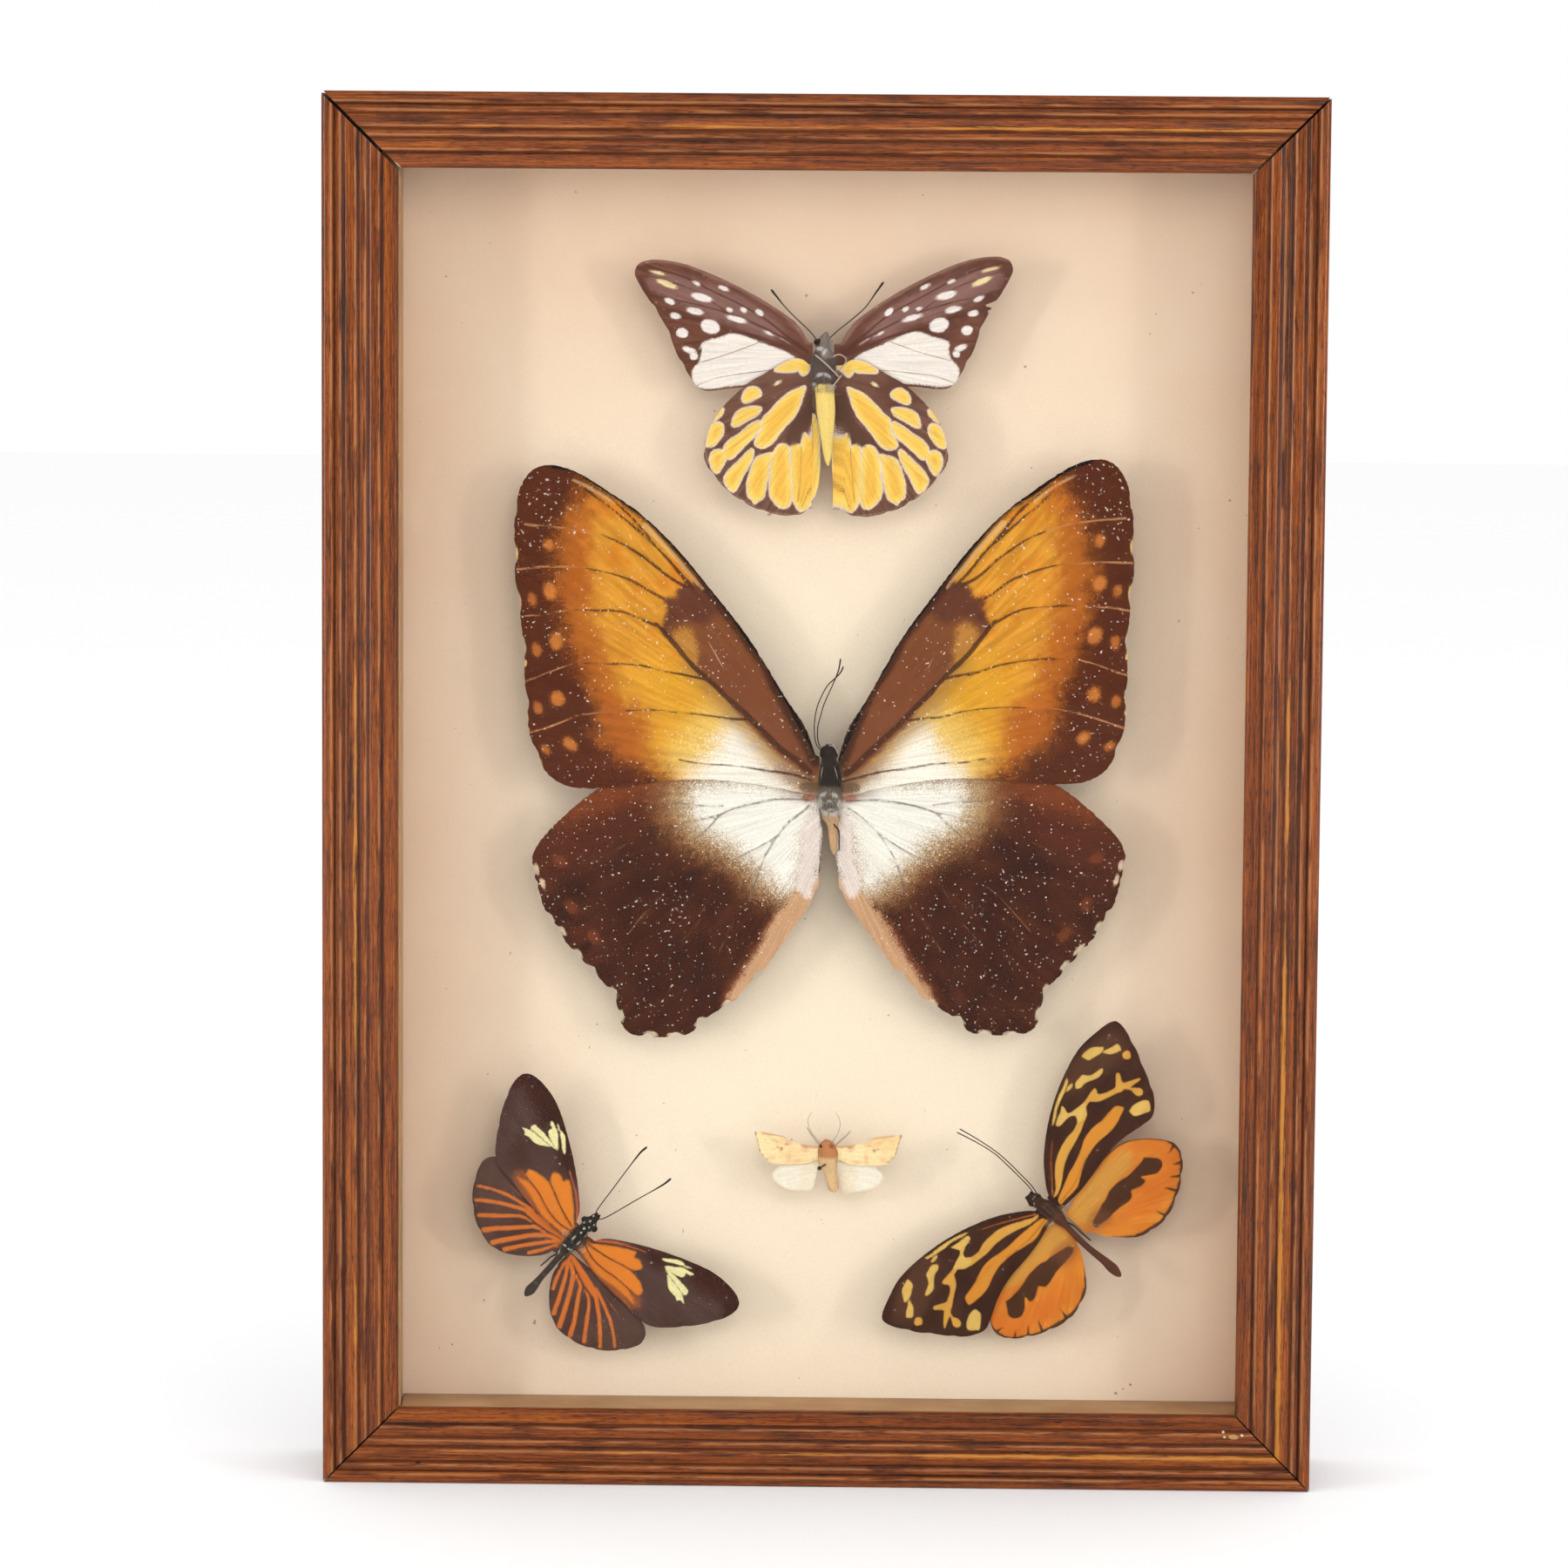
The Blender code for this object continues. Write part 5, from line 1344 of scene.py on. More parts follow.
# %% Great hindwing
GREAT_HIND = {
    "fray": 0.2, "ridge": 0.10, "sag": 0.26, "drift": 0.6,
    "dips": [(72.2, -22.9, 0.9, 1.2), (70.9, -26.2, 0.8, 1.1), (69.0, -35.0, 1.0, 1.2),
             (66.5, -38.0, 0.9, 1.1), (61.8, -43.9, 1.0, 1.2), (58.2, -47.7, 1.0, 1.2),
             (53.2, -53.4, 1.1, 1.2), (51.2, -59.0, 1.0, 1.2), (44.3, -64.4, 0.9, 1.2),
             (37.4, -64.1, 1.1, 1.3), (30.9, -60.4, 1.2, 1.2), (24.5, -56.0, 0.9, 1.1),
             (16.9, -48.8, 1.0, 1.2)],
    "veins": [
        ([(4, -4), (12, -3.0), (20, -1.5), (30, 0.6), (42, 0.5), (52, -2)], 0.35, 0.2),
        ([(4, -5), (12, -5), (20, -6.5), (26, -8.5), (29, -11.5), (33, -15), (45, -27), (56, -38), (60, -42)],
         0.4, 0.2),
        ([(26, -8.5), (37, -11.5), (52, -20), (70, -31)], 0.3, 0.2),
        ([(26, -6.7), (38, -6.2), (54, -11), (71.5, -19)], 0.3, 0.2),
        ([(5, -6.5), (9, -10), (13, -14.5), (16, -20), (19.5, -30), (24, -42), (30, -56)], 0.35, 0.2),
        ([(13, -14), (20, -18.5), (26, -21), (36, -32), (44, -46), (48, -60)], 0.3, 0.2),
        ([(26, -21), (38, -26.5), (49, -38.5), (54, -48)], 0.25, 0.2),
        ([(16, -22), (24, -34), (32, -48), (37, -61)], 0.25, 0.2),
        ([(4, -8), (6, -18), (8, -28), (14, -38), (20, -47)], 0.3, 0.2),
    ],
    "marks": {
        "front": inside([(10, 8), (80, 8), (80, -26), (70, -27), (58, -20), (45, -12), (34, -6), (20, -1)]),
        "rusty": inside([(30, 6), (48, 4), (60, -3), (68, -11), (60, -10), (50, -6), (40, -3), (32, -1)]),
        "tan": inside([(4, -1), (14, 3), (25, 4), (37, 3), (42, -3), (41, -10), (35, -16), (29, -19),
                       (23, -23), (18, -28), (11, -31), (7, -29), (5.5, -20), (4, -10)], grow=1.5),
        "olive": inside([(4, -4), (14, -0.5), (25, 0.2), (36, 0), (39, -4), (38, -10), (34, -15),
                         (28, -18), (22, -21.5), (17, -27), (11, -30), (7, -29), (5.5, -20), (4, -10)]),
        "fan": inside([(3, -4), (14, -1), (25, -1), (32, -2), (34, -5), (33, -9), (30, -12.5), (26, -15),
                       (21, -18.5), (15, -24), (11, -27), (8, -27), (7, -20), (4, -10)]),
        "root": dabs((5, -3, 6, 2.2, 0)),
        "fold": inside([(3, -8), (5.5, -10), (7, -20), (8, -26), (6, -29), (4, -28), (2.6, -20), (1.6, -13)]),
        "inner": inside([(2, -25), (6, -26), (10.5, -32), (14, -38), (17.5, -44), (21, -50), (24, -55),
                         (18, -52), (12, -45), (5, -34)], grow=0.7),
        "inner_rust": inside([(10, -33), (14.5, -37), (19, -45), (25, -55), (19, -51), (13, -44)],
                             grow=1.0),
        "veins_dark": along(
            ([(5, -5), (12, -5), (20, -6.5), (26, -8.5), (29, -11.5), (33, -15)], 0.28, 0.2),
            ([(26, -8.5), (37, -11.5)], 0.2, 0.16), ([(26, -6.7), (38, -6.2)], 0.18, 0.14),
            ([(5, -6.5), (9, -10), (13, -14.5), (16, -20), (19.5, -30)], 0.26, 0.16),
            ([(13, -14), (20, -18.5), (26, -21)], 0.2, 0.14)),
        "veins_pale": along(
            ([(38, -26.5), (43, -31), (49, -38.5)], 0.12, 0.22), ([(57, -20.5), (50, -16.5)], 0.1, 0.2),
            ([(27, -25), (32, -35), (36, -40)], 0.1, 0.2), ([(22, -33), (27, -43)], 0.1, 0.2)),
        "dots": dabs((66, -21, 1.8, 1.3, 40), (63, -32, 1.9, 1.4, 50), (57.5, -39.5, 1.8, 1.3, 45)),
        "lunules": dabs((71.6, -22.7, 1.4, 0.6, 75), (70.2, -26.1, 1.3, 0.55, 75),
                        (68.4, -35.0, 1.5, 0.65, 62), (65.5, -37.9, 1.4, 0.6, 55),
                        (61.1, -43.6, 1.6, 0.65, 48), (57.7, -47.3, 1.5, 0.6, 48),
                        (52.7, -53.3, 1.6, 0.7, 75), (50.7, -59.0, 1.5, 0.65, 80),
                        (43.6, -63.7, 1.7, 0.7, 5), (37.4, -63.4, 1.8, 0.75, -5),
                        (31.5, -60.3, 1.6, 0.7, -40), (24.9, -55.4, 1.3, 0.5, -40),
                        (17.4, -48.6, 1.2, 0.5, -50)),
        "flecks": both(sprinkled(46, [(33, -29), (38, -29.5), (39, -34.5), (34, -35)], 0.05, 0.18),
                       sprinkled(40, [(34, -50), (46, -50), (47, -60), (36, -61)], 0.05, 0.18),
                       sprinkled(460, GREAT_HINDWING, 0.06, 0.22)),
    },
}
GREAT_HIND_PAINT = paint(
    "great_hindwing_scales", (tone(66, 32, 18), tone(78, 38, 22), tone(58, 28, 18)),
    [
        ("front", tone(90, 42, 24), 6.0, 2.0, 0.75),
        ("rusty", tone(126, 62, 30), 4.5, 1.5, 0.8),
        ("tan", tone(138, 88, 50), 6.5, 1.2, 0.85),
        ("olive", tone(184, 154, 112), 6.0, 1.0, 0.8),
        ("fan", tone(242, 235, 222), 6.0, 1.0, 1.0),
        ("inner_rust", tone(128, 68, 40), 2.2, 0.6, 0.85),
        ("inner", tone(206, 160, 120), 1.8, 0.6, 0.9),
        ("root", tone(128, 96, 74), 2.6, 0.6, 0.65),
        ("fold", tone(230, 213, 203), 1.4, 0.4, 0.92),
        ("veins_dark", tone(112, 102, 92), 0.3, 0.12, 0.85),
        ("veins_pale", tone(140, 92, 62), 0.15, 0.08, 0.6),
        ("dots", tone(122, 62, 34), 0.9, 0.3, 0.7),
        ("lunules", tone(222, 196, 162), 0.25, 0.14, 0.8),
        ("flecks", tone(232, 220, 206), 0.06, 0.03, 0.85),
    ],
    speck=0.085,
)

# %% Mount the great butterfly's wings
DESIGNS = {"great": {"fore": (GREAT_FORE, GREAT_FORE_PAINT), "hind": (GREAT_HIND, GREAT_HIND_PAINT)}}


def mount_wings(name):
    for kind_number, kind in enumerate(("fore", "hind")):
        design, finish = DESIGNS[name][kind]
        for side in (-1, 1):
            seed = len(name) * 10 + kind_number * 3 + side
            wing = build_wing(name, kind, side, design, finish, seed)
            print(wing.name, len(wing.data.polygons), "faces")


mount_wings("great")

# %% [markdown]
# ### The spotted butterfly
# This one is mounted with its underside out. Its brown forewings carry rows of white spots and a
# white back third, and its hindwings are a net of brown veins round yellow cells.

# %% Spotted forewing
SPOTTED_VEINS = [
    [(3.6, 3.2), (9, 7.0), (15.7, 12.0), (24, 16.2), (34, 21), (43, 23.6)],
    [(3.6, 2.6), (10, 6.6), (17, 10.0), (23, 12.2), (31, 14.4), (42, 16.6)],
    [(3.6, 1.8), (10, 4.6), (16, 6.8), (22.6, 8.2), (30, 10.6), (39, 11.6)],
    [(22.6, 8.2), (30, 5.4), (36.4, 4.6)],
    [(23, 12.2), (32, 18), (43.6, 21.6)],
]
SPOTTED_FORE = {
    "fray": 0.07, "ridge": 0.06, "sag": 0.13, "drift": 0.25,
    "dips": [(41.2, 13.5, 0.35, 1.2), (37.7, 7.6, 0.3, 1.2), (34.2, -0.2, 0.3, 1.2)],
    "nicks": {1: [((41.0, 13.6), (38.6, 13.2), 1.0), ((40.0, 12.0), (39.2, 12.0), 0.6)]},
    "veins": [
        (SPOTTED_VEINS[0], 0.25, 0.15), (SPOTTED_VEINS[1], 0.25, 0.15),
        (SPOTTED_VEINS[2], 0.22, 0.14), (SPOTTED_VEINS[3], 0.16, 0.12),
        ([(23, 12.2), (22.6, 8.2)], 0.16, 0.16), ([(30, 0.3), (23, 2.5), (15.7, 5.3)], 0.14, 0.14),
        ([(3.8, 0.2), (14.5, -1.6), (25, -3.1), (30.6, -5.1)], 0.2, 0.14),
        (SPOTTED_VEINS[4], 0.16, 0.12),
    ],
    "marks": {
        "grey": inside([(10, 9), (17, 14.5), (26, 18.8), (35, 21.5), (41, 22.5), (43, 19), (38, 16), (30, 12),
                        (22, 9.5), (12, 6)]),
        "costa": along(([(3.6, 5.6), (8.9, 11.6), (16.4, 16.3), (25.1, 20.6), (33.9, 24.0), (40.8, 25.0),
                         (45, 24)], 0.7, 0.3)),
        "brown_lines": along(
            (SPOTTED_VEINS[0], 0.26, 0.18), (SPOTTED_VEINS[1], 0.24, 0.16),
            (SPOTTED_VEINS[2], 0.22, 0.15), (SPOTTED_VEINS[3], 0.16, 0.12),
            (SPOTTED_VEINS[4], 0.16, 0.12)),
        "white_back": inside([(8.5, -1.0), (6.4, 1.2), (10, 3.4), (15.7, 5.6), (21.4, 7.5), (25.5, 6.4),
                              (29.5, 5.0), (29.6, 2.6), (30.4, 0.3), (31.8, -1.3), (31.9, -3.2), (30.6, -5.4),
                              (27.5, -5.9), (22, -5.3), (14, -4.2)]),
        "spots_yellow": dabs((40.4, 22, 1.7, 0.35, 14), (38.2, 19.3, 2.5, 0.7, 20)),
        "spots": dabs((30.9, 19.5, 1.4, 0.6, 24), (24.3, 18.4, 1.7, 0.65, 26), (29.6, 16.1, 3.0, 1.05, 14),
                      (37.5, 15.2, 1.6, 0.8, 24), (31.2, 12.7, 2.4, 0.95, 12), (36.1, 11.6, 1.6, 0.9, 14),
                      (27.6, 9.0, 2.6, 1.8, 15), (34.3, 7.5, 1.6, 1.3, 10), (32.6, 3.3, 1.9, 0.9, 20),
                      (31.5, 1.8, 1.0, 1.1, 70), (22.9, 13.1, 1.0, 0.6, 20), (19.5, 13.1, 1.1, 0.7, 30),
                      (15.6, 12.6, 1.4, 0.8, 36), (21.1, 10.9, 3.0, 0.8, 14), (13.2, 7.5, 1.8, 0.45, 26),
                      (9.5, 5.9, 1.8, 0.28, 30), grow=-0.16),
        "thin_lines": along(([(30, 0.3), (23, 2.5), (15.7, 5.3)], 0.12, 0.12),
                            ([(30.6, -5.1), (25, -3.1), (14.5, -1.6), (8, -0.6)], 0.12, 0.14)),
        "fringe": along(([(44.8, 21.2), (42.2, 15.4), (39.0, 10.4), (37.0, 6.0), (35.4, 2.0), (32.8, -2.6)],
                         0.28, 0.28)),
        "flecks": sprinkled(90, SPOTTED_FOREWING, 0.05, 0.15),
    },
}
SPOTTED_FORE_PAINT = paint(
    "spotted_forewing_scales", (tone(104, 62, 46), tone(118, 74, 58), tone(96, 56, 42)),
    [
        ("grey", tone(150, 112, 104), 2.2, 0.6, 0.6),
        ("costa", tone(142, 104, 90), 0.4, 0.1, 0.8),
        ("brown_lines", tone(84, 44, 30), 0.15, 0.06, 0.85),
        ("white_back", tone(239, 227, 216), 0.5, 0.14, 0.97),
        ("spots_yellow", tone(238, 214, 160), 0.3, 0.1, 0.95),
        ("spots", tone(240, 228, 220), 0.3, 0.1, 0.97),
        ("thin_lines", tone(150, 110, 90), 0.08, 0.04, 0.8),
        ("fringe", tone(88, 52, 40), 0.2, 0.1, 0.8),
        ("flecks", tone(236, 220, 210), 0.04, 0.02, 0.7),
    ],
)

# %% Spotted hindwing
SPOTTED_CELLS = [
    [(11.7, -1.6), (10.1, 0), (7.6, 1.25), (5.4, 1.4), (3.9, 0.75), (3.4, -0.6), (3.9, -1.9), (5, -2.5),
     (6.3, -0.9), (7, -1.6)],
    [(19.5, -7.8), (18.6, -6.25), (17, -5.5), (15.4, -6.25), (15.1, -7.5), (16.4, -8.25), (17.6, -8.9),
     (19.2, -9.25)],
    [(4.4, -5.4), (5.4, -5.6), (8.25, -6.9), (10.75, -9.1), (12.9, -11.6), (14.5, -13.1), (14.8, -15),
     (15.1, -16.25), (16.1, -17.8), (16.4, -19.4), (15.1, -20.2), (13.6, -20), (12, -18.75),
     (10.75, -16.9), (8.9, -14.7), (7, -12.5), (5.75, -10), (5, -7.5)],
    [(26.7, -13.75), (26.1, -11.9), (25, -10.9), (24.1, -10.9), (24.4, -12.2), (25.75, -13.4)],
    [(21.7, -13.1), (20.75, -11.6), (18.9, -10.6), (17, -10.3), (15.1, -10.6), (16.1, -12.2),
     (18.25, -13.4), (20.4, -14.7), (22, -15)],
    [(28.25, -19.7), (27.9, -17.2), (27, -15), (25.4, -14.2), (24.4, -14.7), (24.2, -16.25),
     (25.1, -18.1), (26.7, -19.8)],
    [(15.4, -13.75), (17.6, -14.7), (20.1, -16.6), (22.3, -18.1), (23.9, -20), (24, -22.5),
     (22.3, -22.8), (20.75, -21.25), (18.9, -19.4), (16.7, -17.5), (15.4, -15.6)],
    [(27.4, -23.1), (26.7, -21.25), (25.1, -20.75), (23.9, -21.6), (23.75, -23.1), (24.5, -25),
     (25.75, -26.6), (26.9, -25.3)],
    [(23.9, -28.1), (22.9, -25.9), (20.75, -23.75), (18.6, -21.6), (17.3, -20.5), (16.9, -21.25),
     (17.3, -23.1), (18.6, -25.6), (19.8, -27.8), (21.1, -30.6), (22, -30.9), (23.25, -29.7)],
    [(18.25, -28.75), (17.6, -26.25), (16.7, -23.75), (15.75, -22.5), (13.9, -21.9), (12.3, -21.6),
     (12.6, -23.75), (13.25, -27.5), (13.9, -30.9), (14.5, -32.5), (15.75, -33.25), (16.4, -33.75),
     (17.1, -32.8), (18.1, -31.9)],
    [(12.75, -30.6), (12.5, -26.25), (12, -21.9), (10.75, -19.7), (9.2, -19.4), (8.25, -20),
     (7.9, -23.1), (7.6, -29.4), (7.5, -32.5), (8.25, -34.4), (9.5, -34.8), (10.4, -34.4), (12, -32.8)],
    [(7.6, -20), (6.1, -19.4), (5.25, -20), (4.8, -16.9), (4.2, -16.6), (3.25, -17.5), (2.5, -12),
     (1, -15), (0.7, -26), (1.1, -30), (3.25, -33.75), (3.9, -35), (5.4, -35.6), (6.7, -33.75),
     (7.3, -31.25)],
]
SPOTTED_HIND = {
    "fray": 0.07, "ridge": 0.07, "sag": 0.15, "drift": 0.2,
    "dips": [(28.9, -20.6, 0.25, 1.0), (26.6, -27.0, 0.3, 1.0), (19.5, -33.4, 0.3, 1.0),
             (14.2, -35.6, 0.3, 1.0), (7.0, -36.7, 0.25, 1.0)],
    "veins": [
        ([(4, -3.5), (9, -5.5), (13.5, -9), (20, -9.6), (27.8, -13.4)], 0.25, 0.15),
        ([(13.5, -9.5), (15.2, -13), (22.5, -16.2), (28.6, -21)], 0.22, 0.14),
        ([(15.2, -13), (15.8, -16.6), (20, -20.6), (26.4, -27.4)], 0.22, 0.14),
        ([(16.2, -19.2), (17, -21), (20, -27), (21.4, -31.6)], 0.2, 0.14),
        ([(16.2, -20.2), (13, -21), (12.4, -26), (13.6, -35)], 0.2, 0.14),
        ([(4.4, -6), (6.6, -13), (9, -16), (12, -20)], 0.2, 0.16),
        ([(8, -19.6), (7.7, -28), (7.2, -36)], 0.18, 0.14),
    ],
    "marks": {
        "halo": inside(*SPOTTED_CELLS, grow=0.32),
        "yellow": inside(*SPOTTED_CELLS, grow=-0.05),
        "orange": inside(*SPOTTED_CELLS, grow=-1.15),
        "cream": dabs((11.1, -4.6, 1.0, 0.45, -30)),
        "inner_lines": along(([(2.4, -14), (2.6, -22), (3.4, -30), (5, -35)], 0.13, 0.1),
                             ([(5.2, -20), (5.4, -27), (6.0, -33.4)], 0.12, 0.1)),
        "wedge": inside([(3.4, -5), (4.4, -9), (6.4, -13.5), (9, -17), (8.6, -19.6), (6, -19), (4.6, -17),
                         (3, -13), (2.6, -9)]),
        "margin_pale": along(([(28.7, -19), (27.6, -25), (24, -29.6), (19, -33.2), (14, -35.4), (8.6, -36.4),
                               (5, -36.2)], 0.16, 0.16)),
        "flecks": sprinkled(70, SPOTTED_HINDWING, 0.05, 0.14),
    },
}
SPOTTED_HIND_PAINT = paint(
    "spotted_hindwing_scales", (tone(106, 70, 56), tone(120, 84, 68), tone(98, 62, 48)),
    [
        ("margin_pale", tone(160, 126, 106), 0.15, 0.1, 0.7),
        ("halo", tone(230, 206, 188), 0.3, 0.1, 0.95),
        ("yellow", tone(243, 202, 96), 0.35, 0.1, 0.97),
        ("orange", tone(236, 170, 58), 0.8, 0.25, 0.6),
        ("wedge", tone(92, 62, 48), 0.8, 0.3, 0.9),
        ("cream", tone(240, 220, 180), 0.3, 0.1, 0.9),
        ("inner_lines", tone(120, 84, 50), 0.1, 0.05, 0.75),
        ("flecks", tone(240, 228, 214), 0.04, 0.02, 0.6),
    ],
)
DESIGNS["spotted"] = {"fore": (SPOTTED_FORE, SPOTTED_FORE_PAINT), "hind": (SPOTTED_HIND, SPOTTED_HIND_PAINT)}
mount_wings("spotted")

# %% [markdown]
# ### The banded butterfly
# Blackish brown, with an orange fan at the root of the forewing, a broken band of pale yellow near
# its tip, and orange rays on the hindwing.

# %% Banded forewing
BANDED_FORE = {
    "fray": 0.06, "ridge": 0.06, "sag": 0.12, "drift": 0.2,
    "dips": [(36.2, 18, 0.2, 1.2), (33, 11, 0.2, 1.2)],
    "veins": [
        ([(2.6, 4.6), (6, 8.8), (11, 13.2), (16.6, 17.4), (23, 21.6), (31, 25)], 0.2, 0.14),
        ([(2.2, 3.9), (8, 5.9), (13.9, 8.6), (15.8, 12), (17.7, 15.8)], 0.18, 0.16),
        ([(2.2, 3.0), (6, 2.6), (10, 3.4), (14, 4.8), (18, 5.7), (24, 6.4), (30, 7)], 0.18, 0.12),
        ([(13.9, 8.6), (20, 8.4), (27, 10.0), (32.5, 11)], 0.14, 0.1),
        ([(17.7, 15.8), (23, 15.5), (30, 15.2), (35, 15.4)], 0.14, 0.1),
        ([(17.7, 15.9), (22, 17.4), (29, 19.4), (36.4, 20.4)], 0.14, 0.1),
        ([(2.4, 1.6), (8, 1.2), (15, 2.0), (23, 3.2)], 0.16, 0.12),
    ],
    "marks": {
        "darker": inside([(10, 13.6), (17, 14), (20, 19), (27, 19), (33, 22), (38, 20), (38, 28), (28, 28),
                          (18, 22)]),
        "orange": inside(
            [(14.9, 11.2), (13, 11.8), (11.6, 11.2), (10.8, 12.3), (8.5, 10.6), (5.5, 7.6), (3, 4.9),
             (2.0, 3.9), (4, 4.3), (8, 6.0), (11, 7.6), (13.5, 8.7), (14.6, 9.8)],
            [(19.8, 6.5), (19.6, 7.8), (17.5, 8.5), (14, 8.5), (11, 7.3), (8, 5.7), (4, 4), (1.8, 3.3),
             (4.5, 2.7), (8, 2.9), (11, 3.8), (14, 4.9), (16.5, 5.4), (18.5, 5.9)],
            [(20.8, 4.4), (19, 4.9), (16.5, 5.1), (14, 4.6), (11, 3.5), (8, 2.5), (5, 2.3), (1.8, 2.6),
             (1.8, 1.6), (5, 1.3), (9, 1.2), (12, 2.0), (15, 3.0), (18, 3.6), (20.5, 4.0)]),
        "deep_orange": inside([(1, 1), (12, 0.5), (21, 3), (21, 6), (14, 6), (6, 3.6), (1, 3)]),
        "red_lines": along(([(12.2, 14.2), (8, 11.3), (4.5, 7.9), (2.3, 5.4)], 0.14, 0.28),
                           ([(8.2, 12.0), (5, 9.0), (2.4, 5.9)], 0.06, 0.14)),
        "vein_lines": along(([(2.2, 3.9), (8, 5.9), (13.9, 8.6)], 0.16, 0.14),
                            ([(2.2, 3.0), (6, 2.6), (10, 3.4), (14, 4.8), (19, 5.7)], 0.16, 0.14)),
        "band": inside(
            [(20.6, 20.2), (19, 19.9), (17.3, 18.3), (15.9, 16.5), (17, 16.9), (18.6, 18.3), (20.1, 19.5)],
            [(22.3, 21.1), (21.2, 20.6), (20.4, 19.8), (21.4, 20.1)],
            [(23.7, 20.6), (22.3, 20.1), (20.6, 19.2), (19.6, 18), (18.6, 17), (17.8, 16), (18.8, 16.1),
             (20.5, 16.7), (22.3, 17.6), (22.7, 18.5), (22.3, 19.2), (23.4, 19.7)],
            [(26.4, 17), (25.5, 17.1), (23, 16.9), (20.8, 16.5), (18.3, 15.9), (20, 15.6), (22.5, 15.7),
             (26.4, 15.7)],
            [(28.2, 14.5), (26.3, 15.3), (24, 15.45), (20, 15.4), (21, 14.6), (22.3, 13.8), (23.5, 13.5),
             (25.5, 13.8), (26.5, 13.5), (27, 14.2)]),
        "flecks": both(dabs((15.2, 13.8, 0.3, 0.25, 0), (33.1, 23.8, 0.25, 0.2, 0)),
                       sprinkled(70, BANDED_FOREWING, 0.05, 0.16)),
    },
}
BANDED_FORE_PAINT = paint(
    "banded_forewing_scales", (tone(78, 54, 46), tone(86, 62, 54), tone(72, 46, 38)),
    [
        ("darker", tone(58, 28, 18), 3.0, 1.0, 0.9),
        ("orange", tone(222, 126, 40), 0.55, 0.12, 0.98),
        ("deep_orange", tone(204, 108, 40), 2.0, 0.5, 0.4),
        ("red_lines", tone(190, 96, 60), 0.2, 0.05, 0.9),
        ("vein_lines", tone(92, 44, 26), 0.1, 0.03, 0.85),
        ("band", tone(238, 226, 164), 0.25, 0.09, 0.98),
        ("flecks", tone(190, 170, 160), 0.05, 0.02, 0.7),
    ], streak=0.2,
)

# %% Banded hindwing
BANDED_HIND = {
    "fray": 0.06, "ridge": 0.06, "sag": 0.12, "drift": 0.2,
    "dips": [(28.4, -3.0, 0.2, 0.9), (24, -8.6, 0.2, 0.9), (19, -12, 0.2, 0.9), (13, -12.9, 0.2, 0.9)],
    "veins": [
        ([(2.6, -0.2), (7, -1.1), (11, -1.5), (14.4, -1.6), (20, -3.4), (26, -5.8)], 0.18, 0.12),
        ([(14.4, -1.6), (18, -4.4), (23.4, -8.8)], 0.14, 0.1),
        ([(11.2, -1.7), (13, -4), (20, -11)], 0.14, 0.1),
        ([(7.2, -1.2), (11, -5.2), (16.6, -12.2)], 0.14, 0.1),
        ([(3.2, -0.6), (8, -5.6), (13.2, -12)], 0.14, 0.1), ([(2.6, -1.2), (5, -5), (9, -10.2)], 0.14, 0.1),
        ([(2.6, 0.4), (10, 1.0), (18, 0.8), (28.6, -1.6)], 0.18, 0.12),
    ],
    "marks": {
        "rays": along(
            ([(12.4, 0.6), (17.5, -0.2), (21, -1.1), (24.5, -2.6), (26.8, -3.9)], 0.4, 0.3),
            ([(3, 0.2), (8, 0.3), (13, -0.3), (18, -2.5), (22, -4.9), (24.8, -6.9)], 0.5, 0.42),
            ([(11.2, -1.9), (13.2, -2.3), (15, -3.4), (18, -6.2), (21.6, -9.3)], 0.3, 0.5),
            ([(6.8, -1.6), (9.4, -2.2), (10.5, -3.2), (13, -5.6), (16, -8.5), (18.2, -11.2)], 0.35, 0.6),
            ([(3.4, -0.8), (5.6, -1.8), (7.5, -3.4), (10, -6), (13, -9.6), (14.8, -12.1)], 0.5, 0.6),
            ([(2.5, -0.8), (4.2, -2.6), (6.8, -5.6), (9.6, -9), (11.4, -11.4)], 0.35, 0.55),
            ([(2.4, -1.9), (3.3, -3.7), (4.6, -5.9), (6.2, -8.1)], 0.28, 0.42)),
        "root": inside([(2, 0.6), (6, 0.7), (13.4, 0.4), (13.8, -1.0), (10.5, -1.2), (7, -0.9), (3.5, -0.4),
                        (2.0, -0.6)]),
        "faint": along(([(22.3, 1.3), (20, 1.5), (17.2, 1.4)], 0.06, 0.2)),
        "vein_lines": along(([(2.6, -0.3), (7, -1.1), (11, -1.5), (14.4, -1.6)], 0.13, 0.12),
                            ([(11.2, -1.7), (12.4, -2.9)], 0.1, 0.1), ([(7.2, -1.2), (8.6, -2.8)], 0.1, 0.1)),
        "fringe": along(([(29.4, 0.2), (28.2, -3.6), (26, -7), (22.5, -10.2), (19.1, -12), (14.7, -13.0),
                          (11, -12.2)], 0.14, 0.14)),
        "flecks": sprinkled(80, BANDED_HINDWING, 0.05, 0.16),
    },
}
BANDED_HIND_PAINT = paint(
    "banded_hindwing_scales", (tone(84, 58, 48), tone(92, 66, 56), tone(78, 50, 42)),
    [
        ("rays", tone(208, 112, 46), 0.35, 0.1, 0.97),
        ("root", tone(206, 108, 42), 0.4, 0.1, 0.97),
        ("faint", tone(160, 92, 70), 0.2, 0.05, 0.6),
        ("vein_lines", tone(98, 50, 30), 0.1, 0.03, 0.85),
        ("fringe", tone(64, 44, 38), 0.15, 0.08, 0.7),
        ("flecks", tone(196, 176, 164), 0.05, 0.02, 0.65),
    ], streak=0.2,
)
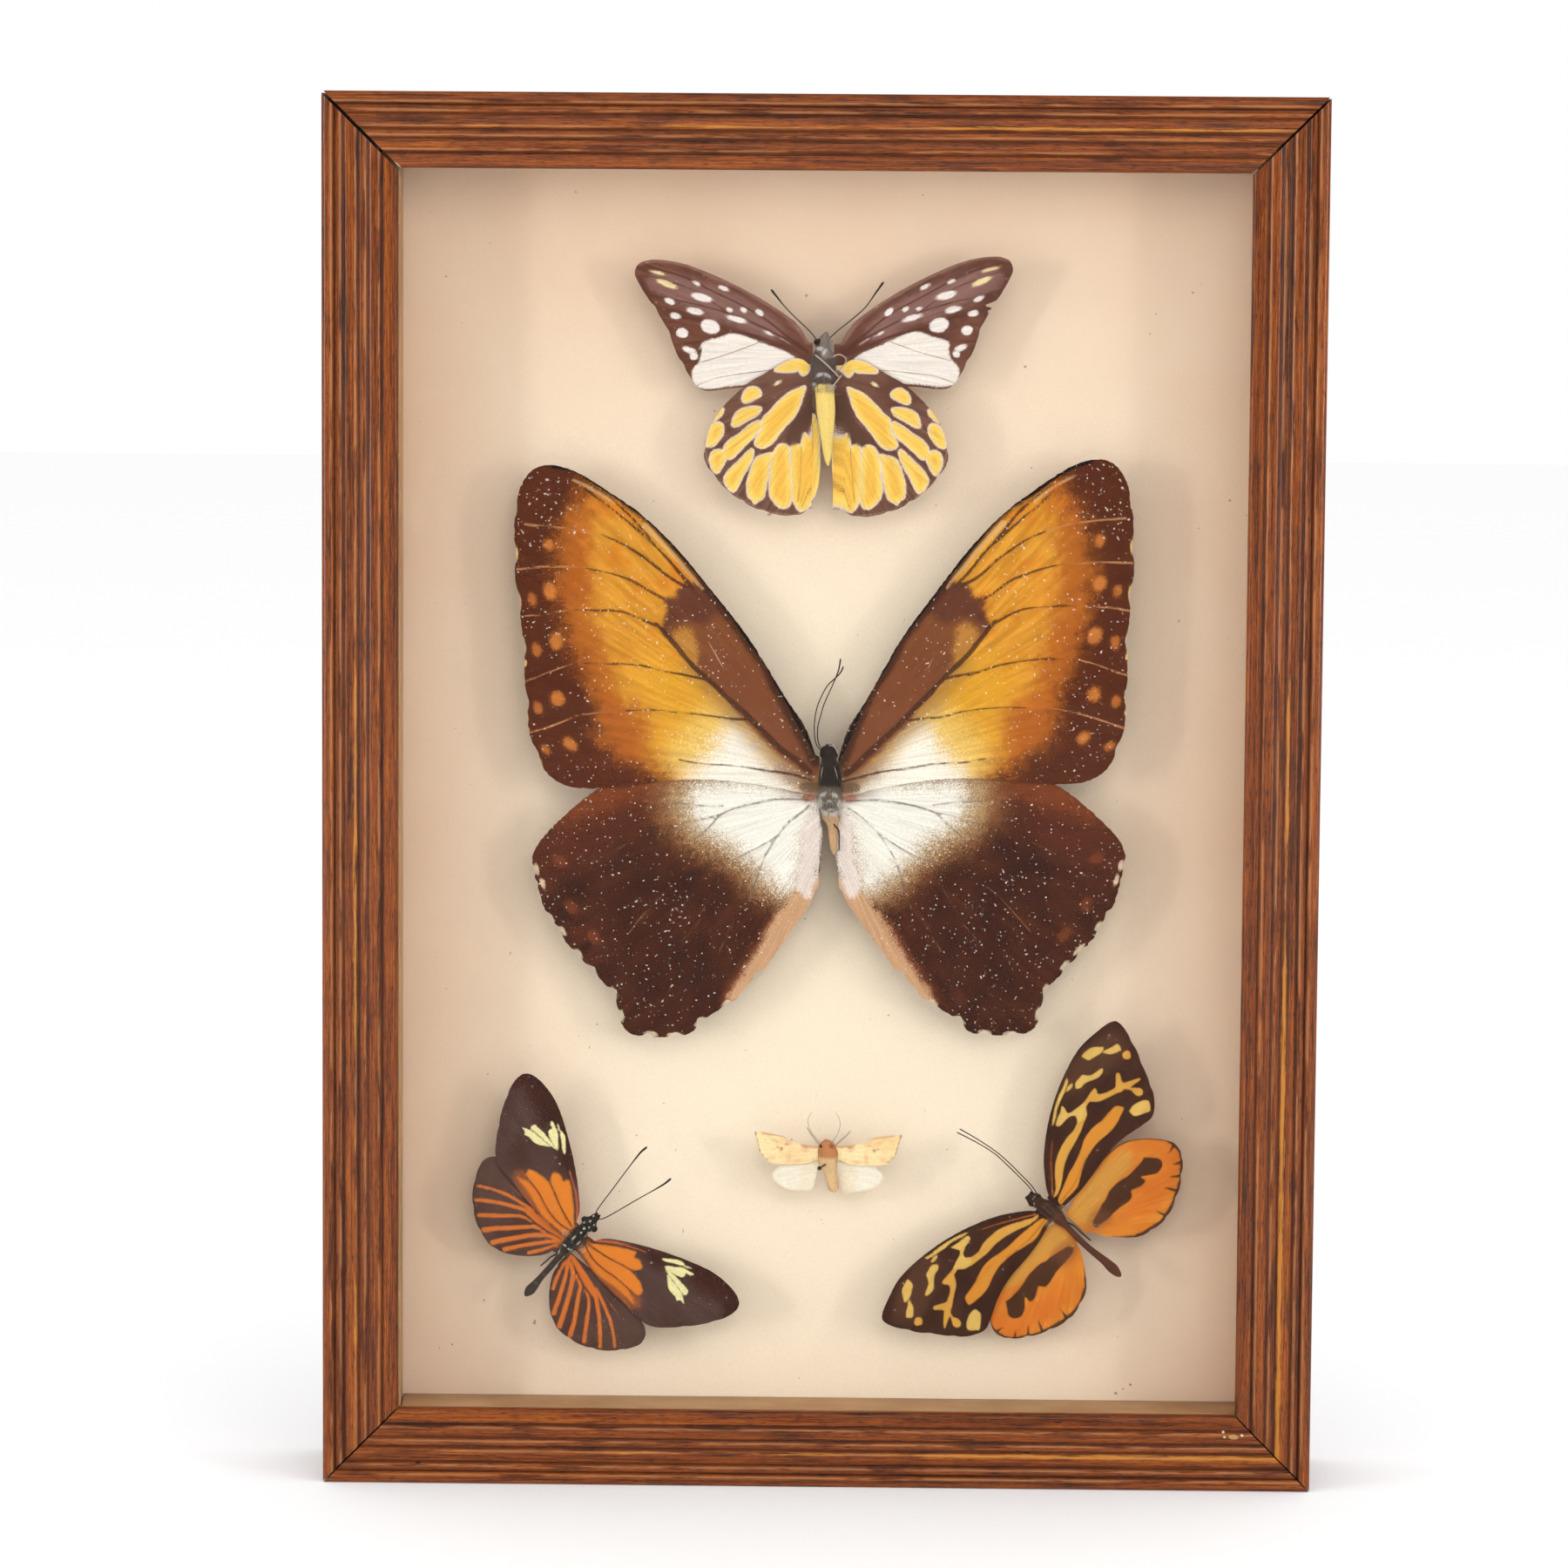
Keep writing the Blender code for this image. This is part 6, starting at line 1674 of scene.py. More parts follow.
DESIGNS["banded"] = {"fore": (BANDED_FORE, BANDED_FORE_PAINT), "hind": (BANDED_HIND, BANDED_HIND_PAINT)}
mount_wings("banded")

# %% [markdown]
# ### The tiger butterfly
# Dark brown forewings are marbled with yellow and orange. The orange hindwings have one long
# dark blotch and a dark rim.

# %% Tiger forewing
TIGER_FORE = {
    "fray": 0.06, "ridge": 0.06, "sag": 0.12, "drift": 0.2,
    "dips": [(46.2, 9.4, 0.25, 1.2), (43, 4.6, 0.25, 1.2), (39.6, -0.4, 0.25, 1.2)],
    "veins": [
        ([(3.2, 5.6), (9, 9.6), (15, 12.6), (24, 16.2), (32, 18.2), (41, 18)], 0.2, 0.12),
        ([(3.2, 4.7), (9, 6.0), (15, 7.4), (21, 8), (26.5, 11), (33, 13.6), (44, 15)], 0.18, 0.12),
        ([(26.5, 11), (34, 9.8), (45, 9)], 0.16, 0.1), ([(24, 8.6), (30.5, 7.6), (42, 3.6)], 0.16, 0.1),
        ([(3.2, 3.0), (8, 2.6), (13, 3.0), (20, 5.2), (30, 4.6), (38.6, -1)], 0.18, 0.1),
        ([(3.2, 1.8), (12, 1.2), (22, 1.0), (31, -1.2), (35.4, -3.4)], 0.16, 0.1),
    ],
    "marks": {
        "paler": inside([(28, 18.4), (36, 19), (44, 16), (46, 12), (41, 9), (33, 12), (28, 15)]),
        "streaks": inside(
            [(24, 10.2), (22, 9.9), (20, 9.6), (17.5, 10.1), (14, 10), (11, 9.2), (8, 7.6), (5, 5.6),
             (3.0, 5.1), (4.5, 4.7), (7, 5.3), (10, 6.6), (13, 7.5), (16, 7.9), (19, 7.9), (22, 8.3),
             (24.5, 8.9), (26, 9.8)],
            [(26.3, 11.6), (28, 11.3), (31.5, 11.1), (31.7, 10.4), (31, 9.4), (32, 8.1), (33.5, 7.2),
             (34.6, 6.8), (36.2, 7.6), (37.6, 8.3), (38, 7.5), (37, 6.5), (36.2, 5.2), (34.8, 4.9),
             (33.5, 5.8), (31.8, 6.8), (30, 8), (28.8, 9.2), (28.3, 10.2), (27.0, 10.4)],
            [(36.6, 5.5), (39, 3.6), (39.7, 2.6), (38.2, 3.1), (36.7, 3.7), (36.9, 2.9), (37.7, 1.6),
             (37.5, 0.5), (36.7, 0.1), (35.9, 0.6), (35.7, 1.8), (36.2, 3), (35.8, 4.2), (35.2, 5.1)],
            [(41.8, 8.5), (42.6, 7.5), (43.8, 8.1), (43.9, 9.1), (42.9, 9.6), (42.0, 9.3)]),
        "yellow": inside(
            [(36.9, 17.8), (38.5, 17.5), (40, 16.8), (41, 15.3), (41.6, 14.3), (40, 14.2), (38.5, 15),
             (37.2, 15.7), (36.8, 16.6)],
            [(40.5, 14.0), (42, 13), (43.3, 12.3), (44.1, 11.7), (43.2, 10.5), (41.8, 11.3), (40.9, 12.3)],
            [(29.2, 14.8), (30.2, 15.7), (31.8, 15.5), (33, 15.1), (33.5, 14), (34.5, 13), (36.7, 12),
             (36.3, 11.4), (34.5, 11.4), (33, 12.5), (31.5, 13.7), (30, 14)],
            [(30, 18.2), (28, 17.8), (24, 17.1), (20.5, 15.9), (18.2, 14.8), (20, 15), (22.5, 16.0),
             (25.5, 16.5), (28.5, 17.1), (29.8, 17.6)],
            [(29.8, 16.5), (28.5, 16.8), (27.4, 16.5), (28.3, 16), (29.3, 16)],
            [(23.8, 15.3), (22, 14.8), (19.2, 14.4), (18.9, 13.4), (20.5, 12.9), (21.8, 12.8), (22.9, 13.4)],
            [(22.4, 13.8), (21.2, 12.9), (22.8, 12.2), (23.3, 11), (22.4, 9.9), (24, 8.9), (26, 9.8),
             (27.2, 11.2), (25, 12.1), (23.4, 12.7)],
            [(31.0, -0.2), (31.3, 0.5), (33, 0.6), (35, -0.5), (36, -1.9), (35.2, -2.9), (34.2, -3.8),
             (33.3, -3.3), (32, -2.2), (31, -1.2)]),
        "orange": inside(
            [(31.4, 2.6), (30.7, 4.2), (28.5, 4.7), (26, 5), (23, 6), (20, 6.3), (17, 5.7), (14, 5.2),
             (10, 5), (7, 4.5), (4, 4), (2.8, 3.4), (2.8, 2.5), (5, 2.2), (8, 1.5), (10.5, 2), (13, 2.8),
             (16, 3.4), (19, 3.4), (22, 2.8), (25, 1.8), (27, 1.6), (29.5, 1.9), (31, 2.1)]),
        "red": along(([(15.2, 12.8), (11, 10.6), (7, 7.9), (3.6, 5.6)], 0.1, 0.2)),
        "vein_lines": along(([(2.8, 3.1), (8, 2.6), (13, 3.1), (16.4, 3.8)], 0.14, 0.1),
                            ([(30.2, 4.4), (26, 4.9), (20, 5.4)], 0.05, 0.08)),
        "flecks": both(dabs((19, 2.2, 0.25, 0.2, 0), (44.8, 14.8, 0.25, 0.2, 0)),
                       sprinkled(70, TIGER_FOREWING, 0.05, 0.16)),
    },
}
TIGER_FORE_PAINT = paint(
    "tiger_forewing_scales", (tone(62, 34, 22), tone(70, 40, 27), tone(56, 29, 18)),
    [
        ("paler", tone(92, 58, 40), 2.4, 1.0, 0.7),
        ("streaks", tone(214, 156, 66), 0.3, 0.09, 0.97),
        ("yellow", tone(220, 178, 92), 0.3, 0.09, 0.97),
        ("orange", tone(214, 138, 46), 0.3, 0.1, 0.97),
        ("red", tone(176, 90, 40), 0.15, 0.05, 0.85),
        ("vein_lines", tone(140, 70, 30), 0.1, 0.03, 0.8),
        ("flecks", tone(200, 180, 160), 0.05, 0.02, 0.7),
    ], streak=0.2,
)

# %% Tiger hindwing
TIGER_HIND = {
    "fray": 0.06, "ridge": 0.06, "sag": 0.12, "drift": 0.2,
    "dips": [(31.6, -11.2, 0.25, 0.8), (28, -14.2, 0.3, 0.9), (23, -17, 0.3, 0.9), (18, -18.5, 0.3, 0.9),
             (13, -18.2, 0.25, 0.9)],
    "veins": [
        ([(2.6, -1.6), (10, -2.6), (18, -3.2), (26, -4.6), (31.6, -6.6)], 0.16, 0.1),
        ([(2.6, -2.2), (10, -6), (16.8, -7.6), (24, -10), (30, -12)], 0.14, 0.1),
        ([(16.8, -7.6), (21, -11), (25.6, -15.4)], 0.12, 0.1),
        ([(10, -6), (14.5, -11), (18, -17.6)], 0.12, 0.1),
        ([(3.6, -3.6), (8, -10), (11.6, -17)], 0.12, 0.1), ([(2.4, -3), (4.6, -8), (6.6, -13)], 0.12, 0.1),
    ],
    "marks": {
        "olive": inside([(3, 0.5), (12, 1.6), (20, 1.4), (24, -1), (20, -3.6), (12, -3.8), (6, -5), (3, -6)]),
        "deep": inside([(24, 0), (33, -4), (33, -12), (27, -14), (22, -15), (15, -15), (12, -10), (20, -9),
                        (28, -8), (28, -4)]),
        "blotch": inside(
            [(4, -7), (4.5, -6), (6, -5.5), (8, -5), (9.5, -4.6), (11, -4.5), (12, -4), (13.5, -3.7),
             (16.5, -3.7), (18.5, -4.3), (20.5, -4.5), (22.5, -4.5), (24.5, -4.4), (25, -4.0), (25.6, -4.9),
             (26.9, -6.5), (27.2, -7.6), (26.6, -8.8), (25.5, -9.4), (24, -9.2), (22.5, -8.2), (21.2, -7.0),
             (20.9, -7.4), (21.1, -8.2), (20.5, -8.7), (19, -8.6), (17.2, -7.6), (16.6, -7.7), (15.8, -8.8),
             (14, -8.9), (12.5, -8.6), (10, -8.2), (8, -8.2), (6, -7.9), (4.5, -7.7)]),
        "blotch_faded": inside([(3, -8), (3, -5), (8.5, -4), (8.5, -9)]),
        "rim": along(([(31.8, -3.8), (32.7, -7.2), (32.0, -10.6), (29.6, -13.2), (25.5, -16.0), (20.5, -18.1),
                       (16.8, -18.8), (12.5, -18.1), (9.4, -16.8)], 0.75, 0.9),
                     ([(29.6, -13.2), (25.5, -15.8), (20.5, -17.8), (16, -18.6)], 0.7, 0.7),
                     ([(9.4, -16.8), (5.4, -12.4)], 0.4, 0.1)),
        "teeth": along(([(32, -7.6), (30.0, -8.1)], 0.4, 0.08), ([(30.4, -12), (28.6, -10.8)], 0.5, 0.08),
                       ([(27.6, -14), (25.8, -12.4)], 0.5, 0.08), ([(24.4, -15.8), (23.0, -13.2)], 0.5, 0.08),
                       ([(17.8, -17.6), (17.3, -15.4)], 0.4, 0.08)),
        "front_line": along(([(8.0, 1.9), (16.0, 2.9), (22.5, 2.5), (25.8, 1.0), (29.1, -1.8), (31.6, -5.0)],
                             0.3, 0.3)),
        "flecks": sprinkled(60, TIGER_HINDWING, 0.05, 0.16),
    },
}
TIGER_HIND_PAINT = paint(
    "tiger_hindwing_scales", (tone(212, 126, 40), tone(222, 136, 46), tone(206, 116, 36)),
    [
        ("olive", tone(200, 148, 66), 2.6, 0.7, 0.75),
        ("deep", tone(210, 106, 34), 3.0, 0.8, 0.6),
        ("blotch", tone(60, 34, 22), 0.35, 0.14, 0.96),
        ("blotch_faded", tone(116, 70, 46), 1.6, 0.4, 0.45),
        ("teeth", tone(66, 38, 26), 0.3, 0.1, 0.9),
        ("rim", tone(74, 44, 32), 0.4, 0.18, 0.96),
        ("front_line", tone(96, 58, 38), 0.2, 0.06, 0.8),
        ("flecks", tone(240, 216, 180), 0.05, 0.02, 0.6),
    ], streak=0.25,
)
DESIGNS["tiger"] = {"fore": (TIGER_FORE, TIGER_FORE_PAINT), "hind": (TIGER_HIND, TIGER_HIND_PAINT)}
mount_wings("tiger")

# %% [markdown]
# ### The moth
# Small, with buff forewings that are mottled with pink and brown, and thin whitish hindwings.

# %% Moth wings
MOTH_FORE = {
    "fray": 0.05, "ridge": 0.05, "sag": 0.08, "drift": 0.2,
    "dips": [],
    "veins": [
        ([(3.2, 4.2), (8, 4.6), (12, 6.2), (17.4, 7.4)], 0.1, 0.06),
        ([(3.2, 3.6), (8, 3.6), (12, 4.6), (17.0, 5.0)], 0.1, 0.06),
        ([(3.2, 3.0), (8, 2.4), (12, 2.6), (16.4, 2.8)], 0.1, 0.06),
        ([(3.2, 2.2), (8, 1.2), (14.6, 1.2)], 0.1, 0.06),
    ],
    "marks": {
        "costa": along(([(8.4, 5.9), (10.8, 6.8), (13, 7.2), (16, 7.7)], 0.25, 0.35),
                       ([(3.2, 4.5), (6.4, 4.9)], 0.5, 0.3)),
        "pink": dabs((5.6, 3.9, 1.0, 0.8, 0), (9.8, 5.6, 0.9, 0.5, 30), (9.6, 1.6, 1.3, 0.5, 100),
                     (7.2, 0.9, 0.9, 0.3, 0), (12.6, 5.6, 1.0, 0.4, 30), (13.8, 1.6, 0.8, 0.5, 0)),
        "dots": dabs((11.5, 3.8, 0.42, 0.4, 0), (5.5, 4.4, 0.7, 0.25, 10), (10.2, 4.9, 0.4, 0.22, 0),
                     (12.4, 4.2, 0.25, 0.2, 0)),
        "margin": both(along(([(18.0, 7.9), (17.5, 6.2), (17.1, 4.6), (16.7, 3.0), (15.5, 1.5)], 0.16, 0.12)),
                       dabs((17.7, 7.6, 0.5, 0.2, 80), (17.3, 5.9, 0.4, 0.2, 80), (17.05, 4.6, 0.4, 0.2, 80),
                            (16.7, 3.4, 0.35, 0.2, 75), (16.0, 2.2, 0.35, 0.2, 50),
                            (15.0, 1.2, 0.35, 0.2, 40))),
        "freckles": sprinkled(160, MOTH_FOREWING, 0.06, 0.16),
    },
}
MOTH_FORE_PAINT = paint(
    "moth_forewing_scales", (tone(250, 220, 162), tone(252, 226, 174), tone(246, 208, 150)),
    [
        ("freckles", tone(226, 178, 128), 0.1, 0.05, 0.55),
        ("pink", tone(232, 182, 142), 0.7, 0.3, 0.75),
        ("costa", tone(206, 152, 108), 0.3, 0.15, 0.75),
        ("dots", tone(190, 134, 98), 0.25, 0.1, 0.85),
        ("margin", tone(170, 128, 88), 0.14, 0.08, 0.85),
    ], streak=0.12,
)
MOTH_VEINS = [[(3.4, -1.4), (8, -1.6), (13, -2.6)], [(3.4, -1.8), (8, -3.2), (12.4, -4.8)]]
MOTH_HIND = {
    "fray": 0.05, "ridge": 0.04, "sag": 0.08, "drift": 0.2,
    "dips": [],
    "veins": [(MOTH_VEINS[0], 0.08, 0.05), (MOTH_VEINS[1], 0.08, 0.05),
              ([(3.4, -2.2), (6.6, -4.2), (9.4, -6.2)], 0.08, 0.05)],
    "marks": {
        "edge": along(([(10.0, 0.1), (12.6, -1.3), (13.6, -2.9), (12.9, -4.5), (11.0, -5.8), (8.6, -6.5),
                        (5.7, -6.8), (3.9, -6.3)], 0.3, 0.3)),
        "lines": along((MOTH_VEINS[0], 0.05, 0.04), (MOTH_VEINS[1], 0.05, 0.04)),
        "buff": inside([(3, 1), (6, 1), (7, -7), (3, -7)]),
    },
}
MOTH_HIND_PAINT = paint(
    "moth_hindwing_scales", (tone(242, 230, 208), tone(246, 236, 218), tone(238, 224, 200)),
    [
        ("buff", tone(238, 216, 180), 1.6, 0.4, 0.5),
        ("lines", tone(214, 196, 164), 0.1, 0.05, 0.6),
        ("edge", tone(232, 212, 178), 0.5, 0.15, 0.7),
    ], streak=0.08,
)
DESIGNS["moth"] = {"fore": (MOTH_FORE, MOTH_FORE_PAINT), "hind": (MOTH_HIND, MOTH_HIND_PAINT)}
mount_wings("moth")

# %% [markdown]
# ## Bodies
# Head, thorax and abdomen of a dried insect are one hard shell, and the antennae and legs are thin
# jointed tubes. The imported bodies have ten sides. Here the same sections are swept smoothly, and
# rounded eyes, tapered limbs and the thin fold of the abdomen are added. Marks are painted on the
# shell in the same way as on the wings.

# %% Sections and limbs of the five bodies
# sections: v, u, half width, half depth and w, from head to tail.  limbs: points (u, v, w) with
# the radius at root and tip.  balls: u, v, w and the three half sizes of eyes and knobs.
BODIES = {
    "great": {
        "sections": [
            (8.75, -0.2, 0.25, 0.25, 0.2), (8.5, -0.2, 1.0, 0.9, 0.2), (7.8, -0.2, 1.9, 1.6, 0.2),
            (6.6, -0.2, 2.25, 2.0, 0.1), (5.4, -0.2, 1.9, 1.8, 0.0), (4.6, -0.15, 1.85, 1.9, 0.0),
            (3.6, 0.0, 2.2, 2.3, -0.1), (2.2, 0.1, 2.6, 2.9, -0.3), (0.4, 0.1, 2.8, 3.1, -0.3),
            (-1.5, 0.1, 2.9, 3.1, -0.3), (-3.4, 0.1, 2.9, 2.9, -0.3), (-5.0, 0.1, 2.8, 2.8, -0.3),
            (-6.6, 0.2, 2.4, 2.5, -0.3), (-8.2, 0.3, 1.9, 2.1, -0.3), (-9.2, 0.5, 2.1, 1.7, -0.2),
            (-10.0, 0.6, 2.0, 1.3, -0.1), (-10.7, 0.8, 1.5, 0.9, 0.0), (-12.5, 1.0, 1.25, 0.5, 0.1),
            (-15.0, 1.1, 1.05, 0.3, 0.15), (-17.4, 1.2, 0.7, 0.2, 0.2), (-18.4, 1.25, 0.2, 0.1, 0.2),
        ],
        "limbs": [
            ([(-1.3, 6.6, 1.2), (-3.3, 9.0, 1.9), (-3.8, 13.4, 2.0), (-3.3, 17.4, 2.1),
              (-2.3, 20.3, 2.2), (-0.7, 23.3, 2.3), (1.3, 25.3, 2.4), (2.6, 26.8, 2.4),
              (3.2, 28.2, 2.4)], 0.13, 0.2),
            ([(-1.0, 6.9, 0.6), (-2.7, 8.9, 0.9), (-3.0, 12.6, 0.9), (-2.3, 15.8, 0.9),
              (-1.3, 19.1, 1.0), (0.1, 22.3, 1.1), (1.3, 25.1, 1.1), (2.1, 27.4, 1.1),
              (2.5, 30.0, 1.1)], 0.13, 0.2),
            ([(0.4, -9.2, -0.2), (1.4, -11.2, 0.9), (2.4, -12.6, 0.9), (2.5, -17.4, 0.6)], 0.22, 0.12),
            ([(-0.6, 8.2, 0.9), (0.2, 8.65, 1.3), (1.2, 8.2, 1.5), (1.9, 7.0, 1.5), (2.15, 5.6, 1.2)],
             0.14, 0.1),
            ([(-1.6, 3.4, 1.7), (-1.9, 2.2, 2.1), (-2.0, 0.6, 2.1)], 0.1, 0.06),
            ([(1.1, 3.4, 1.9), (1.6, 2.2, 2.2), (2.0, 0.4, 2.0)], 0.1, 0.06),
        ],
        "pale_limbs": (3, 4, 5),
        "balls": [(-1.7, 6.3, 0.9, 0.75, 0.85, 0.8), (1.5, 6.3, 0.9, 0.75, 0.85, 0.8),
                  (-0.6, 8.3, 1.0, 0.35, 0.75, 0.4), (0.3, 8.3, 1.0, 0.35, 0.75, 0.4)],
        "pads": [(-4.6, -1.6, 0.7, 2.6, 1.3, 0.35), (4.8, -1.6, 0.7, 2.6, 1.3, 0.35),
                 (-4.9, -4.2, 0.7, 1.5, 0.8, 0.4), (4.9, -4.2, 0.7, 1.5, 0.8, 0.4)],
    },
    "spotted": {
        "sections": [
            (8.1, 0.7, 0.25, 0.25, 0.4), (7.4, 0.5, 0.8, 0.7, 0.4), (6.8, 0.3, 1.1, 1.0, 0.4),
            (5.4, -0.2, 1.7, 1.5, 0.3), (4.0, 0.0, 1.7, 1.6, 0.1), (2.5, 0.0, 2.6, 2.4, -0.1),
            (0.8, 0.0, 3.0, 2.8, -0.1), (-1.0, 0.0, 3.0, 2.9, -0.1), (-3.0, 0.0, 2.9, 2.8, 0.0),
            (-4.5, 0.1, 2.8, 2.6, 0.1), (-6.6, 0.4, 2.35, 1.9, 0.7), (-8.5, 0.6, 2.3, 1.3, 2.1),
            (-10.2, 0.7, 2.3, 1.3, 2.1), (-12.0, 0.8, 2.2, 1.2, 2.1), (-14.5, 0.9, 1.9, 1.1, 2.0),
            (-17.0, 1.0, 1.6, 1.0, 2.0), (-21.0, 1.2, 1.1, 0.8, 1.9), (-23.4, 1.3, 0.6, 0.5, 1.8),
            (-24.4, 1.4, 0.2, 0.2, 1.7),
        ],
        "limbs": [
            ([(-1.2, 5.6, 0.8), (-3.5, 8.4, 1.2), (-6.5, 11.2, 1.2), (-9.3, 14.0, 1.1),
              (-11.3, 16.4, 1.0), (-12.8, 18.3, 1.0)], 0.14, 0.32),
            ([(0.6, 5.6, -0.3), (3.2, 8.0, -1.3), (6.4, 10.6, -1.6), (10.0, 13.8, -1.6),
              (12.4, 17.2, -1.3), (14.5, 20.2, -1.1)], 0.14, 0.32),
            ([(-2.0, 2.6, 1.6), (-0.4, 1.4, 3.0), (1.9, -0.7, 3.0), (4.0, -2.9, 1.7)], 0.24, 0.18),
            ([(0.9, -4.6, 2.2), (1.4, -6.2, 3.3), (3.0, -4.2, 2.8), (4.6, -2.2, 2.2)], 0.2, 0.16),
            ([(2.0, 1.8, 1.2), (3.9, 2.7, 1.6), (5.6, 1.3, 1.5), (3.9, -1.2, 1.5)], 0.18, 0.12),
        ],
        "pale_limbs": (2, 3, 4),
        "balls": [(-1.35, 5.6, 1.1, 1.0, 0.85, 0.8)],
        "pads": [(1.2, 5.0, 1.5, 0.9, 2.2, 0.4), (-0.6, 3.9, 1.6, 0.8, 0.6, 0.4)],
    },
    "banded": {
        "sections": [
            (10.6, 0.2, 0.25, 0.25, 0.2), (10.2, 0.2, 0.8, 0.7, 0.2), (9.6, 0.15, 1.05, 1.0, 0.1),
            (8.9, 0.1, 1.15, 1.15, 0.1), (8.2, 0.1, 1.6, 1.4, 0.0), (7.2, 0.2, 2.0, 1.5, 0.0),
            (6.2, 0.1, 1.55, 1.5, -0.1), (4.5, 0.0, 1.6, 1.9, -0.2), (3.0, 0.0, 1.85, 2.1, -0.2),
            (1.5, 0.0, 1.9, 2.1, -0.2), (0.0, 0.0, 1.7, 1.9, -0.2), (-1.5, 0.0, 1.4, 1.6, -0.2),
            (-3.4, 0.0, 1.0, 1.2, -0.1), (-4.6, 0.0, 0.78, 1.0, 0.0), (-6.0, 0.0, 0.75, 0.9, 0.0),
            (-8.5, 0.0, 0.78, 0.85, 0.05), (-11.0, 0.0, 0.8, 0.8, 0.1), (-12.2, 0.05, 0.95, 0.9, 0.1),
            (-13.0, 0.1, 1.05, 1.0, 0.1), (-14.8, 0.1, 1.25, 1.1, 0.1), (-16.1, 0.1, 0.8, 0.7, 0.1),
            (-16.8, 0.1, 0.25, 0.25, 0.1),
        ],
        "limbs": [
            ([(-0.2, 9.4, 0.4), (-0.9, 12.0, 1.0), (-1.3, 16.5, 1.4), (-1.8, 22.0, 1.6),
              (-2.2, 27.0, 1.6), (-2.3, 29.5, 1.5), (-2.0, 31.4, 1.4)], 0.13, 0.3),
            ([(0.6, 9.3, 0.4), (1.9, 11.0, 1.0), (3.1, 14.5, 1.3), (4.7, 19.5, 1.5),
              (6.4, 24.5, 1.5), (7.3, 27.4, 1.4), (7.6, 29.4, 1.4)], 0.13, 0.3),
            ([(-0.7, -3.2, -0.3), (-1.4, -5.4, -1.2), (-1.6, -7.0, -1.2), (-1.9, -8.9, -1.0)],
             0.2, 0.16),
        ],
        "pale_limbs": (),
        "balls": [(-1.6, 7.4, 0.4, 0.7, 0.8, 0.8), (1.9, 7.2, 0.4, 0.75, 0.85, 0.8),
                  (-0.2, 10.3, 0.7, 0.3, 0.6, 0.35), (0.6, 10.3, 0.7, 0.3, 0.6, 0.35)],
        "pads": [(-2.7, 2.0, 0.6, 1.0, 0.9, 0.3), (2.8, 1.6, 0.6, 1.0, 0.9, 0.3)],
    },
    "tiger": {
        "sections": [
            (10.4, -1.2, 0.3, 0.3, 0.3), (9.9, -1.15, 1.0, 0.8, 0.3), (9.4, -1.1, 1.5, 1.1, 0.2),
            (8.2, -1.0, 1.9, 1.4, 0.2), (7.0, -0.9, 1.5, 1.3, 0.0), (5.5, -0.5, 1.9, 1.8, -0.2),
            (4.0, -0.3, 2.1, 2.1, -0.2), (2.5, -0.2, 2.1, 2.1, -0.2), (0.2, -0.4, 1.4, 1.7, -0.2),
            (-2.0, -0.5, 0.8, 1.1, 0.0), (-4.0, -0.65, 0.7, 0.85, 0.05), (-6.0, -0.8, 0.75, 0.8, 0.1),
            (-10.0, -0.8, 0.8, 0.8, 0.1), (-14.5, -0.5, 1.0, 0.9, 0.1), (-16.4, -0.5, 1.2, 1.0, 0.1),
            (-17.8, -0.5, 1.25, 1.0, 0.1), (-19.5, -0.6, 0.8, 0.7, 0.1), (-20.3, -0.6, 0.25, 0.25, 0.1),
        ],
        "limbs": [
            ([(-0.5, 8.8, 0.4), (0.4, 11.0, 1.0), (0.7, 15.0, 1.3), (0.9, 20.0, 1.5),
              (0.8, 24.0, 1.5), (-0.2, 29.0, 1.4), (-1.6, 34.0, 1.2)], 0.13, 0.16),
            ([(0.2, 8.4, 0.0), (1.0, 11.0, 0.2), (1.3, 15.0, 0.4), (1.5, 20.0, 0.5),
              (1.3, 24.0, 0.5), (0.5, 29.0, 0.4), (-0.6, 34.0, 0.4)], 0.13, 0.16),
            ([(0.1, -0.8, -0.4), (0.9, -3.4, 1.0), (0.9, -6.0, 1.1), (1.0, -8.8, 0.9)], 0.22, 0.18),
        ],
        "pale_limbs": (),
        "balls": [(-2.0, 8.3, 0.5, 0.9, 0.95, 0.9), (0.1, 8.3, 0.5, 0.8, 0.9, 0.85),
                  (-1.9, 10.0, 0.7, 0.5, 0.6, 0.45), (-0.3, 10.0, 0.7, 0.45, 0.6, 0.45)],
        "pads": [(-3.0, 1.4, 0.6, 1.2, 1.0, 0.3), (2.1, 1.6, 0.6, 0.9, 1.2, 0.3)],
    },
    "moth": {
        "sections": [
            (6.2, -0.3, 0.25, 0.25, 0.3), (5.9, -0.25, 0.9, 0.8, 0.3), (5.4, -0.2, 1.6, 1.3, 0.2),
            (4.2, -0.1, 2.2, 1.6, 0.1), (2.6, 0.0, 2.45, 1.9, 0.0), (0.5, 0.0, 2.3, 1.9, -0.1),
            (-1.2, 0.4, 1.7, 1.5, 0.0), (-3.0, 0.9, 1.45, 1.3, 0.1), (-5.0, 1.3, 1.35, 1.1, 0.2),
            (-6.3, 1.5, 1.1, 0.8, 0.2), (-6.9, 1.6, 0.4, 0.3, 0.2),
        ],
        "limbs": [
            ([(-1.2, 4.8, 0.6), (-3.6, 7.4, 1.0), (-4.7, 9.6, 1.2), (-4.9, 11.6, 1.2),
              (-3.9, 13.2, 1.1)], 0.12, 0.07),
            ([(0.6, 5.0, 0.6), (2.3, 7.6, 1.0), (3.0, 10.0, 1.2), (2.6, 11.9, 1.2),
              (1.8, 13.2, 1.1)], 0.12, 0.07),
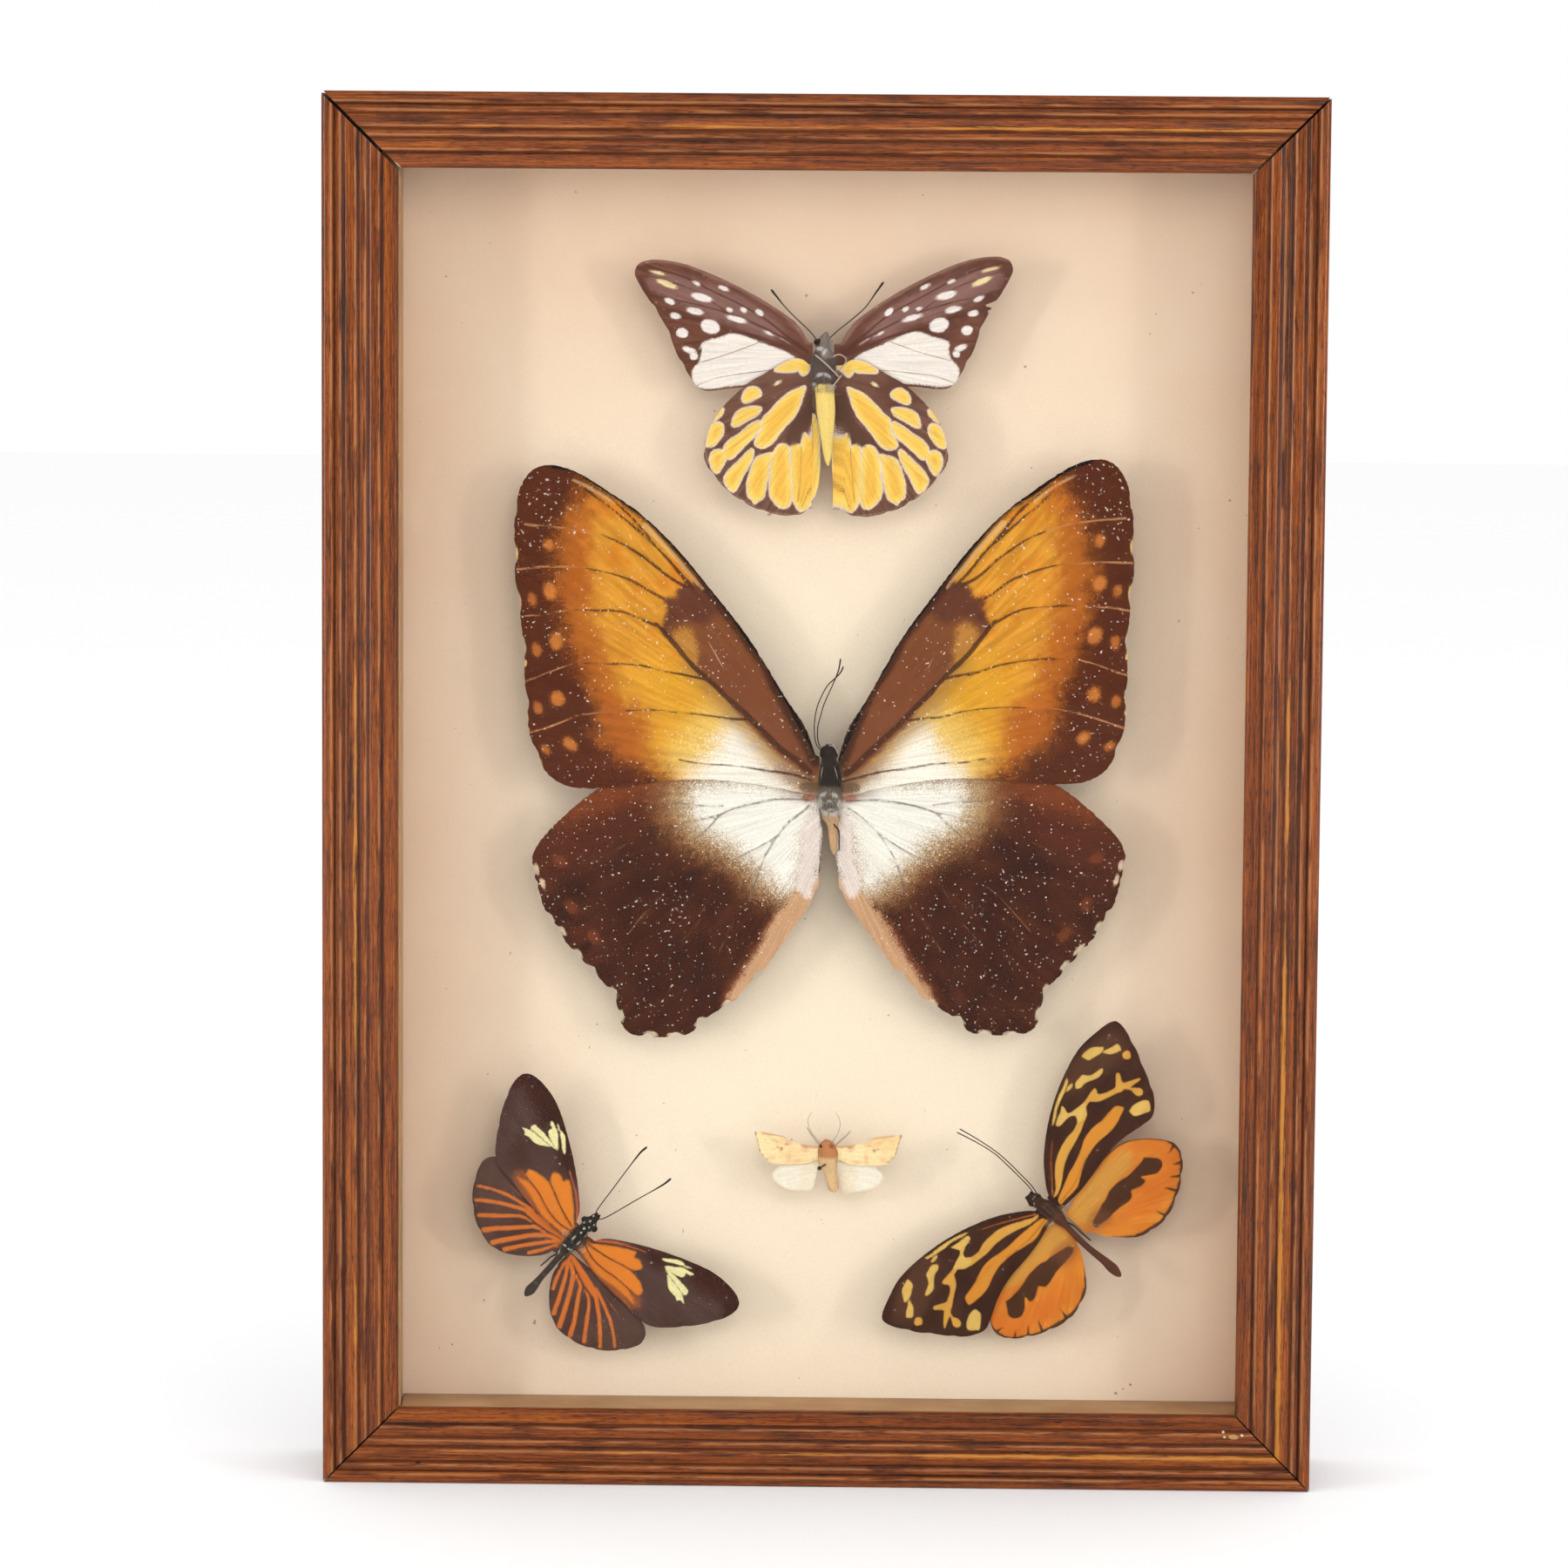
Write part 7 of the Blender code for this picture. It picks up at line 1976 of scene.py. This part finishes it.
            ([(-1.8, 4.4, -0.3), (-3.4, 6.4, -0.6), (-4.5, 8.0, -0.4), (-5.2, 9.2, -0.2)],
             0.22, 0.14),
            ([(1.7, 4.4, -0.3), (3.3, 6.0, -0.6), (4.3, 6.9, -0.4), (5.6, 8.4, -0.2)], 0.22, 0.14),
        ],
        "pale_limbs": (0, 1, 2, 3),
        "balls": [(-1.6, 4.6, 0.9, 0.45, 0.45, 0.45), (0.8, 4.8, 0.9, 0.45, 0.45, 0.45)],
        "pads": [(-0.5, 6.0, 0.9, 0.4, 0.6, 0.3), (0.3, 6.0, 0.9, 0.4, 0.6, 0.3)],
    },
}
BODY_SIDES = 32
CLUB_START = 0.72
CLUB_LENGTH = 0.28


# %% Sweep shells and limbs
def shell(sections, sides=BODY_SIDES, steps=5):
    """A closed shell swept through the body's sections: its points, in u, v, w, and its faces."""
    rows = smooth_points(sections, steps)
    rows[:, 2:4] = np.maximum(rows[:, 2:4], 0.03)
    angle = 2 * math.pi * np.arange(sides) / sides
    points = [np.column_stack((u + half_width * np.cos(angle), np.full(sides, v),
                               w + half_depth * np.sin(angle)))
              for v, u, half_width, half_depth, w in rows]
    return tube_of(points, sides)


def tube_of(rings, sides):
    """Join rings of points, and close both ends on a middle point."""
    points = np.vstack(rings + [rings[0].mean(axis=0)[None], rings[-1].mean(axis=0)[None]])
    count = len(rings)
    faces = []
    for ring in range(count - 1):
        for step in range(sides):
            after = (step + 1) % sides
            a, b = ring * sides + step, ring * sides + after
            faces.append((a, b, b + sides))
            faces.append((a, b + sides, a + sides))
    first, last = count * sides, count * sides + 1
    for step in range(sides):
        after = (step + 1) % sides
        faces.append((after, step, first))
        faces.append(((count - 1) * sides + step, (count - 1) * sides + after, last))
    return points, np.array(faces)


def limb_tube(path, root_radius, tip_radius, sides=8):
    """A thin tube along a path of u, v, w points. It tapers, or swells into a club near its tip."""
    line = even_points(smooth_points(path, 8), 0.45)
    rings = []
    across = np.array((0.0, 0.0, 1.0))
    way = np.gradient(line, axis=0)
    count = len(line)
    for index, (spot, forward_way) in enumerate(zip(line, way)):
        forward_way = forward_way / np.linalg.norm(forward_way)
        first = np.cross(forward_way, across)
        first /= max(1e-9, np.linalg.norm(first))
        second = np.cross(forward_way, first)
        share = index / (count - 1)
        if tip_radius > root_radius:
            share = max(0.0, (share - CLUB_START) / CLUB_LENGTH)
        radius = root_radius + (tip_radius - root_radius) * share
        if index in (0, count - 1):
            radius *= 0.45
        angle = 2 * math.pi * np.arange(sides) / sides
        rings.append(spot + radius * (np.cos(angle)[:, None] * first + np.sin(angle)[:, None] * second))
    return tube_of(rings, sides)


def ball(u, v, w, half_u, half_v, half_w, sides=16, rows=9):
    """A rounded knob, closed at both poles."""
    rings = []
    angle = 2 * math.pi * np.arange(sides) / sides
    for row in range(1, rows):
        tilt = math.pi * row / rows
        rings.append(np.column_stack((
            u + half_u * math.sin(tilt) * np.cos(angle),
            np.full(sides, v + half_v * math.cos(tilt)),
            w + half_w * math.sin(tilt) * np.sin(angle))))
    return tube_of(rings, sides)


def join_parts(parts):
    """Several closed shells as one list of points and faces."""
    points, faces, start = [], [], 0
    for part_points, part_faces in parts:
        points.append(part_points)
        faces.append(part_faces + start)
        start += len(part_points)
    return np.vstack(points), np.vstack(faces)


def mesh_in_case(name, insect, points, faces):
    """A mesh from points in an insect's frame, with every face looking outwards."""
    placed = to_case(insect, points[:, 0], points[:, 1], points[:, 2])
    mesh = bpy.data.meshes.new(name)
    mesh.from_pydata(placed.tolist(), [], faces.tolist())
    face_outwards(mesh)
    return mesh


# %% [markdown]
# ### Hair
# The thorax of a butterfly is furry. Each hair is a three-sided spike of ten triangles. A small
# node tree strews them over the shell, lays them along a combing direction and varies their
# length. Strewing by nodes keeps the hairs on the curved shell, and each insect then needs only a
# few settings.

# %% The fur nodes
FUR_INPUTS = {
    "Skin": "NodeSocketGeometry", "Hairs": "NodeSocketFloat", "Length": "NodeSocketFloat",
    "Thickness": "NodeSocketFloat", "Lift": "NodeSocketFloat", "Mess": "NodeSocketFloat",
    "Seed": "NodeSocketInt", "Finish": "NodeSocketMaterial",
}


def fur_group():
    """The node tree that strews, combs and tints the hairs."""
    group = bpy.data.node_groups.new("fur", "GeometryNodeTree")
    for label, kind in FUR_INPUTS.items():
        group.interface.new_socket(name=label, in_out="INPUT", socket_type=kind)
    group.interface.new_socket(name="Fur", in_out="OUTPUT", socket_type="NodeSocketGeometry")
    given = group.nodes.new("NodeGroupInput").outputs
    furry = add(group, "GeometryNodeInputNamedAttribute", {"Name": "furry"}, data_type="FLOAT")
    comb = add(group, "GeometryNodeInputNamedAttribute", {"Name": "comb"}, data_type="FLOAT_VECTOR")
    density = add(group, "ShaderNodeMath", {0: furry.outputs[0], 1: given["Hairs"]},
                  operation="MULTIPLY").outputs[0]
    strewn = add(group, "GeometryNodeDistributePointsOnFaces",
                 {"Mesh": given["Skin"], "Density": density, "Seed": given["Seed"]},
                 distribute_method="RANDOM")
    stray = add(group, "FunctionNodeRandomValue",
                {"Min": (-1.0, -1.0, -1.0), "Max": (1.0, 1.0, 1.0), "Seed": given["Seed"]},
                data_type="FLOAT_VECTOR").outputs[0]
    up = add(group, "ShaderNodeVectorMath", {0: strewn.outputs["Normal"], "Scale": given["Lift"]},
             operation="SCALE").outputs[0]
    off = add(group, "ShaderNodeVectorMath", {0: stray, "Scale": given["Mess"]},
              operation="SCALE").outputs[0]
    way = add(group, "ShaderNodeVectorMath", {0: up, 1: comb.outputs[0]}, operation="ADD").outputs[0]
    way = add(group, "ShaderNodeVectorMath", {0: way, 1: off}, operation="ADD").outputs[0]
    facing = add(group, "FunctionNodeAlignRotationToVector", {"Vector": way}, axis="Z").outputs[0]
    spike = add(group, "GeometryNodeMeshCone",
                {"Vertices": 3, "Side Segments": 2, "Radius Top": 0.0, "Radius Bottom": 1.0,
                 "Depth": 1.0}).outputs["Mesh"]
    longer = add(group, "FunctionNodeRandomValue", {2: 0.45, 3: 1.0, "Seed": given["Seed"]},
                 data_type="FLOAT").outputs[1]
    length = add(group, "ShaderNodeMath", {0: longer, 1: given["Length"]},
                 operation="MULTIPLY").outputs[0]
    size = add(group, "ShaderNodeCombineXYZ",
               {"X": given["Thickness"], "Y": given["Thickness"], "Z": length}).outputs[0]
    placed = add(group, "GeometryNodeInstanceOnPoints",
                 {"Points": strewn.outputs["Points"], "Instance": spike, "Rotation": facing,
                  "Scale": size}).outputs[0]
    tint = add(group, "FunctionNodeRandomValue", {2: 0.0, 3: 1.0, "Seed": given["Seed"]},
               data_type="FLOAT").outputs[1]
    tinted = add(group, "GeometryNodeStoreNamedAttribute",
                 {"Geometry": placed, "Name": "tint", "Value": tint}, data_type="FLOAT",
                 domain="INSTANCE").outputs[0]
    real = add(group, "GeometryNodeRealizeInstances", {"Geometry": tinted}).outputs[0]
    done = add(group, "GeometryNodeSetMaterial",
               {"Geometry": real, "Material": given["Finish"]}).outputs[0]
    group.links.new(done, group.nodes.new("NodeGroupOutput").inputs["Fur"])
    return group


FUR = fur_group()


def grow_fur(name, skin, finish, **values):
    """Run the fur nodes on a skin, keep the plain mesh and drop the skin."""
    change = skin.modifiers.new("fur", "NODES")
    change.node_group = FUR
    values["Finish"] = finish
    for socket in FUR.interface.items_tree:
        if socket.in_out == "INPUT" and socket.name in values:
            change[socket.identifier] = values[socket.name]
    bpy.context.view_layer.update()
    grown = bpy.data.meshes.new_from_object(skin.evaluated_get(bpy.context.evaluated_depsgraph_get()))
    skin.modifiers.clear()
    bpy.data.objects.remove(skin)
    return new_piece(name, grown, finish)


# %% Colours of shells and hair
def paint_fur(name, dark, light, marks=()):
    """Hair that varies from dark to light, with marks taken from the skin below it."""
    finish, tree, shader = new_material(name, 0.62, Specular_IOR_Level=0.35)
    tint = mark_value(tree, "tint")
    colour = blend_colours(tree, step_between(tree, tint, 0.1, 1.0), dark, light)
    for mark, shade, strength in marks:
        value = mark_value(tree, mark)
        uneven = value_math(tree, "MULTIPLY_ADD", tint, 0.9, value)
        mask = faint_mask(tree, uneven, 0.2, 0.75, strength)
        colour = blend_colours(tree, mask, colour, shade)
    tree.links.new(colour, shader.inputs["Base Color"])
    return finish


# %% Marks on the shells, and where hair grows on them
# furry: between which v hair grows, and how dense it is there.  comb: which way it lies, in u, v.
COATS = {
    "great": {
        "marks": {
            "rear": inside([(-4, -2.2), (4, -2.2), (4, -9.2), (-4, -9.2)]),
            "tan": inside([(-3, -8.9), (4, -8.9), (3, -19), (-1, -19)]),
            "white": dabs((-1.6, -3.4, 0.9, 0.4, 30), (1.4, -3.6, 0.8, 0.4, 150), (-2.2, -5.6, 0.5, 1.1, 0),
                          (2.4, -5.8, 0.5, 1.1, 0), (-1.4, -8.0, 1.4, 0.6, 160), (1.5, -8.1, 1.4, 0.6, 20),
                          (0.1, -5.0, 0.7, 0.35, 0), (0.2, -7.2, 0.9, 0.3, 0)),
            "ginger": dabs((-4.9, -4.2, 1.9, 1.1, 0), (4.9, -4.2, 1.9, 1.1, 0)),
            "brown": dabs((-5.0, -1.4, 3.4, 1.7, 0), (5.2, -1.4, 3.4, 1.7, 0)),
        },
        "shell": (tone(38, 30, 26), tone(50, 38, 31), tone(30, 24, 21)),
        "layers": [("rear", tone(104, 90, 78), 0.8, 0.3, 0.8),
                   ("tan", tone(196, 156, 116), 0.4, 0.15, 0.95),
                   ("white", tone(206, 198, 186), 0.3, 0.15, 0.8)],
        "hair": (tone(32, 26, 22), tone(92, 80, 70)),
        "hair_marks": [("rear", tone(150, 138, 124), 0.8), ("white", tone(228, 222, 212), 0.9),
                       ("brown", tone(134, 92, 58), 0.8), ("ginger", tone(196, 92, 38), 0.9)],
        "furry": [(5.2, 4.0, 0.35), (4.0, -1.8, 0.55), (-1.8, -9.2, 1.0)],
        "comb": (0.25, -0.9), "hairs": 13.0, "length": 1.25, "lift": 0.35, "mess": 0.5,
    },
    "spotted": {
        "marks": {
            "yellow": inside([(-3, -6.6), (4, -6.6), (4, -25), (-2, -25)]),
            "pale": dabs((-1.0, 4.1, 0.9, 0.5, 0), (0.4, 3.4, 0.8, 0.4, 60), (-0.9, -2.2, 0.7, 0.4, 30),
                         (1.0, -2.4, 0.9, 0.4, 150), (-2.2, -4.6, 0.6, 0.4, 0), (2.2, -5.0, 0.6, 0.4, 0)),
            "grey": inside([(-1, 8.4), (2.6, 8), (3, 4), (2.4, 2), (-0.4, 2), (-0.8, 5)]),
        },
        "shell": (tone(76, 62, 56), tone(92, 76, 68), tone(62, 48, 44)),
        "layers": [("grey", tone(136, 120, 112), 0.5, 0.2, 0.8),
                   ("yellow", tone(242, 210, 120), 0.5, 0.2, 0.97),
                   ("pale", tone(214, 204, 196), 0.3, 0.15, 0.8)],
        "hair": (tone(64, 50, 44), tone(132, 116, 106)),
        "hair_marks": [("grey", tone(158, 144, 136), 0.8), ("pale", tone(226, 218, 212), 0.9)],
        "furry": [(8.0, 3.0, 0.9), (3.0, -6.4, 1.0)],
        "comb": (0.15, -0.9), "hairs": 11.0, "length": 1.05, "lift": 0.3, "mess": 0.55,
    },
    "banded": {
        "marks": {
            "pale": dabs((-0.3, 8.1, 0.2, 0.3, 0), (1.1, 8.0, 0.2, 0.25, 0), (-0.15, 5.75, 0.3, 0.28, 0),
                         (1.35, 5.6, 0.26, 0.26, 0), (-0.05, 4.5, 0.24, 0.22, 0), (1.45, 4.4, 0.2, 0.2, 0),
                         (-1.1, 6.9, 0.18, 0.3, 0), (0.6, 6.8, 0.2, 0.2, 0), (-0.6, 2.3, 0.22, 0.75, 0),
                         (1.2, 2.1, 0.22, 0.7, 0), (-0.9, -0.6, 0.4, 0.2, 20), (0.3, -0.6, 0.3, 0.25, 0),
                         (1.05, -0.4, 0.2, 0.3, 0), (-0.9, -2.9, 0.18, 0.5, 20), (0.8, -3.2, 0.15, 0.4, 0),
                         (-0.5, 9.6, 0.15, 0.2, 0)),
            "tail": inside([(-2, -3.4), (2, -3.4), (2, -17.5), (-2, -17.5)]),
            "ring": along(([(-1.4, -12.4), (1.6, -12.4)], 0.16, 0.16),
                          ([(-1.4, -9.6), (1.4, -9.6)], 0.1, 0.1),
                          ([(-1.4, -7.0), (1.4, -7.0)], 0.1, 0.1),
                          ([(-1.4, -14.6), (1.6, -14.6)], 0.12, 0.12)),
            "tuft": dabs((-3.0, 1.9, 1.4, 1.2, 0), (3.1, 1.5, 1.4, 1.2, 0)),
        },
        "shell": (tone(40, 33, 29), tone(50, 41, 36), tone(30, 25, 23)),
        "layers": [("tail", tone(70, 60, 52), 0.8, 0.3, 0.7), ("ring", tone(104, 94, 84), 0.2, 0.08, 0.7),
                   ("pale", tone(224, 214, 180), 0.12, 0.05, 0.95)],
        "hair": (tone(34, 28, 25), tone(84, 76, 66)),
        "hair_marks": [("tuft", tone(206, 190, 166), 0.9), ("pale", tone(220, 212, 184), 0.9)],
        "furry": [(8.4, -3.0, 0.6)],
        "comb": (0.2, -0.9), "hairs": 12.0, "length": 0.55, "lift": 0.3, "mess": 0.5,
    },
    "tiger": {
        "marks": {
            "pale": dabs((-2.2, 8.7, 0.16, 0.16, 0), (-1.6, 8.0, 0.18, 0.2, 0), (-2.0, 7.6, 0.14, 0.14, 0),
                         (-1.0, 8.9, 0.16, 0.16, 0), (0.3, 8.2, 0.16, 0.16, 0), (-0.4, 9.0, 0.14, 0.14, 0),
                         (-0.8, 7.9, 0.14, 0.14, 0)),
            "lines": along(([(-0.7, 6.0), (-0.6, 4.0), (-0.9, 1.6)], 0.12, 0.1),
                           ([(0.2, 5.8), (0.3, 4.0), (0.0, 1.6)], 0.1, 0.08)),
            "tail": inside([(-3, 0), (2, 0), (2, -21), (-3, -21)]),
            "tuft": dabs((-3.2, 1.4, 1.6, 1.3, 0), (2.3, 1.6, 1.2, 1.5, 0)),
        },
        "shell": (tone(70, 42, 29), tone(82, 50, 34), tone(56, 33, 24)),
        "layers": [("tail", tone(94, 54, 36), 0.8, 0.3, 0.8), ("lines", tone(150, 112, 78), 0.15, 0.06, 0.7),
                   ("pale", tone(214, 204, 190), 0.1, 0.04, 0.95)],
        "hair": (tone(56, 34, 24), tone(116, 80, 54)),
        "hair_marks": [("tuft", tone(202, 160, 110), 0.9), ("lines", tone(160, 124, 90), 0.7)],
        "furry": [(7.4, 0.0, 0.75)],
        "comb": (0.2, -0.9), "hairs": 12.0, "length": 0.6, "lift": 0.3, "mess": 0.5,
    },
    "moth": {
        "marks": {
            "collar": inside([(-3.2, 6.8), (2.6, 6.8), (2.9, 3.0), (1.6, 1.9), (-1.6, 1.9), (-3.2, 3.0)]),
            "dark": dabs((-1.6, 4.6, 0.45, 0.4, 0), (0.9, 4.7, 0.7, 0.5, 150), (2.3, 1.0, 0.16, 0.7, 0)),
        },
        "shell": (tone(226, 186, 134), tone(236, 200, 150), tone(214, 168, 116)),
        "layers": [("collar", tone(196, 120, 70), 0.8, 0.3, 0.85),
                   ("dark", tone(120, 74, 48), 0.3, 0.1, 0.8)],
        "hair": (tone(210, 164, 112), tone(244, 214, 168)),
        "hair_marks": [("collar", tone(190, 112, 62), 0.85)],
        "furry": [(6.2, 2.0, 1.0), (2.0, -6.6, 0.6)],
        "comb": (0.1, -0.9), "hairs": 16.0, "length": 0.7, "lift": 0.25, "mess": 0.4,
    },
}


# %% Build the five bodies
def marks_on(mesh, points, marks, seed):
    """Set an insect's marks on a mesh, with the same random draws for the same seed."""
    rng = np.random.default_rng(seed)
    for mark, measure in marks.items():
        set_attribute(mesh, mark, measure(points[:, :2], rng))


def body_paint(name, coat):
    """The shell's paint, with dark eyes and dark or pale limbs over it."""
    layers = list(coat["layers"])
    layers.append(("limb", tone(58, 44, 36), 0.05, 0.0, 1.0))
    layers.append(("pale_limb", tone(186, 168, 150), 0.05, 0.0, 1.0))
    layers.append(("eye", tone(44, 28, 22), 0.05, 0.0, 1.0))
    return paint(f"{name}_body_shell", coat["shell"], layers, sheen=0.1, roughness=0.5, streak=0.3)


def build_body(name, seed):
    """The shell with its limbs and eyes as one piece, and its hair as another."""
    design, coat = BODIES[name], COATS[name]
    parts = [shell(design["sections"])]
    kinds = [np.zeros(len(parts[0][0]))]
    for number, (path, root_radius, tip_radius) in enumerate(design["limbs"]):
        parts.append(limb_tube(path, root_radius, tip_radius))
        kinds.append(np.full(len(parts[-1][0]), 2.0 if number in design["pale_limbs"] else 1.0))
    for numbers in design["balls"]:
        parts.append(ball(*numbers))
        kinds.append(np.full(len(parts[-1][0]), 3.0))
    points, faces = join_parts(parts)
    kinds = np.concatenate(kinds)
    mesh = mesh_in_case(f"{name}_shell", name, points, faces)
    marks_on(mesh, points, coat["marks"], seed)
    for mark in coat["marks"]:
        layer = mesh.attributes[mark].data
        values = np.zeros(len(points), dtype=np.float32)
        layer.foreach_get("value", values)
        layer.foreach_set("value", np.where(kinds > 0, -99.0, values).astype(np.float32))
    for kind, mark in ((1.0, "limb"), (2.0, "pale_limb"), (3.0, "eye")):
        set_attribute(mesh, mark, np.where(kinds == kind, 9.0, -9.0))
    around = np.column_stack((points[:, 0] * 0.02 + seed, points[:, 1] * MM))
    lay_map(mesh, "rays", around)
    piece = new_piece(f"{name}_shell_and_limbs", mesh, body_paint(name, coat), 60)
    stand_for(piece, f"{name}_body")

    skin_parts = [shell(design["sections"])] + [ball(*pad) for pad in design["pads"]]
    skin_points, skin_faces = join_parts(skin_parts)
    skin_mesh = mesh_in_case(f"{name}_skin", name, skin_points, skin_faces)
    marks_on(skin_mesh, skin_points, coat["marks"], seed)
    on_pad = np.arange(len(skin_points)) >= len(skin_parts[0][0])
    furry = np.where(on_pad, 1.0, 0.0)
    for top, bottom, amount in coat["furry"]:
        here = (skin_points[:, 1] <= top) & (skin_points[:, 1] > bottom) & ~on_pad
        furry = np.where(here, amount, furry)
    furry = np.where(skin_points[:, 2] < -1.2, furry * 0.4, furry)
    set_attribute(skin_mesh, "furry", furry)
    lean = math.radians(INSECTS[name]["lean"])
    out, back = coat["comb"]
    sideways = np.clip(skin_points[:, 0] / 3.0, -1.0, 1.0) * out * 3.0
    towards = np.full(len(skin_points), back)
    comb = np.column_stack((
        sideways * math.cos(lean) + towards * math.sin(lean),
        np.zeros(len(skin_points)),
        -sideways * math.sin(lean) + towards * math.cos(lean),
    ))
    layer = skin_mesh.attributes.new("comb", "FLOAT_VECTOR", "POINT")
    layer.data.foreach_set("vector", comb.astype(np.float32).ravel())
    skin = new_piece(f"{name}_skin", skin_mesh, None)
    finish = paint_fur(f"{name}_hair", *coat["hair"], coat["hair_marks"])
    fur = grow_fur(f"{name}_fur", skin, finish, Hairs=coat["hairs"] / MM ** 2, Seed=seed,
                   Length=coat["length"] * MM, Thickness=0.035 * MM, Lift=coat["lift"],
                   Mess=coat["mess"])
    stand_for(fur, f"{name}_body")
    print(name, "shell", len(mesh.polygons), "faces, fur", len(fur.data.polygons), "faces")


for seed, name in enumerate(BODIES, start=1):
    build_body(name, seed)

# %% [markdown]
# ## Pins
# Each insect hangs on one thin blackened steel pin that is pushed through its thorax into the
# board. Only the moth's stands out in front, with its round head.

# %% Turn the pins
PINS = {
    "great": ((0.0, 0.0), (0.0, 0.0), -0.6), "spotted": ((0.0, -1.0), (0.0, 0.0), -0.6),
    "banded": ((0.0, 2.2), (0.0, 0.0), -0.8), "tiger": ((-0.2, 3.0), (0.0, 0.0), -0.8),
    "moth": ((-0.1, 0.3), (-0.32, -0.08), 5.4),
}
PIN_TIP = -13.2
PIN_RADIUS = 0.25
HEAD_RADIUS = 0.55
for name, ((u, v), (slope_u, slope_v), reach) in PINS.items():
    ends = np.array([(u + slope_u * w, v + slope_v * w, w) for w in (PIN_TIP, reach)])
    tip, top = (Vector(spot) for spot in to_case(name, ends[:, 0], ends[:, 1], ends[:, 2]))
    length = (top - tip).length
    profile = [(0.0, 0.04 * MM), (1.2 * MM, PIN_RADIUS * MM), (length, PIN_RADIUS * MM)]
    if reach > 0:
        for degrees in range(-60, 90, 15):
            angle = math.radians(degrees)
            profile.append((length + HEAD_RADIUS * MM * (1 + math.sin(angle)),
                            HEAD_RADIUS * MM * math.cos(angle)))
    stand_for(turned(f"pin_of_{name}", tip, top - tip, profile, steels["pin_steel"], 20),
              f"{name}_pin")

# %% [markdown]
# ## Finish
# The box of the imported case is printed once more.

# %% Print the imported case's box
print("case:", [round(v / MM, 2) for v in (*cad_low, *cad_high)])
